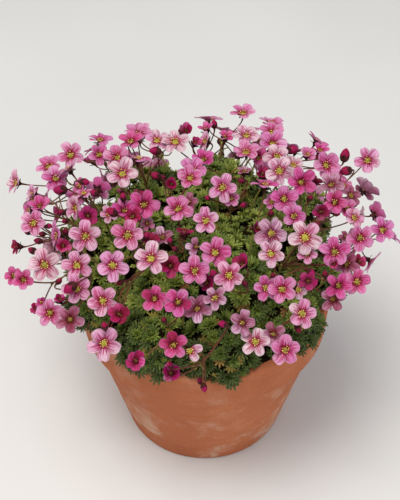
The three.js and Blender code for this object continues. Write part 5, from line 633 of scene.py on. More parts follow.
# ------------------------------------------------------------------ materials
class Nodes:
    """Short-hand for building a node tree."""

    def __init__(self, name):
        self.m = bpy.data.materials.new(name)
        self.m.use_nodes = True
        self.t = self.m.node_tree
        self.bsdf = next(n for n in self.t.nodes if n.type == "BSDF_PRINCIPLED")

    def put(self, socket, value):
        if isinstance(value, bpy.types.NodeSocket):
            self.t.links.new(value, socket)
        elif isinstance(value, (tuple, list)) and len(value) == 3 and socket.type == "RGBA":
            socket.default_value = (*value, 1.0)
        else:
            socket.default_value = value

    def attr(self, name):
        n = self.t.nodes.new("ShaderNodeAttribute")
        n.attribute_name = name
        return n.outputs["Fac"]

    def math(self, op, a, b=0.0, clamp=False):
        n = self.t.nodes.new("ShaderNodeMath")
        n.operation = op
        n.use_clamp = clamp
        self.put(n.inputs[0], a)
        self.put(n.inputs[1], b)
        return n.outputs[0]

    def mix(self, factor, a, b, kind="MIX"):
        n = self.t.nodes.new("ShaderNodeMix")
        n.data_type = "RGBA"
        n.blend_type = kind
        self.put(n.inputs[0], factor)
        self.put(n.inputs[6], a)
        self.put(n.inputs[7], b)
        return n.outputs[2]

    def span(self, x, a, b, lo=0.0, hi=1.0):
        n = self.t.nodes.new("ShaderNodeMapRange")
        n.interpolation_type = "SMOOTHSTEP"
        self.put(n.inputs["Value"], x)
        n.inputs["From Min"].default_value = a
        n.inputs["From Max"].default_value = b
        n.inputs["To Min"].default_value = lo
        n.inputs["To Max"].default_value = hi
        return n.outputs["Result"]

    def ramp(self, x, stops, interpolation="EASE"):
        n = self.t.nodes.new("ShaderNodeValToRGB")
        n.color_ramp.interpolation = interpolation
        e = n.color_ramp.elements
        while len(e) > 1:
            e.remove(e[-1])
        e[0].position = stops[0][0]
        e[0].color = (*stops[0][1], 1.0)
        for at, colour in stops[1:]:
            e.new(at).color = (*colour, 1.0)
        self.put(n.inputs[0], x)
        return n.outputs["Color"]

    def coords(self):
        return self.t.nodes.new("ShaderNodeTexCoord").outputs["Object"]

    def noise(self, scale, detail=3.0, rough=0.55, vector=None, distortion=0.0):
        n = self.t.nodes.new("ShaderNodeTexNoise")
        n.inputs["Scale"].default_value = scale
        n.inputs["Detail"].default_value = detail
        n.inputs["Roughness"].default_value = rough
        n.inputs["Distortion"].default_value = distortion
        self.put(n.inputs["Vector"], vector if vector is not None else self.coords())
        return n.outputs["Fac"]

    def cells(self, scale, feature="F1", vector=None):
        n = self.t.nodes.new("ShaderNodeTexVoronoi")
        n.feature = feature
        n.inputs["Scale"].default_value = scale
        self.put(n.inputs["Vector"], vector if vector is not None else self.coords())
        return n.outputs["Distance"]

    def bump(self, height, strength, distance, after=None):
        n = self.t.nodes.new("ShaderNodeBump")
        n.inputs["Strength"].default_value = strength
        n.inputs["Distance"].default_value = distance
        self.put(n.inputs["Height"], height)
        if after is not None:
            self.put(n.inputs["Normal"], after)
        return n.outputs["Normal"]

    def finish(self, colour, roughness, specular=0.5, normal=None, sheen=0.0, subsurface=0.0):
        b = self.bsdf.inputs
        self.put(b["Base Color"], colour)
        self.put(b["Roughness"], roughness)
        b["Specular IOR Level"].default_value = specular
        if sheen:
            b["Sheen Weight"].default_value = sheen
            b["Sheen Roughness"].default_value = 0.5
        if subsurface:
            b["Subsurface Weight"].default_value = subsurface
            b["Subsurface Radius"].default_value = (1.0, 0.5, 0.7)
            b["Subsurface Scale"].default_value = 0.0015
        if normal is not None:
            self.put(b["Normal"], normal)
        return self.m


def srgb(r, g, b):
    """A colour given as 0-255 screen numbers, as linear numbers."""
    return tuple(((c / 255 + 0.055) / 1.055) ** 2.4 if c > 10 else c / 255 / 12.92 for c in (r, g, b))


def petal_material():
    """Pink petals: paler to the edge, streaked along their length, with a dark
    red throat that runs out into fine veins."""
    n = Nodes("petal")
    t, s, tone, deep, under, hue = (n.attr(a) for a in ("pt", "ps", "ptone", "pdeep", "pback", "phue"))
    grain = n.noise(420.0, 3.0)
    patch = n.noise(95.0, 2.0)
    along = n.t.nodes.new("ShaderNodeCombineXYZ")
    n.put(along.inputs["X"], n.math("MULTIPLY", s, 2.3))
    n.put(along.inputs["Y"], n.math("MULTIPLY", t, 0.75))
    n.put(along.inputs["Z"], n.math("MULTIPLY", tone, 3.7))
    streak = n.noise(1.6, 2.5, 0.62, along.outputs["Vector"], 0.35)
    fine = n.noise(3.6, 2.0, 0.6, along.outputs["Vector"], 0.3)
    d = n.math("ADD", deep, n.math("MULTIPLY", tone, 0.06))
    d = n.math("ADD", d, n.math("MULTIPLY", n.math("SUBTRACT", patch, 0.5), 0.22))
    d = n.math("DIVIDE", d, PETAL_SPAN)
    body = n.ramp(d, [(at / PETAL_SPAN, c) for at, c in PETAL_BODY])
    edge = n.ramp(d, [(at / PETAL_SPAN, c) for at, c in PETAL_EDGE])
    pale = n.math("ADD", n.math("MULTIPLY", t, 0.85), n.math("MULTIPLY", n.math("SUBTRACT", streak, 0.5), 2.8))
    colour = n.mix(n.span(pale, 0.12, 0.85), body, edge)
    # Veins: a few broken lines along the petal.
    vein = n.math("MULTIPLY", n.span(fine, 0.54, 0.68), n.span(t, 1.0, 0.3, 0.25, 0.85))
    wave = n.math("MULTIPLY", n.math("SUBTRACT", streak, 0.5), 0.5)
    across = n.math("MULTIPLY", n.math("ADD", s, wave), 2.4)
    line = n.math("ABSOLUTE", n.math("SUBTRACT", n.math("FRACT", n.math("ADD", across, 20.5)), 0.5))
    rib = n.math("MULTIPLY", n.span(line, 0.22, 0.02), n.span(t, 0.9, 0.3, 0.0, 0.55))
    vein = n.math("MAXIMUM", vein, rib)
    colour = n.mix(n.math("MULTIPLY", vein, 0.85), colour, n.ramp(d, [(at / PETAL_SPAN, c) for at, c in PETAL_VEIN]))
    # Throat: its edge reaches further out along the veins.
    reach = n.math("ADD", t, n.math("MULTIPLY", n.span(line, 0.26, 0.0), -0.2))
    reach = n.math("ADD", reach, n.math("MULTIPLY", n.math("SUBTRACT", fine, 0.5), -0.34))
    colour = n.mix(n.span(reach, 0.38, 0.18, 0.0, 0.45), colour, n.ramp(d, [(at / PETAL_SPAN, c) for at, c in PETAL_VEIN]))
    colour = n.mix(n.span(reach, 0.275, 0.215), colour, n.ramp(d, [(at / PETAL_SPAN, c) for at, c in PETAL_THROAT]))
    # The underside is a little paler and duller.
    colour = n.mix(n.math("MULTIPLY", under, 0.3), colour, n.ramp(d, [(at / PETAL_SPAN, c) for at, c in PETAL_EDGE]))
    # From flower to flower the pink leans to rose or to lilac.
    lean = n.t.nodes.new("ShaderNodeHueSaturation")
    n.put(lean.inputs["Hue"], n.math("ADD", 0.5, n.math("MULTIPLY", hue, -0.014)))
    n.put(lean.inputs["Color"], colour)
    colour = lean.outputs["Color"]
    height = n.math("ADD", n.math("MULTIPLY", vein, -0.8), n.math("MULTIPLY", grain, 0.35))
    rough = n.span(grain, 0.2, 0.8, 0.52, 0.68)
    return n.finish(colour, rough, 0.2, n.bump(height, 0.4, 0.0003), subsurface=0.35)


# Colour ramps over the depth of colour: 0 near-white pink, 0.2 light pink, 0.4
# mid pink, 0.6 deep pink, 0.8 the magenta of an opening flower, 1 faded mauve,
# 1.2 faded to pale lilac, 1.4 the crimson of a bud. The dark colour near 0.8 and
# the mauve near 1 also serve as painted shade: flowers that stood in shade get them.
PETAL_SPAN = 1.5
PETAL_BODY = [
    (0.0, srgb(176, 102, 124)),
    (0.19, srgb(178, 82, 120)),
    (0.38, srgb(180, 64, 114)),
    (0.57, srgb(182, 40, 98)),
    (0.77, srgb(126, 8, 46)),
    (0.86, srgb(108, 6, 34)),
    (1.0, srgb(120, 46, 64)),
    (1.2, srgb(158, 94, 124)),
    (1.32, srgb(146, 5, 60)),
    (1.5, srgb(134, 3, 52)),
]
PETAL_EDGE = [
    (0.0, srgb(228, 190, 202)),
    (0.19, srgb(228, 160, 194)),
    (0.38, srgb(208, 126, 170)),
    (0.57, srgb(206, 90, 150)),
    (0.77, srgb(156, 14, 68)),
    (0.86, srgb(124, 6, 46)),
    (1.0, srgb(166, 94, 122)),
    (1.2, srgb(218, 172, 198)),
    (1.32, srgb(170, 13, 86)),
    (1.5, srgb(154, 8, 72)),
]
PETAL_VEIN = [
    (0.0, srgb(142, 44, 80)),
    (0.38, srgb(142, 20, 74)),
    (0.57, srgb(138, 8, 58)),
    (0.77, srgb(74, 2, 22)),
    (0.9, srgb(74, 6, 32)),
    (1.0, srgb(84, 20, 36)),
    (1.2, srgb(106, 36, 74)),
    (1.32, srgb(110, 2, 34)),
]
PETAL_THROAT = [
    (0.0, srgb(140, 16, 54)),
    (0.38, srgb(130, 4, 44)),
    (0.57, srgb(106, 2, 30)),
    (0.77, srgb(70, 2, 16)),
    (1.0, srgb(94, 26, 30)),
    (1.2, srgb(118, 36, 70)),
    (1.32, srgb(90, 2, 26)),
]


def green_material():
    """Leaves: fresh green, paler and yellower to the tips, darker with age and with
    painted shade low on the cushion and at its front, and orange brown where dead."""
    n = Nodes("leaf")
    t, tone, age_and_shade, dead, mid = (n.attr(a) for a in ("lt", "ltone", "lage", "ldead", "lmid"))
    mottle = n.noise(260.0, 3.0)
    patch = n.noise(40.0, 2.0)
    # The age number also carries painted shade: leaves low on the cushion and at its front come out darker.
    a = n.math("ADD", age_and_shade, n.math("MULTIPLY", tone, 0.16))
    a = n.math("ADD", a, n.math("MULTIPLY", n.math("SUBTRACT", patch, 0.5), 0.45))
    green = n.ramp(a, LEAF_GREEN)
    tip = n.ramp(a, LEAF_TIP)
    colour = n.mix(n.span(n.math("ADD", t, n.math("MULTIPLY", n.math("SUBTRACT", mottle, 0.5), 0.3)), 0.45, 1.0), green, tip)
    colour = n.mix(n.math("MULTIPLY", mid, 0.22), colour, LEAF_RIB)
    colour = n.mix(n.span(t, 0.28, 0.0, 0.0, 0.55), colour, LEAF_FOOT)
    brown = n.ramp(n.math("ADD", n.math("MULTIPLY", t, 0.5), n.math("MULTIPLY", mottle, 0.6)), LEAF_DEAD)
    colour = n.mix(n.span(dead, 0.0, 0.5, 0.0, 0.8), colour, LEAF_YELLOW)
    colour = n.mix(n.span(dead, 0.45, 1.0), colour, brown)
    height = n.math("ADD", n.math("MULTIPLY", mottle, 0.6), n.math("MULTIPLY", mid, -0.5))
    return n.finish(colour, n.span(mottle, 0.25, 0.75, 0.48, 0.68), 0.28, n.bump(height, 0.4, 0.0003))


LEAF_GREEN = [
    (0.0, srgb(148, 156, 62)),
    (0.35, srgb(106, 122, 42)),
    (0.7, srgb(70, 88, 32)),
    (1.0, srgb(46, 58, 20)),
]
LEAF_TIP = [
    (0.0, srgb(184, 190, 98)),
    (0.35, srgb(142, 154, 66)),
    (0.7, srgb(92, 106, 42)),
    (1.0, srgb(62, 74, 28)),
]
LEAF_RIB = srgb(150, 170, 90)
LEAF_FOOT = srgb(92, 92, 48)
LEAF_YELLOW = srgb(160, 140, 58)
LEAF_DEAD = [
    (0.2, srgb(60, 40, 24)),
    (0.5, srgb(108, 70, 36)),
    (0.85, srgb(156, 110, 60)),
]


def stem_material():
    """Flowering stems: olive at the foot, brown red above, with fine short down."""
    n = Nodes("stem")
    t, tone, red = (n.attr(a) for a in ("st", "stone", "sred"))
    grain = n.noise(700.0, 3.0)
    patch = n.noise(120.0, 2.0)
    x = n.math("ADD", red, n.math("MULTIPLY", n.math("SUBTRACT", patch, 0.5), 0.6))
    x = n.math("ADD", x, n.math("MULTIPLY", tone, 0.15))
    colour = n.ramp(x, [(0.0, srgb(120, 122, 58)), (0.4, srgb(114, 94, 48)), (0.7, srgb(108, 60, 42)), (1.0, srgb(88, 30, 34))])
    colour = n.mix(n.span(grain, 0.55, 0.8, 0.0, 0.3), colour, srgb(136, 96, 70))
    return n.finish(colour, n.span(grain, 0.3, 0.7, 0.65, 0.85), 0.25, n.bump(grain, 0.5, 0.0002))


def calyx_material():
    """Sepals and the cup under a flower: dark maroon, greener at the foot."""
    n = Nodes("calyx")
    t, tone = n.attr("st"), n.attr("stone")
    grain = n.noise(600.0, 3.0)
    x = n.math("ADD", n.math("ADD", t, n.math("MULTIPLY", tone, 0.2)), n.math("MULTIPLY", n.math("SUBTRACT", grain, 0.5), 0.5))
    colour = n.ramp(x, [(0.0, srgb(70, 28, 22)), (0.4, srgb(46, 8, 14)), (0.8, srgb(58, 8, 20)), (1.0, srgb(92, 22, 38))])
    return n.finish(colour, n.span(grain, 0.3, 0.7, 0.6, 0.8), 0.25, n.bump(grain, 0.5, 0.0002))


def centre_material():
    """The middle of a flower: green-yellow disc, pale filaments and styles."""
    n = Nodes("flower_centre")
    t, tone = n.attr("ct"), n.attr("ctone")
    grain = n.noise(900.0, 3.0)
    x = n.math("ADD", t, n.math("MULTIPLY", n.math("SUBTRACT", grain, 0.5), 0.3))
    colour = n.ramp(x, [(0.0, srgb(112, 106, 26)), (0.35, srgb(184, 174, 54)), (0.62, srgb(206, 184, 90)), (1.0, srgb(222, 196, 150))])
    colour = n.mix(n.math("MULTIPLY", tone, 0.85, True), colour, srgb(124, 44, 30))
    return n.finish(colour, n.span(grain, 0.3, 0.7, 0.4, 0.6), 0.4, n.bump(grain, 0.5, 0.0002))


def anther_material():
    """Anthers: cream to peach, a few browned."""
    n = Nodes("anther")
    tone = n.attr("ctone")
    grain = n.noise(1400.0, 3.0)
    x = n.math("ADD", tone, n.math("MULTIPLY", n.math("SUBTRACT", grain, 0.5), 0.4))
    colour = n.ramp(x, [(0.0, srgb(232, 212, 130)), (0.45, srgb(214, 164, 92)), (0.8, srgb(140, 84, 44)), (1.0, srgb(84, 44, 30))])
    return n.finish(colour, 0.75, 0.2, n.bump(grain, 0.6, 0.0002))


def clay_material():
    """Fired clay: warm orange brown, mottled, with turning lines, small pits and
    a pale bloom towards the foot."""
    n = Nodes("clay")
    co = n.coords()
    split = n.t.nodes.new("ShaderNodeSeparateXYZ")
    n.put(split.inputs[0], co)
    z = split.outputs["Z"]
    cloud = n.noise(22.0, 5.0, 0.6)
    fine = n.noise(420.0, 4.0, 0.6)
    speck = n.cells(520.0)
    colour = n.ramp(n.math("ADD", n.math("MULTIPLY", cloud, 0.75), n.math("MULTIPLY", fine, 0.25)),
                    [(0.25, srgb(158, 88, 56)), (0.5, srgb(184, 108, 72)), (0.75, srgb(202, 130, 92))])
    squash = n.t.nodes.new("ShaderNodeMapping")
    n.put(squash.inputs["Vector"], co)
    squash.inputs["Scale"].default_value = (1.0, 1.0, 26.0)
    lines = n.noise(26.0, 3.0, 0.6, squash.outputs["Vector"])
    colour = n.mix(n.span(lines, 0.45, 0.75, 0.0, 0.18), colour, srgb(146, 78, 50))
    # Lime bloom: a broken pale film.
    film = n.math("MULTIPLY", n.span(n.noise(34.0, 6.0, 0.68), 0.5, 0.72), n.span(z, 0.085, 0.0, 0.25, 0.75))
    colour = n.mix(film, colour, srgb(214, 186, 162))
    colour = n.mix(n.span(speck, 0.16, 0.05, 0.0, 0.45), colour, srgb(120, 64, 44))
    height = n.math("ADD", n.math("MULTIPLY", lines, 0.8), n.math("MULTIPLY", fine, 0.5))
    height = n.math("ADD", height, n.span(speck, 0.14, 0.04, 0.0, -0.6))
    return n.finish(colour, n.span(cloud, 0.3, 0.7, 0.82, 0.95), 0.2, n.bump(height, 0.45, 0.0006))


def soil_material():
    """Potting soil: dark crumbs with paler bits of bark and grit."""
    n = Nodes("potting_soil")
    crumb = n.cells(260.0)
    fine = n.noise(500.0, 4.0, 0.65)
    big = n.noise(70.0, 4.0, 0.6)
    colour = n.ramp(n.math("ADD", n.math("MULTIPLY", fine, 0.6), n.math("MULTIPLY", big, 0.4)),
                    [(0.3, srgb(38, 28, 22)), (0.55, srgb(66, 48, 36)), (0.75, srgb(98, 74, 54))])
    colour = n.mix(n.span(n.cells(180.0), 0.16, 0.06, 0.0, 0.7), colour, srgb(140, 112, 84))
    height = n.math("ADD", n.math("MULTIPLY", crumb, -1.0), fine)
    return n.finish(colour, n.span(fine, 0.3, 0.7, 0.85, 0.98), 0.2, n.bump(height, 0.8, 0.001))


def bark_material():
    """The woody crown: dull brown fibres."""
    n = Nodes("bark")
    fine = n.noise(380.0, 4.0, 0.65, distortion=0.6)
    big = n.noise(90.0, 3.0)
    colour = n.ramp(n.math("ADD", n.math("MULTIPLY", fine, 0.65), n.math("MULTIPLY", big, 0.35)),
                    [(0.3, srgb(34, 26, 16)), (0.5, srgb(62, 48, 28)), (0.72, srgb(98, 74, 44))])
    return n.finish(colour, n.span(fine, 0.3, 0.7, 0.8, 0.95), 0.2, n.bump(fine, 0.9, 0.0012))


def litter_and_shade_material():
    """Old growth deep in the cushion: brown shreds, made near-black as painted shade for the depths of the cushion."""
    n = Nodes("old_growth_and_shade")
    shred = n.noise(520.0, 4.0, 0.7, distortion=1.2)
    big = n.noise(110.0, 3.0)
    colour = n.ramp(n.math("ADD", n.math("MULTIPLY", shred, 0.6), n.math("MULTIPLY", big, 0.4)),
                    [(0.35, srgb(24, 20, 10)), (0.52, srgb(52, 42, 22)), (0.7, srgb(92, 74, 40))])
    return n.finish(colour, n.span(shred, 0.3, 0.7, 0.85, 0.97), 0.1, n.bump(shred, 1.0, 0.002))


def floor_material():
    n = Nodes("studio_floor")
    cloud = n.noise(3.0, 2.0)
    colour = n.ramp(cloud, [(0.3, (0.74, 0.73, 0.71)), (0.7, (0.78, 0.77, 0.75))])
    return n.finish(colour, 0.9, 0.1)


petal_mat = petal_material()
leaf_mat = green_material()
stem_mat = stem_material()
calyx_mat = calyx_material()
centre_mat = centre_material()
anther_mat = anther_material()
clay_mat = clay_material()
soil_mat = soil_material()
bark_mat = bark_material()
litter_and_shade_mat = litter_and_shade_material()

# ---------------------------------------------------------------- leaf shapes
def leaf_template(angles, reach, wide, rho):
    """A stalked leaf with finger lobes: flat points (x across, y along, with the
    whole leaf 1 long), 1 where a point is raised along a mid line, its faces and
    its map. The upper side is crowned along each lobe, the under side is flat."""
    verts, index = [], {}

    def v(x, y, mid=0.0):
        key = (round(x, 5), round(y, 5))
        if key not in index:
            index[key] = len(verts)
            verts.append((x, y, mid))
        return index[key]

    tops, unders = [], []
    cx, cy = 0.0, 0.40
    # Stalk: a flat wedge that widens into the blade.
    stalk = [[v(-0.09, 0.0), v(0.0, 0.0), v(0.09, 0.0)],
             [v(-0.062, 0.16), v(0.0, 0.16, 1), v(0.062, 0.16)],
             [v(-0.105, 0.33), v(0.0, 0.33, 1), v(0.105, 0.33)]]
    for a, b in zip(stalk, stalk[1:]):
        tops.append([a[0], a[1], b[1], b[0]])
        tops.append([a[1], a[2], b[2], b[1]])
    unders.append([stalk[0][0], stalk[0][1], stalk[0][2], stalk[1][2], stalk[1][0]])
    unders.append([stalk[1][0], stalk[1][2], stalk[2][2], stalk[2][0]])
    hub = v(cx, cy + 0.03, 0.8)
    n = len(angles)
    bounds = [angles[0] - 26] + [(p + q) / 2 for p, q in zip(angles, angles[1:])] + [angles[-1] + 26]
    at = lambda deg, r: (cx + r * math.sin(math.radians(deg)), cy + r * math.cos(math.radians(deg)))
    arc = [v(*at(deg, rho * (1.0 if 0 < i < n else 0.78))) for i, deg in enumerate(bounds)]
    before = stalk[-1]
    tops.append([before[0], before[1], hub, arc[0]])
    tops.append([before[1], before[2], arc[-1], hub])
    unders.append([before[0], before[2]] + arc[::-1])
    for i, deg in enumerate(angles):
        foot = v(*at(deg, rho * 0.92), 1)
        tops.append([hub, foot, arc[i]])
        tops.append([hub, arc[i + 1], foot])
        d = np.array([math.sin(math.radians(deg)), math.cos(math.radians(deg))])
        e = np.array([d[1], -d[0]])
        c = np.array([cx, cy])
        far = reach[i]
        rows = [[arc[i], foot, arc[i + 1]]]
        for f, w in ((0.42, 1.0), (0.82, 0.74)):
            m = c + d * (rho + (far - rho) * f)
            l, r = m - e * wide * w / 2, m + e * wide * w / 2
            rows.append([v(*l), v(*m, 1), v(*r)])
        for a, b in zip(rows, rows[1:]):
            tops.append([a[0], a[1], b[1], b[0]])
            tops.append([a[1], a[2], b[2], b[1]])
            unders.append([a[0], a[2], b[2], b[0]])
        tip = v(*(c + d * far))
        tops.append([rows[-1][0], rows[-1][1], tip])
        tops.append([rows[-1][1], rows[-1][2], tip])
        unders.append([rows[-1][0], rows[-1][2], tip])
    verts = np.array(verts)
    lo, hi = verts[:, :2].min(0), verts[:, :2].max(0)
    flat = (verts[:, :2] - lo) / (hi - lo)
    unders = [f[::-1] for f in unders]
    uv = [(0.47 * flat[k, 0], flat[k, 1]) for f in tops for k in f]
    uv += [(0.52 + 0.47 * flat[k, 0], flat[k, 1]) for f in unders for k in f]
    return verts, faces_of(tops + unders), np.array(uv)


LEAVES = [
    leaf_template([-34, 0, 34], [0.43, 0.59, 0.43], 0.170, 0.17),
    leaf_template([-62, -31, 0, 31, 62], [0.40, 0.52, 0.58, 0.52, 0.40], 0.146, 0.20),
    leaf_template([-56, -29, 0, 29, 56], [0.47, 0.48, 0.60, 0.48, 0.47], 0.140, 0.19),
    leaf_template([-74, -49, -25, 0, 25, 49, 74], [0.34, 0.45, 0.53, 0.58, 0.53, 0.45, 0.34], 0.124, 0.20),
    leaf_template([0], [0.58], 0.27, 0.10),
]


def leaf(shells, base, B, azimuth, kind, length, start, end, tone, age_and_shade, dead, twist=0.0, width=1.0, mat=0):
    """One leaf of a rosette. B is the rosette's frame; start and end are its
    angles from the rosette's axis at the foot and the tip, in degrees."""
    verts, faces, uv = LEAVES[kind]
    x, y, mid = verts.T
    fine = np.linspace(0, 1, 40)
    angle = np.radians(start + (end - start) * fine**0.9)
    step = 1 / 39
    out = np.concatenate([[0], np.cumsum(np.sin(angle[:-1]))]) * step
    up = np.concatenate([[0], np.cumsum(np.cos(angle[:-1]))]) * step
    a = np.interp(y, fine, angle)
    x = x * width
    lift = 0.5 * x**2 + mid * (0.024 + 0.022 * (1 - y)) + 0.03 * np.sin(x * 18 + twist * 9)
    r = np.interp(y, fine, out) - np.cos(a) * lift
    z = np.interp(y, fine, up) + np.sin(a) * lift
    p = np.stack([r, x + twist * 0.12 * y**2, z], 1) * length
    p = base + turn_z(p, azimuth) @ B.T
    # Leaves lie on the pot's rim and on the soil, and hang outside the collar.
    rad = np.maximum(np.hypot(p[:, 0], p[:, 1]), 1e-6)
    low = np.maximum(0, POT_HEIGHT + 0.5 - p[:, 2])
    over = np.maximum(0, POT_RIM_RADIUS + 0.8 - rad)
    clash = (low > 0) & (over > 0) & (rad > POT_BORE_RIM - 1.5)
    if clash.mean() > 0.3:
        return
    up = clash & (low <= over)
    p[up, 2] += low[up]
    out = clash & ~up
    p[out, :2] *= ((rad + over) / rad)[out, None]
    p[:, 2] = np.where(rad <= POT_BORE_RIM - 1.5, np.maximum(p[:, 2], 99.5), p[:, 2])
    shells.add(p, faces, uv, mat=mat, lt=y, ltone=tone, lage=age_and_shade, ldead=dead, lmid=mid)


# -------------------------------------------------------------------- flowers
PETAL = blade_template(9, 7)
SEPAL = blade_template(5, 5)
SCAPE = tube_template(6, 16)
BRANCH = tube_template(5, 11)
FILAMENT = tube_template(3, 2)
ANTHER = turned_template(5, 3)
DISC = turned_template(10, 4)
CUP = turned_template(8, 5)
BUD = turned_template(15, 8)

# Depth of colour on the ramps for each colour group.
# Groups G and V also hold flowers that stood in shade: their darker colour there is painted shade.
DEPTH = {"P": 0.02, "L": 0.2, "M": 0.38, "D": 0.57, "G": 0.77, "V": 1.03, "Q": 1.18, "c": 1.42, "k": 0.88}
# Width of a petal and how far its tip bends back, by colour group.
WIDTH = {"P": 0.70, "L": 0.72, "M": 0.73, "D": 0.71, "G": 0.79, "V": 0.67, "Q": 0.68}
CURL = {"P": 16.0, "L": 14.0, "M": 12.0, "D": 8.0, "G": -4.0, "V": 18.0, "Q": 14.0}
# Middle of the flower: disc radius over flower radius, stamens, and how brown.
MIDDLE = {"P": (0.2, 10, 0.06), "L": (0.185, 10, 0.12), "M": (0.172, 9, 0.26), "D": (0.158, 8, 0.45),
          "G": (0.125, 6, 0.85), "V": (0.17, 6, 0.6), "Q": (0.18, 8, 0.3)}


def petal_points(length, width, widest, blunt, lopsided, rise, curl, roll, channel, ruffle, phase, notch, r0, z0):
    """A petal of a flower that faces +Z, along +X from radius r0: its points in
    the flower's frame."""
    t, s, side = PETAL[0].T
    fine = np.linspace(0, 1, 60)
    angle = np.radians(rise + 8 + 34 * np.exp(-fine / 0.16) - (curl + 15) * fine**2)
    run = np.concatenate([[0], np.cumsum(np.cos(angle[:-1] + np.diff(angle) / 2))]) / 59
    climb = np.concatenate([[0], np.cumsum(np.sin(angle[:-1] + np.diff(angle) / 2))]) / 59
    a = np.interp(t, fine, angle)
    half = np.where(
        t < widest,
        0.54 + 0.46 * np.sin(np.clip(t / widest, 0, 1) * math.pi / 2),
        np.sqrt(np.clip(1 - (np.clip(t - widest, 0, 1) / (1 - widest)) ** blunt, 0, 1)),
    ) * width / 2
    lift = channel * half * s**2 + math.tan(roll) * half * s
    lift = lift + ruffle * width * t**2 * np.sin(2.6 * math.pi * s + phase)
    lift = lift + side * 0.5 * (0.10 + 0.16 * (1 - t)) * (1 - s**2)
    place = t - notch * smooth(0.8, 1.0, t) * (1 - np.abs(s)) ** 2
    r = r0 + length * np.interp(place, fine, run) - np.sin(a) * lift
    z = z0 + length * np.interp(place, fine, climb) + np.cos(a) * lift
    return np.stack([r, s * half + lopsided * width * t * (1 - t) * 2, z], 1)


def turn_z(points, angle):
    c, s = math.cos(angle), math.sin(angle)
    x, y, z = points.T
    return np.stack([c * x - s * y, s * x + c * y, z], 1)


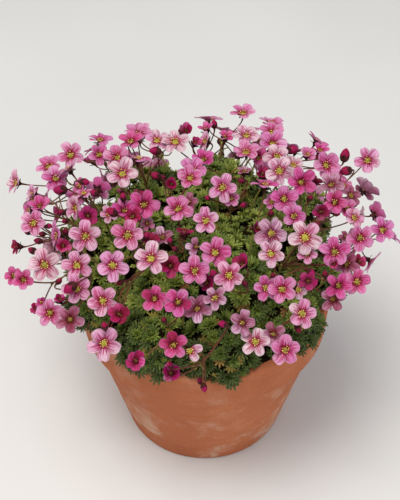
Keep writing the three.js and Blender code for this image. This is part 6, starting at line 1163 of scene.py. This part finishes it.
def flower(petals, green, middle, at, facing, petal_dir, group, radius, rise, mask, tone):
    B = basis(facing, petal_dir)
    place = lambda p: np.asarray(at) + p @ B.T
    old = group in "VQ"
    open_ = 1 - smooth(12, 42, rise)  # 1 flat open, 0 still a cup
    r0 = 0.11 * radius
    wide = WIDTH[group] + rng.normal(0, 0.035)
    hue = float(np.clip(rng.normal(0.12, 0.4), -0.25, 0.9))
    for k in range(5):
        if not (mask >> k) & 1:
            continue
        p = petal_points(
            length=(1.14 * radius - r0) * rng.uniform(0.93, 1.06),
            width=1.11 * wide * radius * rng.uniform(0.93, 1.07),
            widest=rng.uniform(0.50, 0.66),
            blunt=rng.uniform(1.9, 2.8),
            lopsided=rng.normal(0, 0.06),
            rise=rise + rng.normal(0, 6.0),
            curl=CURL[group] + rng.normal(0, 11.0),
            roll=math.radians(9.0) * (1 if not old else 0.5) + rng.normal(0, 0.07),
            channel=rng.uniform(0.04, 0.26) + (0.1 if old else 0),
            ruffle=rng.uniform(0.008, 0.034) * (1.8 if old else 1),
            phase=rng.uniform(0, 6.28),
            notch=max(0.0, rng.normal(0.01, 0.03)),
            r0=r0,
            z0=-0.55,
        )
        p = turn_z(p, k * 2 * math.pi / 5 + rng.normal(0, 0.035))
        t, s, side = PETAL[0].T
        petals.add(place(p), PETAL[1], PETAL[2], pt=t, ps=s, ptone=max(rng.normal(0, 1.0), -0.9 if old else -3.0), phue=hue + rng.normal(0, 0.12),
                   pdeep=DEPTH[group] + tone, pback=np.where(side < 0, 1.0, np.where(side == 0, 0.4, 0.0)))
    # Cup and sepals.
    cup = [(0, -3.45), (0.55, -3.3), (1.0, -2.6), (1.4, -1.8), (1.5, -1.0), (1.15, -0.62), (0, -0.6)]
    wave = lambda a, k: 1 + 0.05 * np.cos(5 * a)
    green.add(place(turned_points(cup, 8, wave)), CUP[0], CUP[1], mat=1, st=0.15, stone=rng.normal(0, 0.5))
    t, s, side = SEPAL[0].T
    for k in range(5):
        length = rng.uniform(2.5, 3.1)
        lean = math.radians(min(rise + 30 * (1 - open_), 74) * 0.9 - 7 + rng.normal(0, 5))
        half = 0.95 * np.sqrt(np.clip(1 - t**2.2, 0, 1))
        up = 0.12 * half * s**2 + side * 0.14 * (1 - s**2)
        out = 1.25 + length * t * math.cos(lean) - up * math.sin(lean)
        z = -1.25 + length * t * math.sin(lean) + up * math.cos(lean) - 0.35
        q = turn_z(np.stack([out, s * half, z], 1), (k + 0.5) * 2 * math.pi / 5 + rng.normal(0, 0.05))
        green.add(place(q), SEPAL[1], SEPAL[2], mat=1, st=0.3 + 0.5 * t, stone=rng.normal(0, 0.5))
    # Disc, styles and stamens.
    disc_size, stamens, brown = MIDDLE[group]
    rd = radius * disc_size * rng.uniform(0.92, 1.08)
    disc = [(0, -0.75), (rd * 0.9, -0.6), (rd, -0.1), (rd * 0.75, 0.28), (rd * 0.35, 0.42), (0, 0.4)]
    wave = lambda a, k: 1 + 0.07 * np.cos(10 * a)
    middle.add(place(turned_points(disc, 10, wave)), DISC[0], DISC[1], ct=0.24 + rng.normal(0, 0.04), ctone=brown)
    for k in range(2):
        a = rng.uniform(0, 6.28) if k == 0 else a + math.pi + rng.normal(0, 0.3)
        h = rng.uniform(1.5, 2.1)
        out = rng.uniform(0.35, 0.8)
        path = [[0.25 * rd * math.cos(a), 0.25 * rd * math.sin(a), 0.3],
                [0.6 * out * math.cos(a), 0.6 * out * math.sin(a), 0.3 + h * 0.6],
                [out * math.cos(a), out * math.sin(a), 0.3 + h]]
        middle.add(place(tube_points(path, [0.24, 0.17, 0.2], 3)), FILAMENT[0], FILAMENT[1], ct=0.6, ctone=brown)
    spin = rng.uniform(0, 0.6)
    for k in range(stamens):
        a = spin + k * 2 * math.pi / stamens + rng.normal(0, 0.16)
        length = radius * rng.uniform(0.13, 0.21)
        lean = math.radians(rng.uniform(40, 82) + 8 * (1 - open_))
        c, s_ = math.cos(a), math.sin(a)
        r1 = rd * 0.85
        tip = np.array([(r1 + length * math.cos(lean)) * c, (r1 + length * math.cos(lean)) * s_, -0.1 + length * math.sin(lean)])
        mid = np.array([(r1 + 0.55 * length * math.cos(lean)) * c, (r1 + 0.55 * length * math.cos(lean)) * s_, -0.1 + 0.42 * length * math.sin(lean)])
        foot = np.array([r1 * c, r1 * s_, -0.35])
        middle.add(place(tube_points([foot, mid, tip], [0.15, 0.11, 0.1], 3)), FILAMENT[0], FILAMENT[1], ct=0.42, ctone=brown + 0.25)
        w, h = rng.uniform(0.34, 0.44), rng.uniform(0.28, 0.36)
        q = turned_points([(0, -h), (w * 0.8, -h * 0.55), (w, 0), (w * 0.8, h * 0.55), (0, h)], 5) * [1.15, 0.9, 1]
        middle.add(place(turn_z(q, a + rng.normal(0, 0.4)) + tip), ANTHER[0], ANTHER[1], mat=1,
                   ctone=np.clip(rng.normal(0.25, 0.25) + brown, 0, 1.2))


def bud(petals, green, at, facing, petal_dir, group, radius, length, tone):
    B = basis(facing, petal_dir)
    place = lambda p: np.asarray(at) + p @ B.T
    h = length / 2
    prof = [(0, -h), (0.62, -h * 0.82), (0.9, -h * 0.5), (1.0, -h * 0.12), (0.96, h * 0.2), (0.8, h * 0.5), (0.55, h * 0.75), (0.3, h * 0.92), (0.12, h * 1.0), (0, h * 1.02)]
    turn = rng.uniform(0.8, 1.4)
    wave = lambda a, k: 1 + 0.075 * np.sin(5 * a + 5 * turn * k) * smooth(0.1, 0.5, k)
    p = turned_points([(r * radius, z) for r, z in prof], 15, wave)
    t = np.concatenate([[0], np.repeat(np.arange(1, 9) / 9, 15), [1]])
    ang = np.concatenate([[0], np.tile(np.arange(15) / 15 * 2 * math.pi, 8), [0]])
    petals.add(place(p), BUD[0], BUD[1], pt=0.42 + 0.2 * t, ps=np.sin(2.5 * ang + 2.5 * turn * t), ptone=rng.normal(-0.4, 0.3),
               pdeep=DEPTH[group] + tone * 0.5, pback=0.0, phue=rng.normal(0.15, 0.2))
    # Calyx: a cup round the foot with five lobes pressed to the bud.
    r = radius
    cup = [(0, -h - 0.55), (0.5, -h - 0.5), (r * 0.75, -h * 0.86), (r * 0.99, -h * 0.55), (r * 1.04, -h * 0.34), (r * 0.9, -h * 0.3), (0, -h * 0.35)]
    green.add(place(turned_points(cup, 8)), CUP[0], CUP[1], mat=1, st=0.1, stone=rng.normal(-0.3, 0.5))
    t, s, side = SEPAL[0].T
    for k in range(5):
        z = -h * 0.5 + t * h * 0.62
        rr = np.interp(z, [q[1] for q in prof], [q[0] for q in prof]) * r + 0.06 + side * 0.1 * (1 - s**2)
        half = 0.62 * np.sqrt(np.clip(1 - t**1.6, 0, 1))
        ang = s * half
        q = np.stack([rr * np.cos(ang), rr * np.sin(ang), z], 1)
        green.add(place(turn_z(q, (k + 0.5) * 2 * math.pi / 5)), SEPAL[1], SEPAL[2], mat=1, st=0.25 + 0.35 * t, stone=rng.normal(-0.4, 0.5))


def bract(green, at, along, out, length, red):
    """A narrow small leaf on a stem."""
    B = basis(out, along)  # x along the stem, z away from it
    t, s, side = SEPAL[0].T
    half = 0.55 * (1 - t**1.8) ** 0.5 * (0.75 + 0.5 * t)
    lift = 0.4 + length * (0.25 * t + 0.5 * t**2)
    x = length * (0.95 * t - 0.25 * t**2)
    p = np.stack([x, s * half, lift + side * 0.1 * (1 - s**2) + 0.2 * half * s**2], 1)
    green.add(np.asarray(at) + p @ B.T, SEPAL[1], SEPAL[2], mat=0, st=t, stone=rng.normal(0, 0.5), sred=red)


for k, (foot, guide_a, guide_b, fork, carried) in enumerate(STEMS, 1):
    green = Shells("st", "stone", "sred", "lt", "ltone", "lage", "ldead", "lmid")
    petals = Shells("pt", "ps", "ptone", "pdeep", "pback", "phue")
    middle = Shells("ct", "ctone")
    curve = [foot, guide_a, guide_b, fork]
    down = unit(np.asarray(foot) - np.asarray(guide_a))
    path = bezier(curve, np.linspace(0, 1, 15))
    low = np.asarray(foot) + down * 9.0 + np.array([0, 0, -3.0])
    path = np.concatenate([[low, (low + path[0]) / 2 + down * 0.5], path])
    radii = np.linspace(0.64, 0.50, len(path))
    radii = radii * (1 + 0.05 * rng.normal(size=len(path)))
    along = np.linspace(0, 1, len(path))
    shade = rng.uniform(-0.12, 0.12)
    green.add(tube_points(path, radii, 6), SCAPE[0], SCAPE[1], st=np.repeat(along, 6), stone=rng.normal(0, 0.6),
              sred=np.repeat(0.06 + 0.5 * along + shade, 6))
    for place_ in (rng.uniform(0.08, 0.2), rng.uniform(0.3, 0.5), rng.uniform(0.6, 0.85)):
        p = bezier(curve, [place_])[0]
        tangent = bezier_tangent(curve, place_)
        leaf(green, p, basis(tangent, rng.normal(size=3)), rng.uniform(0, 6.28), 0 if place_ < 0.4 else 4, rng.uniform(5.0, 7.4) * (1.1 - 0.4 * place_),
             rng.uniform(18, 30), rng.uniform(40, 75), rng.normal(0, 0.6), rng.uniform(-0.1, 0.35), 0.0, rng.normal(0, 0.4),
             rng.uniform(0.7, 0.95), mat=2)
    for kind, group, at, facing, petal_dir, radius, length, rise, mask, place_, bend_a, bend_b in carried:
        z = unit(facing)
        tangent = bezier_tangent(curve, place_)
        start = bezier(curve, [place_])[0] - 0.4 * tangent
        end = np.asarray(at) - z * (3.2 if kind == "f" else length / 2 + 0.3)
        span = np.linalg.norm(end - start)
        lead = unit(0.75 * tangent + 0.45 * unit(end - start))
        p = bezier([start, start + lead * span * bend_a, end - z * span * bend_b, end], np.linspace(0, 1, 12))
        t = np.linspace(0, 1, 12)
        r = 0.42 - 0.03 * t + 0.28 * smooth(0.86, 1.0, t)
        green.add(tube_points(p, r, 5), BRANCH[0], BRANCH[1], st=np.repeat(t, 5), stone=rng.normal(0, 0.6),
                  sred=np.repeat(0.48 + 0.42 * t + shade, 5))
        if rng.random() < 0.7:
            bract(green, start + 0.4 * tangent, tangent, np.cross(tangent, unit(rng.normal(size=3))), rng.uniform(2.4, 3.8), 0.4)
        tone = rng.normal(0, 0.03)
        if kind == "f":
            flower(petals, green, middle, at, facing, petal_dir, group, radius, rise, int(mask), tone)
        else:
            bud(petals, green, at, facing, petal_dir, group, radius, length, tone)
    name = "flower_stem_%02d" % k
    ob = green.build("stem_%02d" % k, [stem_mat, calyx_mat, leaf_mat])
    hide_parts(name)
    ob = petals.build("petals_%02d" % k, [petal_mat], crease=75.0)
    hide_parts(name)
    if middle.shells:
        ob = middle.build("stamens_%02d" % k, [centre_mat, anther_mat])
        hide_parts(name)


# --------------------------------------------------------------------- leaves
C = np.array(CLUMPS)


def cell_of(p):
    return int(((C[:, 0] - p[0]) ** 2 + (C[:, 1] - p[1]) ** 2).argmin())


def depth_in(p, i):
    """How far out p lies in clump i: 1 on its rounded surface, less inside."""
    cx, cy, cz, a, b, c, turn = CLUMPS[i]
    q = turn_z((np.asarray(p) - [cx, cy, cz])[None], -turn)[0]
    return math.sqrt((q[0] / a) ** 2 + (q[1] / b) ** 2 + (q[2] / c) ** 2)


# Rosette places: spread over the outside of all the clumps together, each set
# beside its neighbours so that few gaps stay.
SPACING = 9.3
spots = []
for i, (cx, cy, cz, a, b, c, turn) in enumerate(CLUMPS):
    count = 900
    for j in range(count):
        zf = 1 - (j + 0.5) / count * 1.55
        ring = math.sqrt(max(0.0, 1 - zf * zf))
        th = j * 2.399963 + i
        u = np.array([a * ring * math.cos(th), b * ring * math.sin(th), c * zf])
        p = turn_z(u[None], turn)[0] + [cx, cy, cz]
        rad = math.hypot(p[0], p[1])
        if p[2] < (107.5 if rad < 76 else 104.5):
            continue
        if min(depth_in(p, k) for k in range(len(CLUMPS)) if k != i) < 0.985:
            continue
        nrm = turn_z((u / np.array([a * a, b * b, c * c]))[None], turn)[0]
        spots.append((i, p, unit(nrm)))
# Low places between the clumps, down to the soil.
for gx in np.arange(-70, 71, 2.5):
    for gy in np.arange(-70, 71, 2.5):
        p = np.array([gx, gy, 108.5]) + rng.uniform(-1, 1, 3)
        if math.hypot(gx, gy) < 71 and min(depth_in(p, k) for k in range(len(CLUMPS))) > 1.02:
            out = np.array([p[0], p[1], 0]) / 71
            spots.append((cell_of(p), p, unit(np.array([0, 0, 1]) + 0.5 * out)))
where = np.array([q[1] for q in spots])
near = np.full(len(spots), 60.0)
kept = []
while True:
    open_spots = np.flatnonzero(near > SPACING * rng.uniform(0.93, 1.07))
    if not len(open_spots):
        break
    pick = open_spots[(near[open_spots] + rng.uniform(0, 1.2, len(open_spots))).argmin()]
    kept.append(spots[pick])
    near = np.minimum(near, np.linalg.norm(where - where[pick], axis=1))
# Shoots that have grown over the two deep furrows at the back.
for p in ((-15.5, 67.5, 136.0), (-20.5, 70.0, 137.0), (-14.5, 72.5, 129.0), (-17.5, 76.0, 121.5), (-14.0, 77.5, 113.5),
          (32.5, 70.5, 131.0), (37.5, 63.5, 131.0), (35.5, 70.5, 122.5), (41.0, 65.0, 120.5), (38.5, 70.5, 113.5)):
    p = np.array(p)
    kept.append((cell_of(p), p, unit(np.array([p[0] / 75, p[1] / 75, (p[2] - 105) / 30]))))


def off_wall(q, top=False):
    """Keeps a point of a shoot over the pot's rim; its top may also hang outside."""
    q = np.array(q)
    r = math.hypot(q[0], q[1])
    if r > 64.0 and q[2] < 106.4:
        if top and 76.6 - r < 106.4 - q[2]:
            q[:2] *= max(1.0, 76.6 / r)
        else:
            q[2] = 106.4
    return q


clump_leaves = [Shells("lt", "ltone", "lage", "ldead", "lmid") for _ in CLUMPS]
core = Shells("lt", "ltone", "lage", "ldead", "lmid")
TWIG = tube_template(4, 2)
for i, p, nrm in kept:
    shells = clump_leaves[i]
    axis = unit(0.8 * nrm + np.array([0, 0, 0.42]) + rng.normal(0, 0.15, 3))
    depth = rng.uniform(4.2, 6.8)
    base = p - axis * depth
    B = basis(axis, rng.normal(size=3))
    size = rng.uniform(0.8, 1.2)
    young = rng.uniform(-0.2, 0.34)
    # Painted shade: leaves low on the cushion and at its front get a darker green through their age number, for the
    # shade they lie in.
    shade = 0.03 + 0.70 * float(smooth(136.0, 107.0, p[2])) + 0.14 * float(smooth(-25.0, -70.0, p[1]))
    n = int(rng.integers(11, 15))
    for j in range(n):
        q = j / (n - 1)  # 0 innermost, 1 outermost
        kind = 0 if q < 0.22 else int(rng.choice([1, 2, 3], p=[0.45, 0.3, 0.25]))
        length = size * (4.6 + 4.6 * q ** 0.6) * rng.uniform(0.84, 1.14)
        start = 10 + 44 * q
        end = 30 + 68 * q + rng.normal(0, 11)
        dead = 0.0
        if q > 0.7 and rng.random() < 0.14 + 0.14 * float(smooth(124.0, 106.0, p[2])):
            dead = rng.uniform(0.15, 1.0)
        leaf(shells, base + axis * (1.6 * (1 - q)), B, j * 2.399963 + rng.normal(0, 0.12), kind, length, start,
             end + 18 * dead, rng.normal(0, 0.6), shade + young + 0.62 * q, dead, rng.normal(0, 0.5),
             rng.uniform(0.9, 1.12))
    foot = base - axis * 7.0 + rng.normal(0, 0.8, 3)
    bend = (foot + base) / 2 + rng.normal(0, 0.5, 3)
    foot, bend, tip = off_wall(foot), off_wall(bend), off_wall(base + axis * 1.2, top=True)
    far = math.hypot(tip[0], tip[1])
    if far > 76.0:  # a rosette that hangs outside: its shoot comes over the rim
        bend = np.array([77.0 * tip[0] / far, 77.0 * tip[1] / far, max(106.9, bend[2])])
        foot = np.array([66.0 * tip[0] / far, 66.0 * tip[1] / far, max(107.8, foot[2])])
    core.add(tube_points([foot, bend, tip], [0.8, 0.75, 0.6], 4), TWIG[0], TWIG[1])

for i, shells in enumerate(clump_leaves, 1):
    ob = shells.build("leaves_%02d" % i, [leaf_mat], crease=60.0)
    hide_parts("leaf_clump_%02d" % i)

# Old growth inside the cushion: a lumpy mass of withered shoots in each clump, near-black as painted shade in the gaps.
LUMP = turned_template(28, 15)
for i, (cx, cy, cz, a, b, c, turn) in enumerate(CLUMPS):
    th = np.linspace(0, math.pi, 17)
    prof = [(math.sin(q), -math.cos(q)) for q in th]
    p = turned_points(prof, 28)
    bump = sum(
        np.sin(p @ (rng.normal(size=3) * f) + rng.uniform(0, 6.28)) * w
        for f, w in ((3, 0.03), (6, 0.025), (6, 0.025), (11, 0.02), (11, 0.02), (17, 0.016), (17, 0.016))
    )
    p = p * (0.74 + bump[:, None]) * [a, b, c]
    p = turn_z(p, turn) + [cx, cy, cz]
    low = 100.0
    p[:, 2] = np.where(p[:, 2] < low, low + (p[:, 2] - low) * 0.03, p[:, 2])
    inside = np.hypot(p[:, 0], p[:, 1])
    squeeze = np.where((p[:, 2] < 106) & (inside > 66), 66 / np.maximum(inside, 1), 1.0)
    p[:, 0] *= squeeze
    p[:, 1] *= squeeze
    core.add(p, LUMP[0], LUMP[1])
    # Withered leaves that still hang on the old shoots.
    for j in range(20):
        u = unit(rng.normal(size=3) * [1, 1, 0.8] + [0, 0, 0.35])
        q = turn_z((u * 0.8 * np.array([a, b, c]))[None], turn)[0] + [cx, cy, cz]
        if cell_of(q) != i or q[2] < 106:
            continue
        out = turn_z((u / np.array([a, b, c]))[None], turn)[0]
        leaf(core, q, basis(out, rng.normal(size=3)), rng.uniform(0, 6.28), int(rng.integers(0, 2)), rng.uniform(5.5, 8.5),
             rng.uniform(30, 60), rng.uniform(70, 120), rng.normal(0, 0.6), 0.9, rng.uniform(0.55, 1.0), rng.normal(0, 0.8),
             rng.uniform(0.6, 0.9), mat=1)
ob = core.build("old_growth_and_shade", [litter_and_shade_mat, leaf_mat], crease=60.0)

# ------------------------------------------------------------------------ pot
collar_foot = POT_HEIGHT - POT_COLLAR_HEIGHT
wall = POT_RIM_RADIUS - POT_COLLAR_STEP


def rounded(profile, reach, steps=4):
    """Rounds each inner corner of an open profile with a short curve."""
    out = [profile[0]]
    for (x0, y0), (x1, y1), (x2, y2), r in zip(profile, profile[1:], profile[2:], reach):
        if r <= 0:
            out.append((x1, y1))
            continue
        a, b, c = np.array([x0, y0]), np.array([x1, y1]), np.array([x2, y2])
        p = b + unit(a - b) * min(r, np.linalg.norm(a - b) * 0.45)
        q = b + unit(c - b) * min(r, np.linalg.norm(c - b) * 0.45)
        for t in np.linspace(0, 1, steps + 1):
            out.append(tuple((1 - t) ** 2 * p + 2 * t * (1 - t) * b + t * t * q))
    out.append(profile[-1])
    return out


def split_long(profile, most):
    out = [profile[0]]
    for a, b in zip(profile, profile[1:]):
        n = max(1, math.ceil(math.dist(a, b) / most))
        out += [tuple(np.array(a) + (np.array(b) - np.array(a)) * k / n) for k in range(1, n + 1)]
    return out


pot_outline = [
    (0, 0), (POT_BASE_RADIUS - 1.2, 0), (POT_BASE_RADIUS, 1.6), (wall, collar_foot - 0.5),
    (POT_RIM_RADIUS - 1.2, collar_foot - 0.1), (POT_RIM_RADIUS - 0.9, collar_foot + 4.0),
    (POT_RIM_RADIUS - 0.2, POT_HEIGHT - 3.2),
    (POT_RIM_RADIUS - 1.1, POT_HEIGHT - 0.1), (POT_BORE_RIM + 0.6, POT_HEIGHT), (POT_BORE_RIM, POT_HEIGHT - 1.6),
    (POT_BORE_FLOOR, POT_FLOOR + 2.5), (POT_BORE_FLOOR - 3, POT_FLOOR), (0, POT_FLOOR),
]
reach = [1.2, 1.2, 0.7, 1.3, 3.0, 1.4, 1.6, 1.4, 1.2, 2.0, 2.0]
outline = split_long(rounded(pot_outline, reach), 6.0)
POT_SIDES = 144
me = bpy.data.meshes.new("pot_clay")
a = np.linspace(0, 2 * math.pi, POT_SIDES, endpoint=False)
rings, prof = [], outline[1:-1]
pts = [(0, 0, 0)]
for k, (r, z) in enumerate(prof):
    # Hand-turned: very shallow ridges on the wall.
    ridge = 0.10 * math.sin(z * 1.9) + 0.06 * math.sin(z * 4.3 + 1)
    free = 1.0 if 6 < z < POT_HEIGHT - 4 and r > POT_BORE_FLOOR else 0.0
    rr = r - 0.16 * free + ridge * free
    pts += [(rr * math.cos(q), rr * math.sin(q), z) for q in a]
pts.append((0, 0, POT_FLOOR))
at = lambda i, j: 1 + i * POT_SIDES + j % POT_SIDES
polys = [[0, at(0, j + 1), at(0, j)] for j in range(POT_SIDES)]
for i in range(len(prof) - 1):
    polys += [[at(i, j), at(i, j + 1), at(i + 1, j + 1), at(i + 1, j)] for j in range(POT_SIDES)]
last = len(prof) - 1
polys += [[at(last, j), at(last, j + 1), len(pts) - 1] for j in range(POT_SIDES)]
me.from_pydata([tuple(np.array(p) * MM) for p in pts], [], polys)
me.update()
pot = bpy.data.objects.new("clay_pot", me)
bpy.context.scene.collection.objects.link(pot)
me.materials.append(clay_mat)
# Drainage holes: three drills through the floor.
drills = []
for k in range(3):
    q = k / 3 * 2 * math.pi + math.pi / 6
    d = bpy.data.meshes.new("drill")
    n = 28
    ring0 = [(DRAIN_RING * math.cos(q) + DRAIN_RADIUS * math.cos(w), DRAIN_RING * math.sin(q) + DRAIN_RADIUS * math.sin(w)) for w in np.linspace(0, 2 * math.pi, n, endpoint=False)]
    vs = [(x * MM, y * MM, -0.004) for x, y in ring0] + [(x * MM, y * MM, (POT_FLOOR + 4) * MM) for x, y in ring0]
    fs = [[j, (j + 1) % n, n + (j + 1) % n, n + j] for j in range(n)] + [list(range(n))[::-1], list(range(n, 2 * n))]
    d.from_pydata(vs, [], fs)
    d.update()
    o = bpy.data.objects.new("drill", d)
    bpy.context.scene.collection.objects.link(o)
    m = pot.modifiers.new("hole", "BOOLEAN")
    m.operation = "DIFFERENCE"
    m.solver = "EXACT"
    m.object = o
    drills.append(o)
dg = bpy.context.evaluated_depsgraph_get()
done = bpy.data.meshes.new_from_object(pot.evaluated_get(dg))
pot.modifiers.clear()
pot.data = done
for o in drills:
    bpy.data.objects.remove(o)
done.polygons.foreach_set("use_smooth", np.ones(len(done.polygons), bool))
done.set_sharp_from_angle(angle=math.radians(38))
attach(pot, "root")
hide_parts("pot")

# ----------------------------------------------------------------------- soil
bore = lambda z: POT_BORE_FLOOR + (POT_BORE_RIM - POT_BORE_FLOOR) * (z - POT_FLOOR - 2.5) / (POT_HEIGHT - 1.6 - POT_FLOOR - 2.5)
soil = Shells("x")
rings = 26
top = [(bore(SOIL_TOP_EDGE) * (1 - k / rings) - 0.35 * (k == 0), SOIL_TOP_EDGE + (SOIL_TOP_MIDDLE - SOIL_TOP_EDGE) * (k / rings)) for k in range(rings)]
prof = [(0, POT_FLOOR + 0.35), (POT_BORE_FLOOR - 3.3, POT_FLOOR + 0.4), (bore(12) - 0.45, 12), (bore(40) - 0.45, 40), (bore(70) - 0.45, 70)] + top + [(0, SOIL_TOP_MIDDLE)]
SOIL_SIDES = 90
p = turned_points(prof, SOIL_SIDES)
z = p[:, 2]
bump = sum(np.sin(p[:, 0] * rng.normal(0, f) + p[:, 1] * rng.normal(0, f) + rng.uniform(0, 6.28)) for f in (0.15, 0.3, 0.5, 0.8, 1.1, 1.5, 2.0, 2.0, 2.6))
p[:, 2] = np.where(z > 94, z + 0.28 * bump, z)
T = turned_template(SOIL_SIDES, len(prof) - 2)
soil.add(p, T[0], T[1])
CRUMB = turned_template(6, 3)
for k in range(420):
    r = 67.0 * math.sqrt(rng.uniform(0.15, 1.0))
    q = rng.uniform(0, 2 * math.pi)
    size = rng.uniform(0.7, 2.2)
    ball = turned_points([(0, -1), (0.72, -0.62), (1, 0), (0.7, 0.65), (0, 1)], 6) * (1 + 0.18 * rng.normal(size=(20, 1)))
    ball = turn_z(ball * size * rng.uniform(0.6, 1.2, 3), rng.uniform(0, 6.28))
    edge = bore(SOIL_TOP_EDGE) - 0.5 - size * 1.3
    r = min(r, edge)
    soil.add(ball + [r * math.cos(q), r * math.sin(q), SOIL_TOP_EDGE + 0.9 + (1 - r / 67) * 2], CRUMB[0], CRUMB[1])
ob = soil.build("soil", [soil_mat])
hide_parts("potting_soil")

# The crown keeps its CAD form, with bark on it.
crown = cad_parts["crown"]
crown.data.materials.clear()
crown.data.materials.append(bark_mat)

# --------------------------------------------------------------- studio stage
size = 4.0
me = bpy.data.meshes.new("studio_floor")
me.from_pydata([(-size, -size, 0), (size, -size, 0), (size, size, 0), (-size, size, 0)], [], [[0, 1, 2, 3]])
floor = bpy.data.objects.new("studio_floor", me)
me.materials.append(floor_material())
bpy.context.scene.collection.objects.link(floor)

world = bpy.data.worlds.new("studio")
bpy.context.scene.world = world
world.use_nodes = True
sky = next(n for n in world.node_tree.nodes if n.type == "BACKGROUND")
sky.inputs["Color"].default_value = (0.93, 0.96, 1.0, 1.0)
sky.inputs["Strength"].default_value = 0.46


def area_light(name, where, towards, size, power, colour):
    data = bpy.data.lights.new(name, "AREA")
    data.shape = "DISK"
    data.size = size
    data.energy = power
    data.color = colour
    ob = bpy.data.objects.new(name, data)
    ob.location = where
    z = unit(np.array(where) - np.array(towards))
    m = basis(z, [1, 0, 0.01])
    from mathutils import Matrix
    ob.rotation_euler = Matrix(m.tolist()).to_euler()
    bpy.context.scene.collection.objects.link(ob)


area_light("key", (-0.35, -0.25, 1.5), (0, 0, 0.13), 0.9, 17.0, (1.0, 0.97, 0.92))
area_light("fill", (0.9, -1.0, 0.9), (0, 0, 0.1), 1.2, 5.0, (0.95, 0.97, 1.0))

bpy.context.scene.view_settings.view_transform = "Standard"
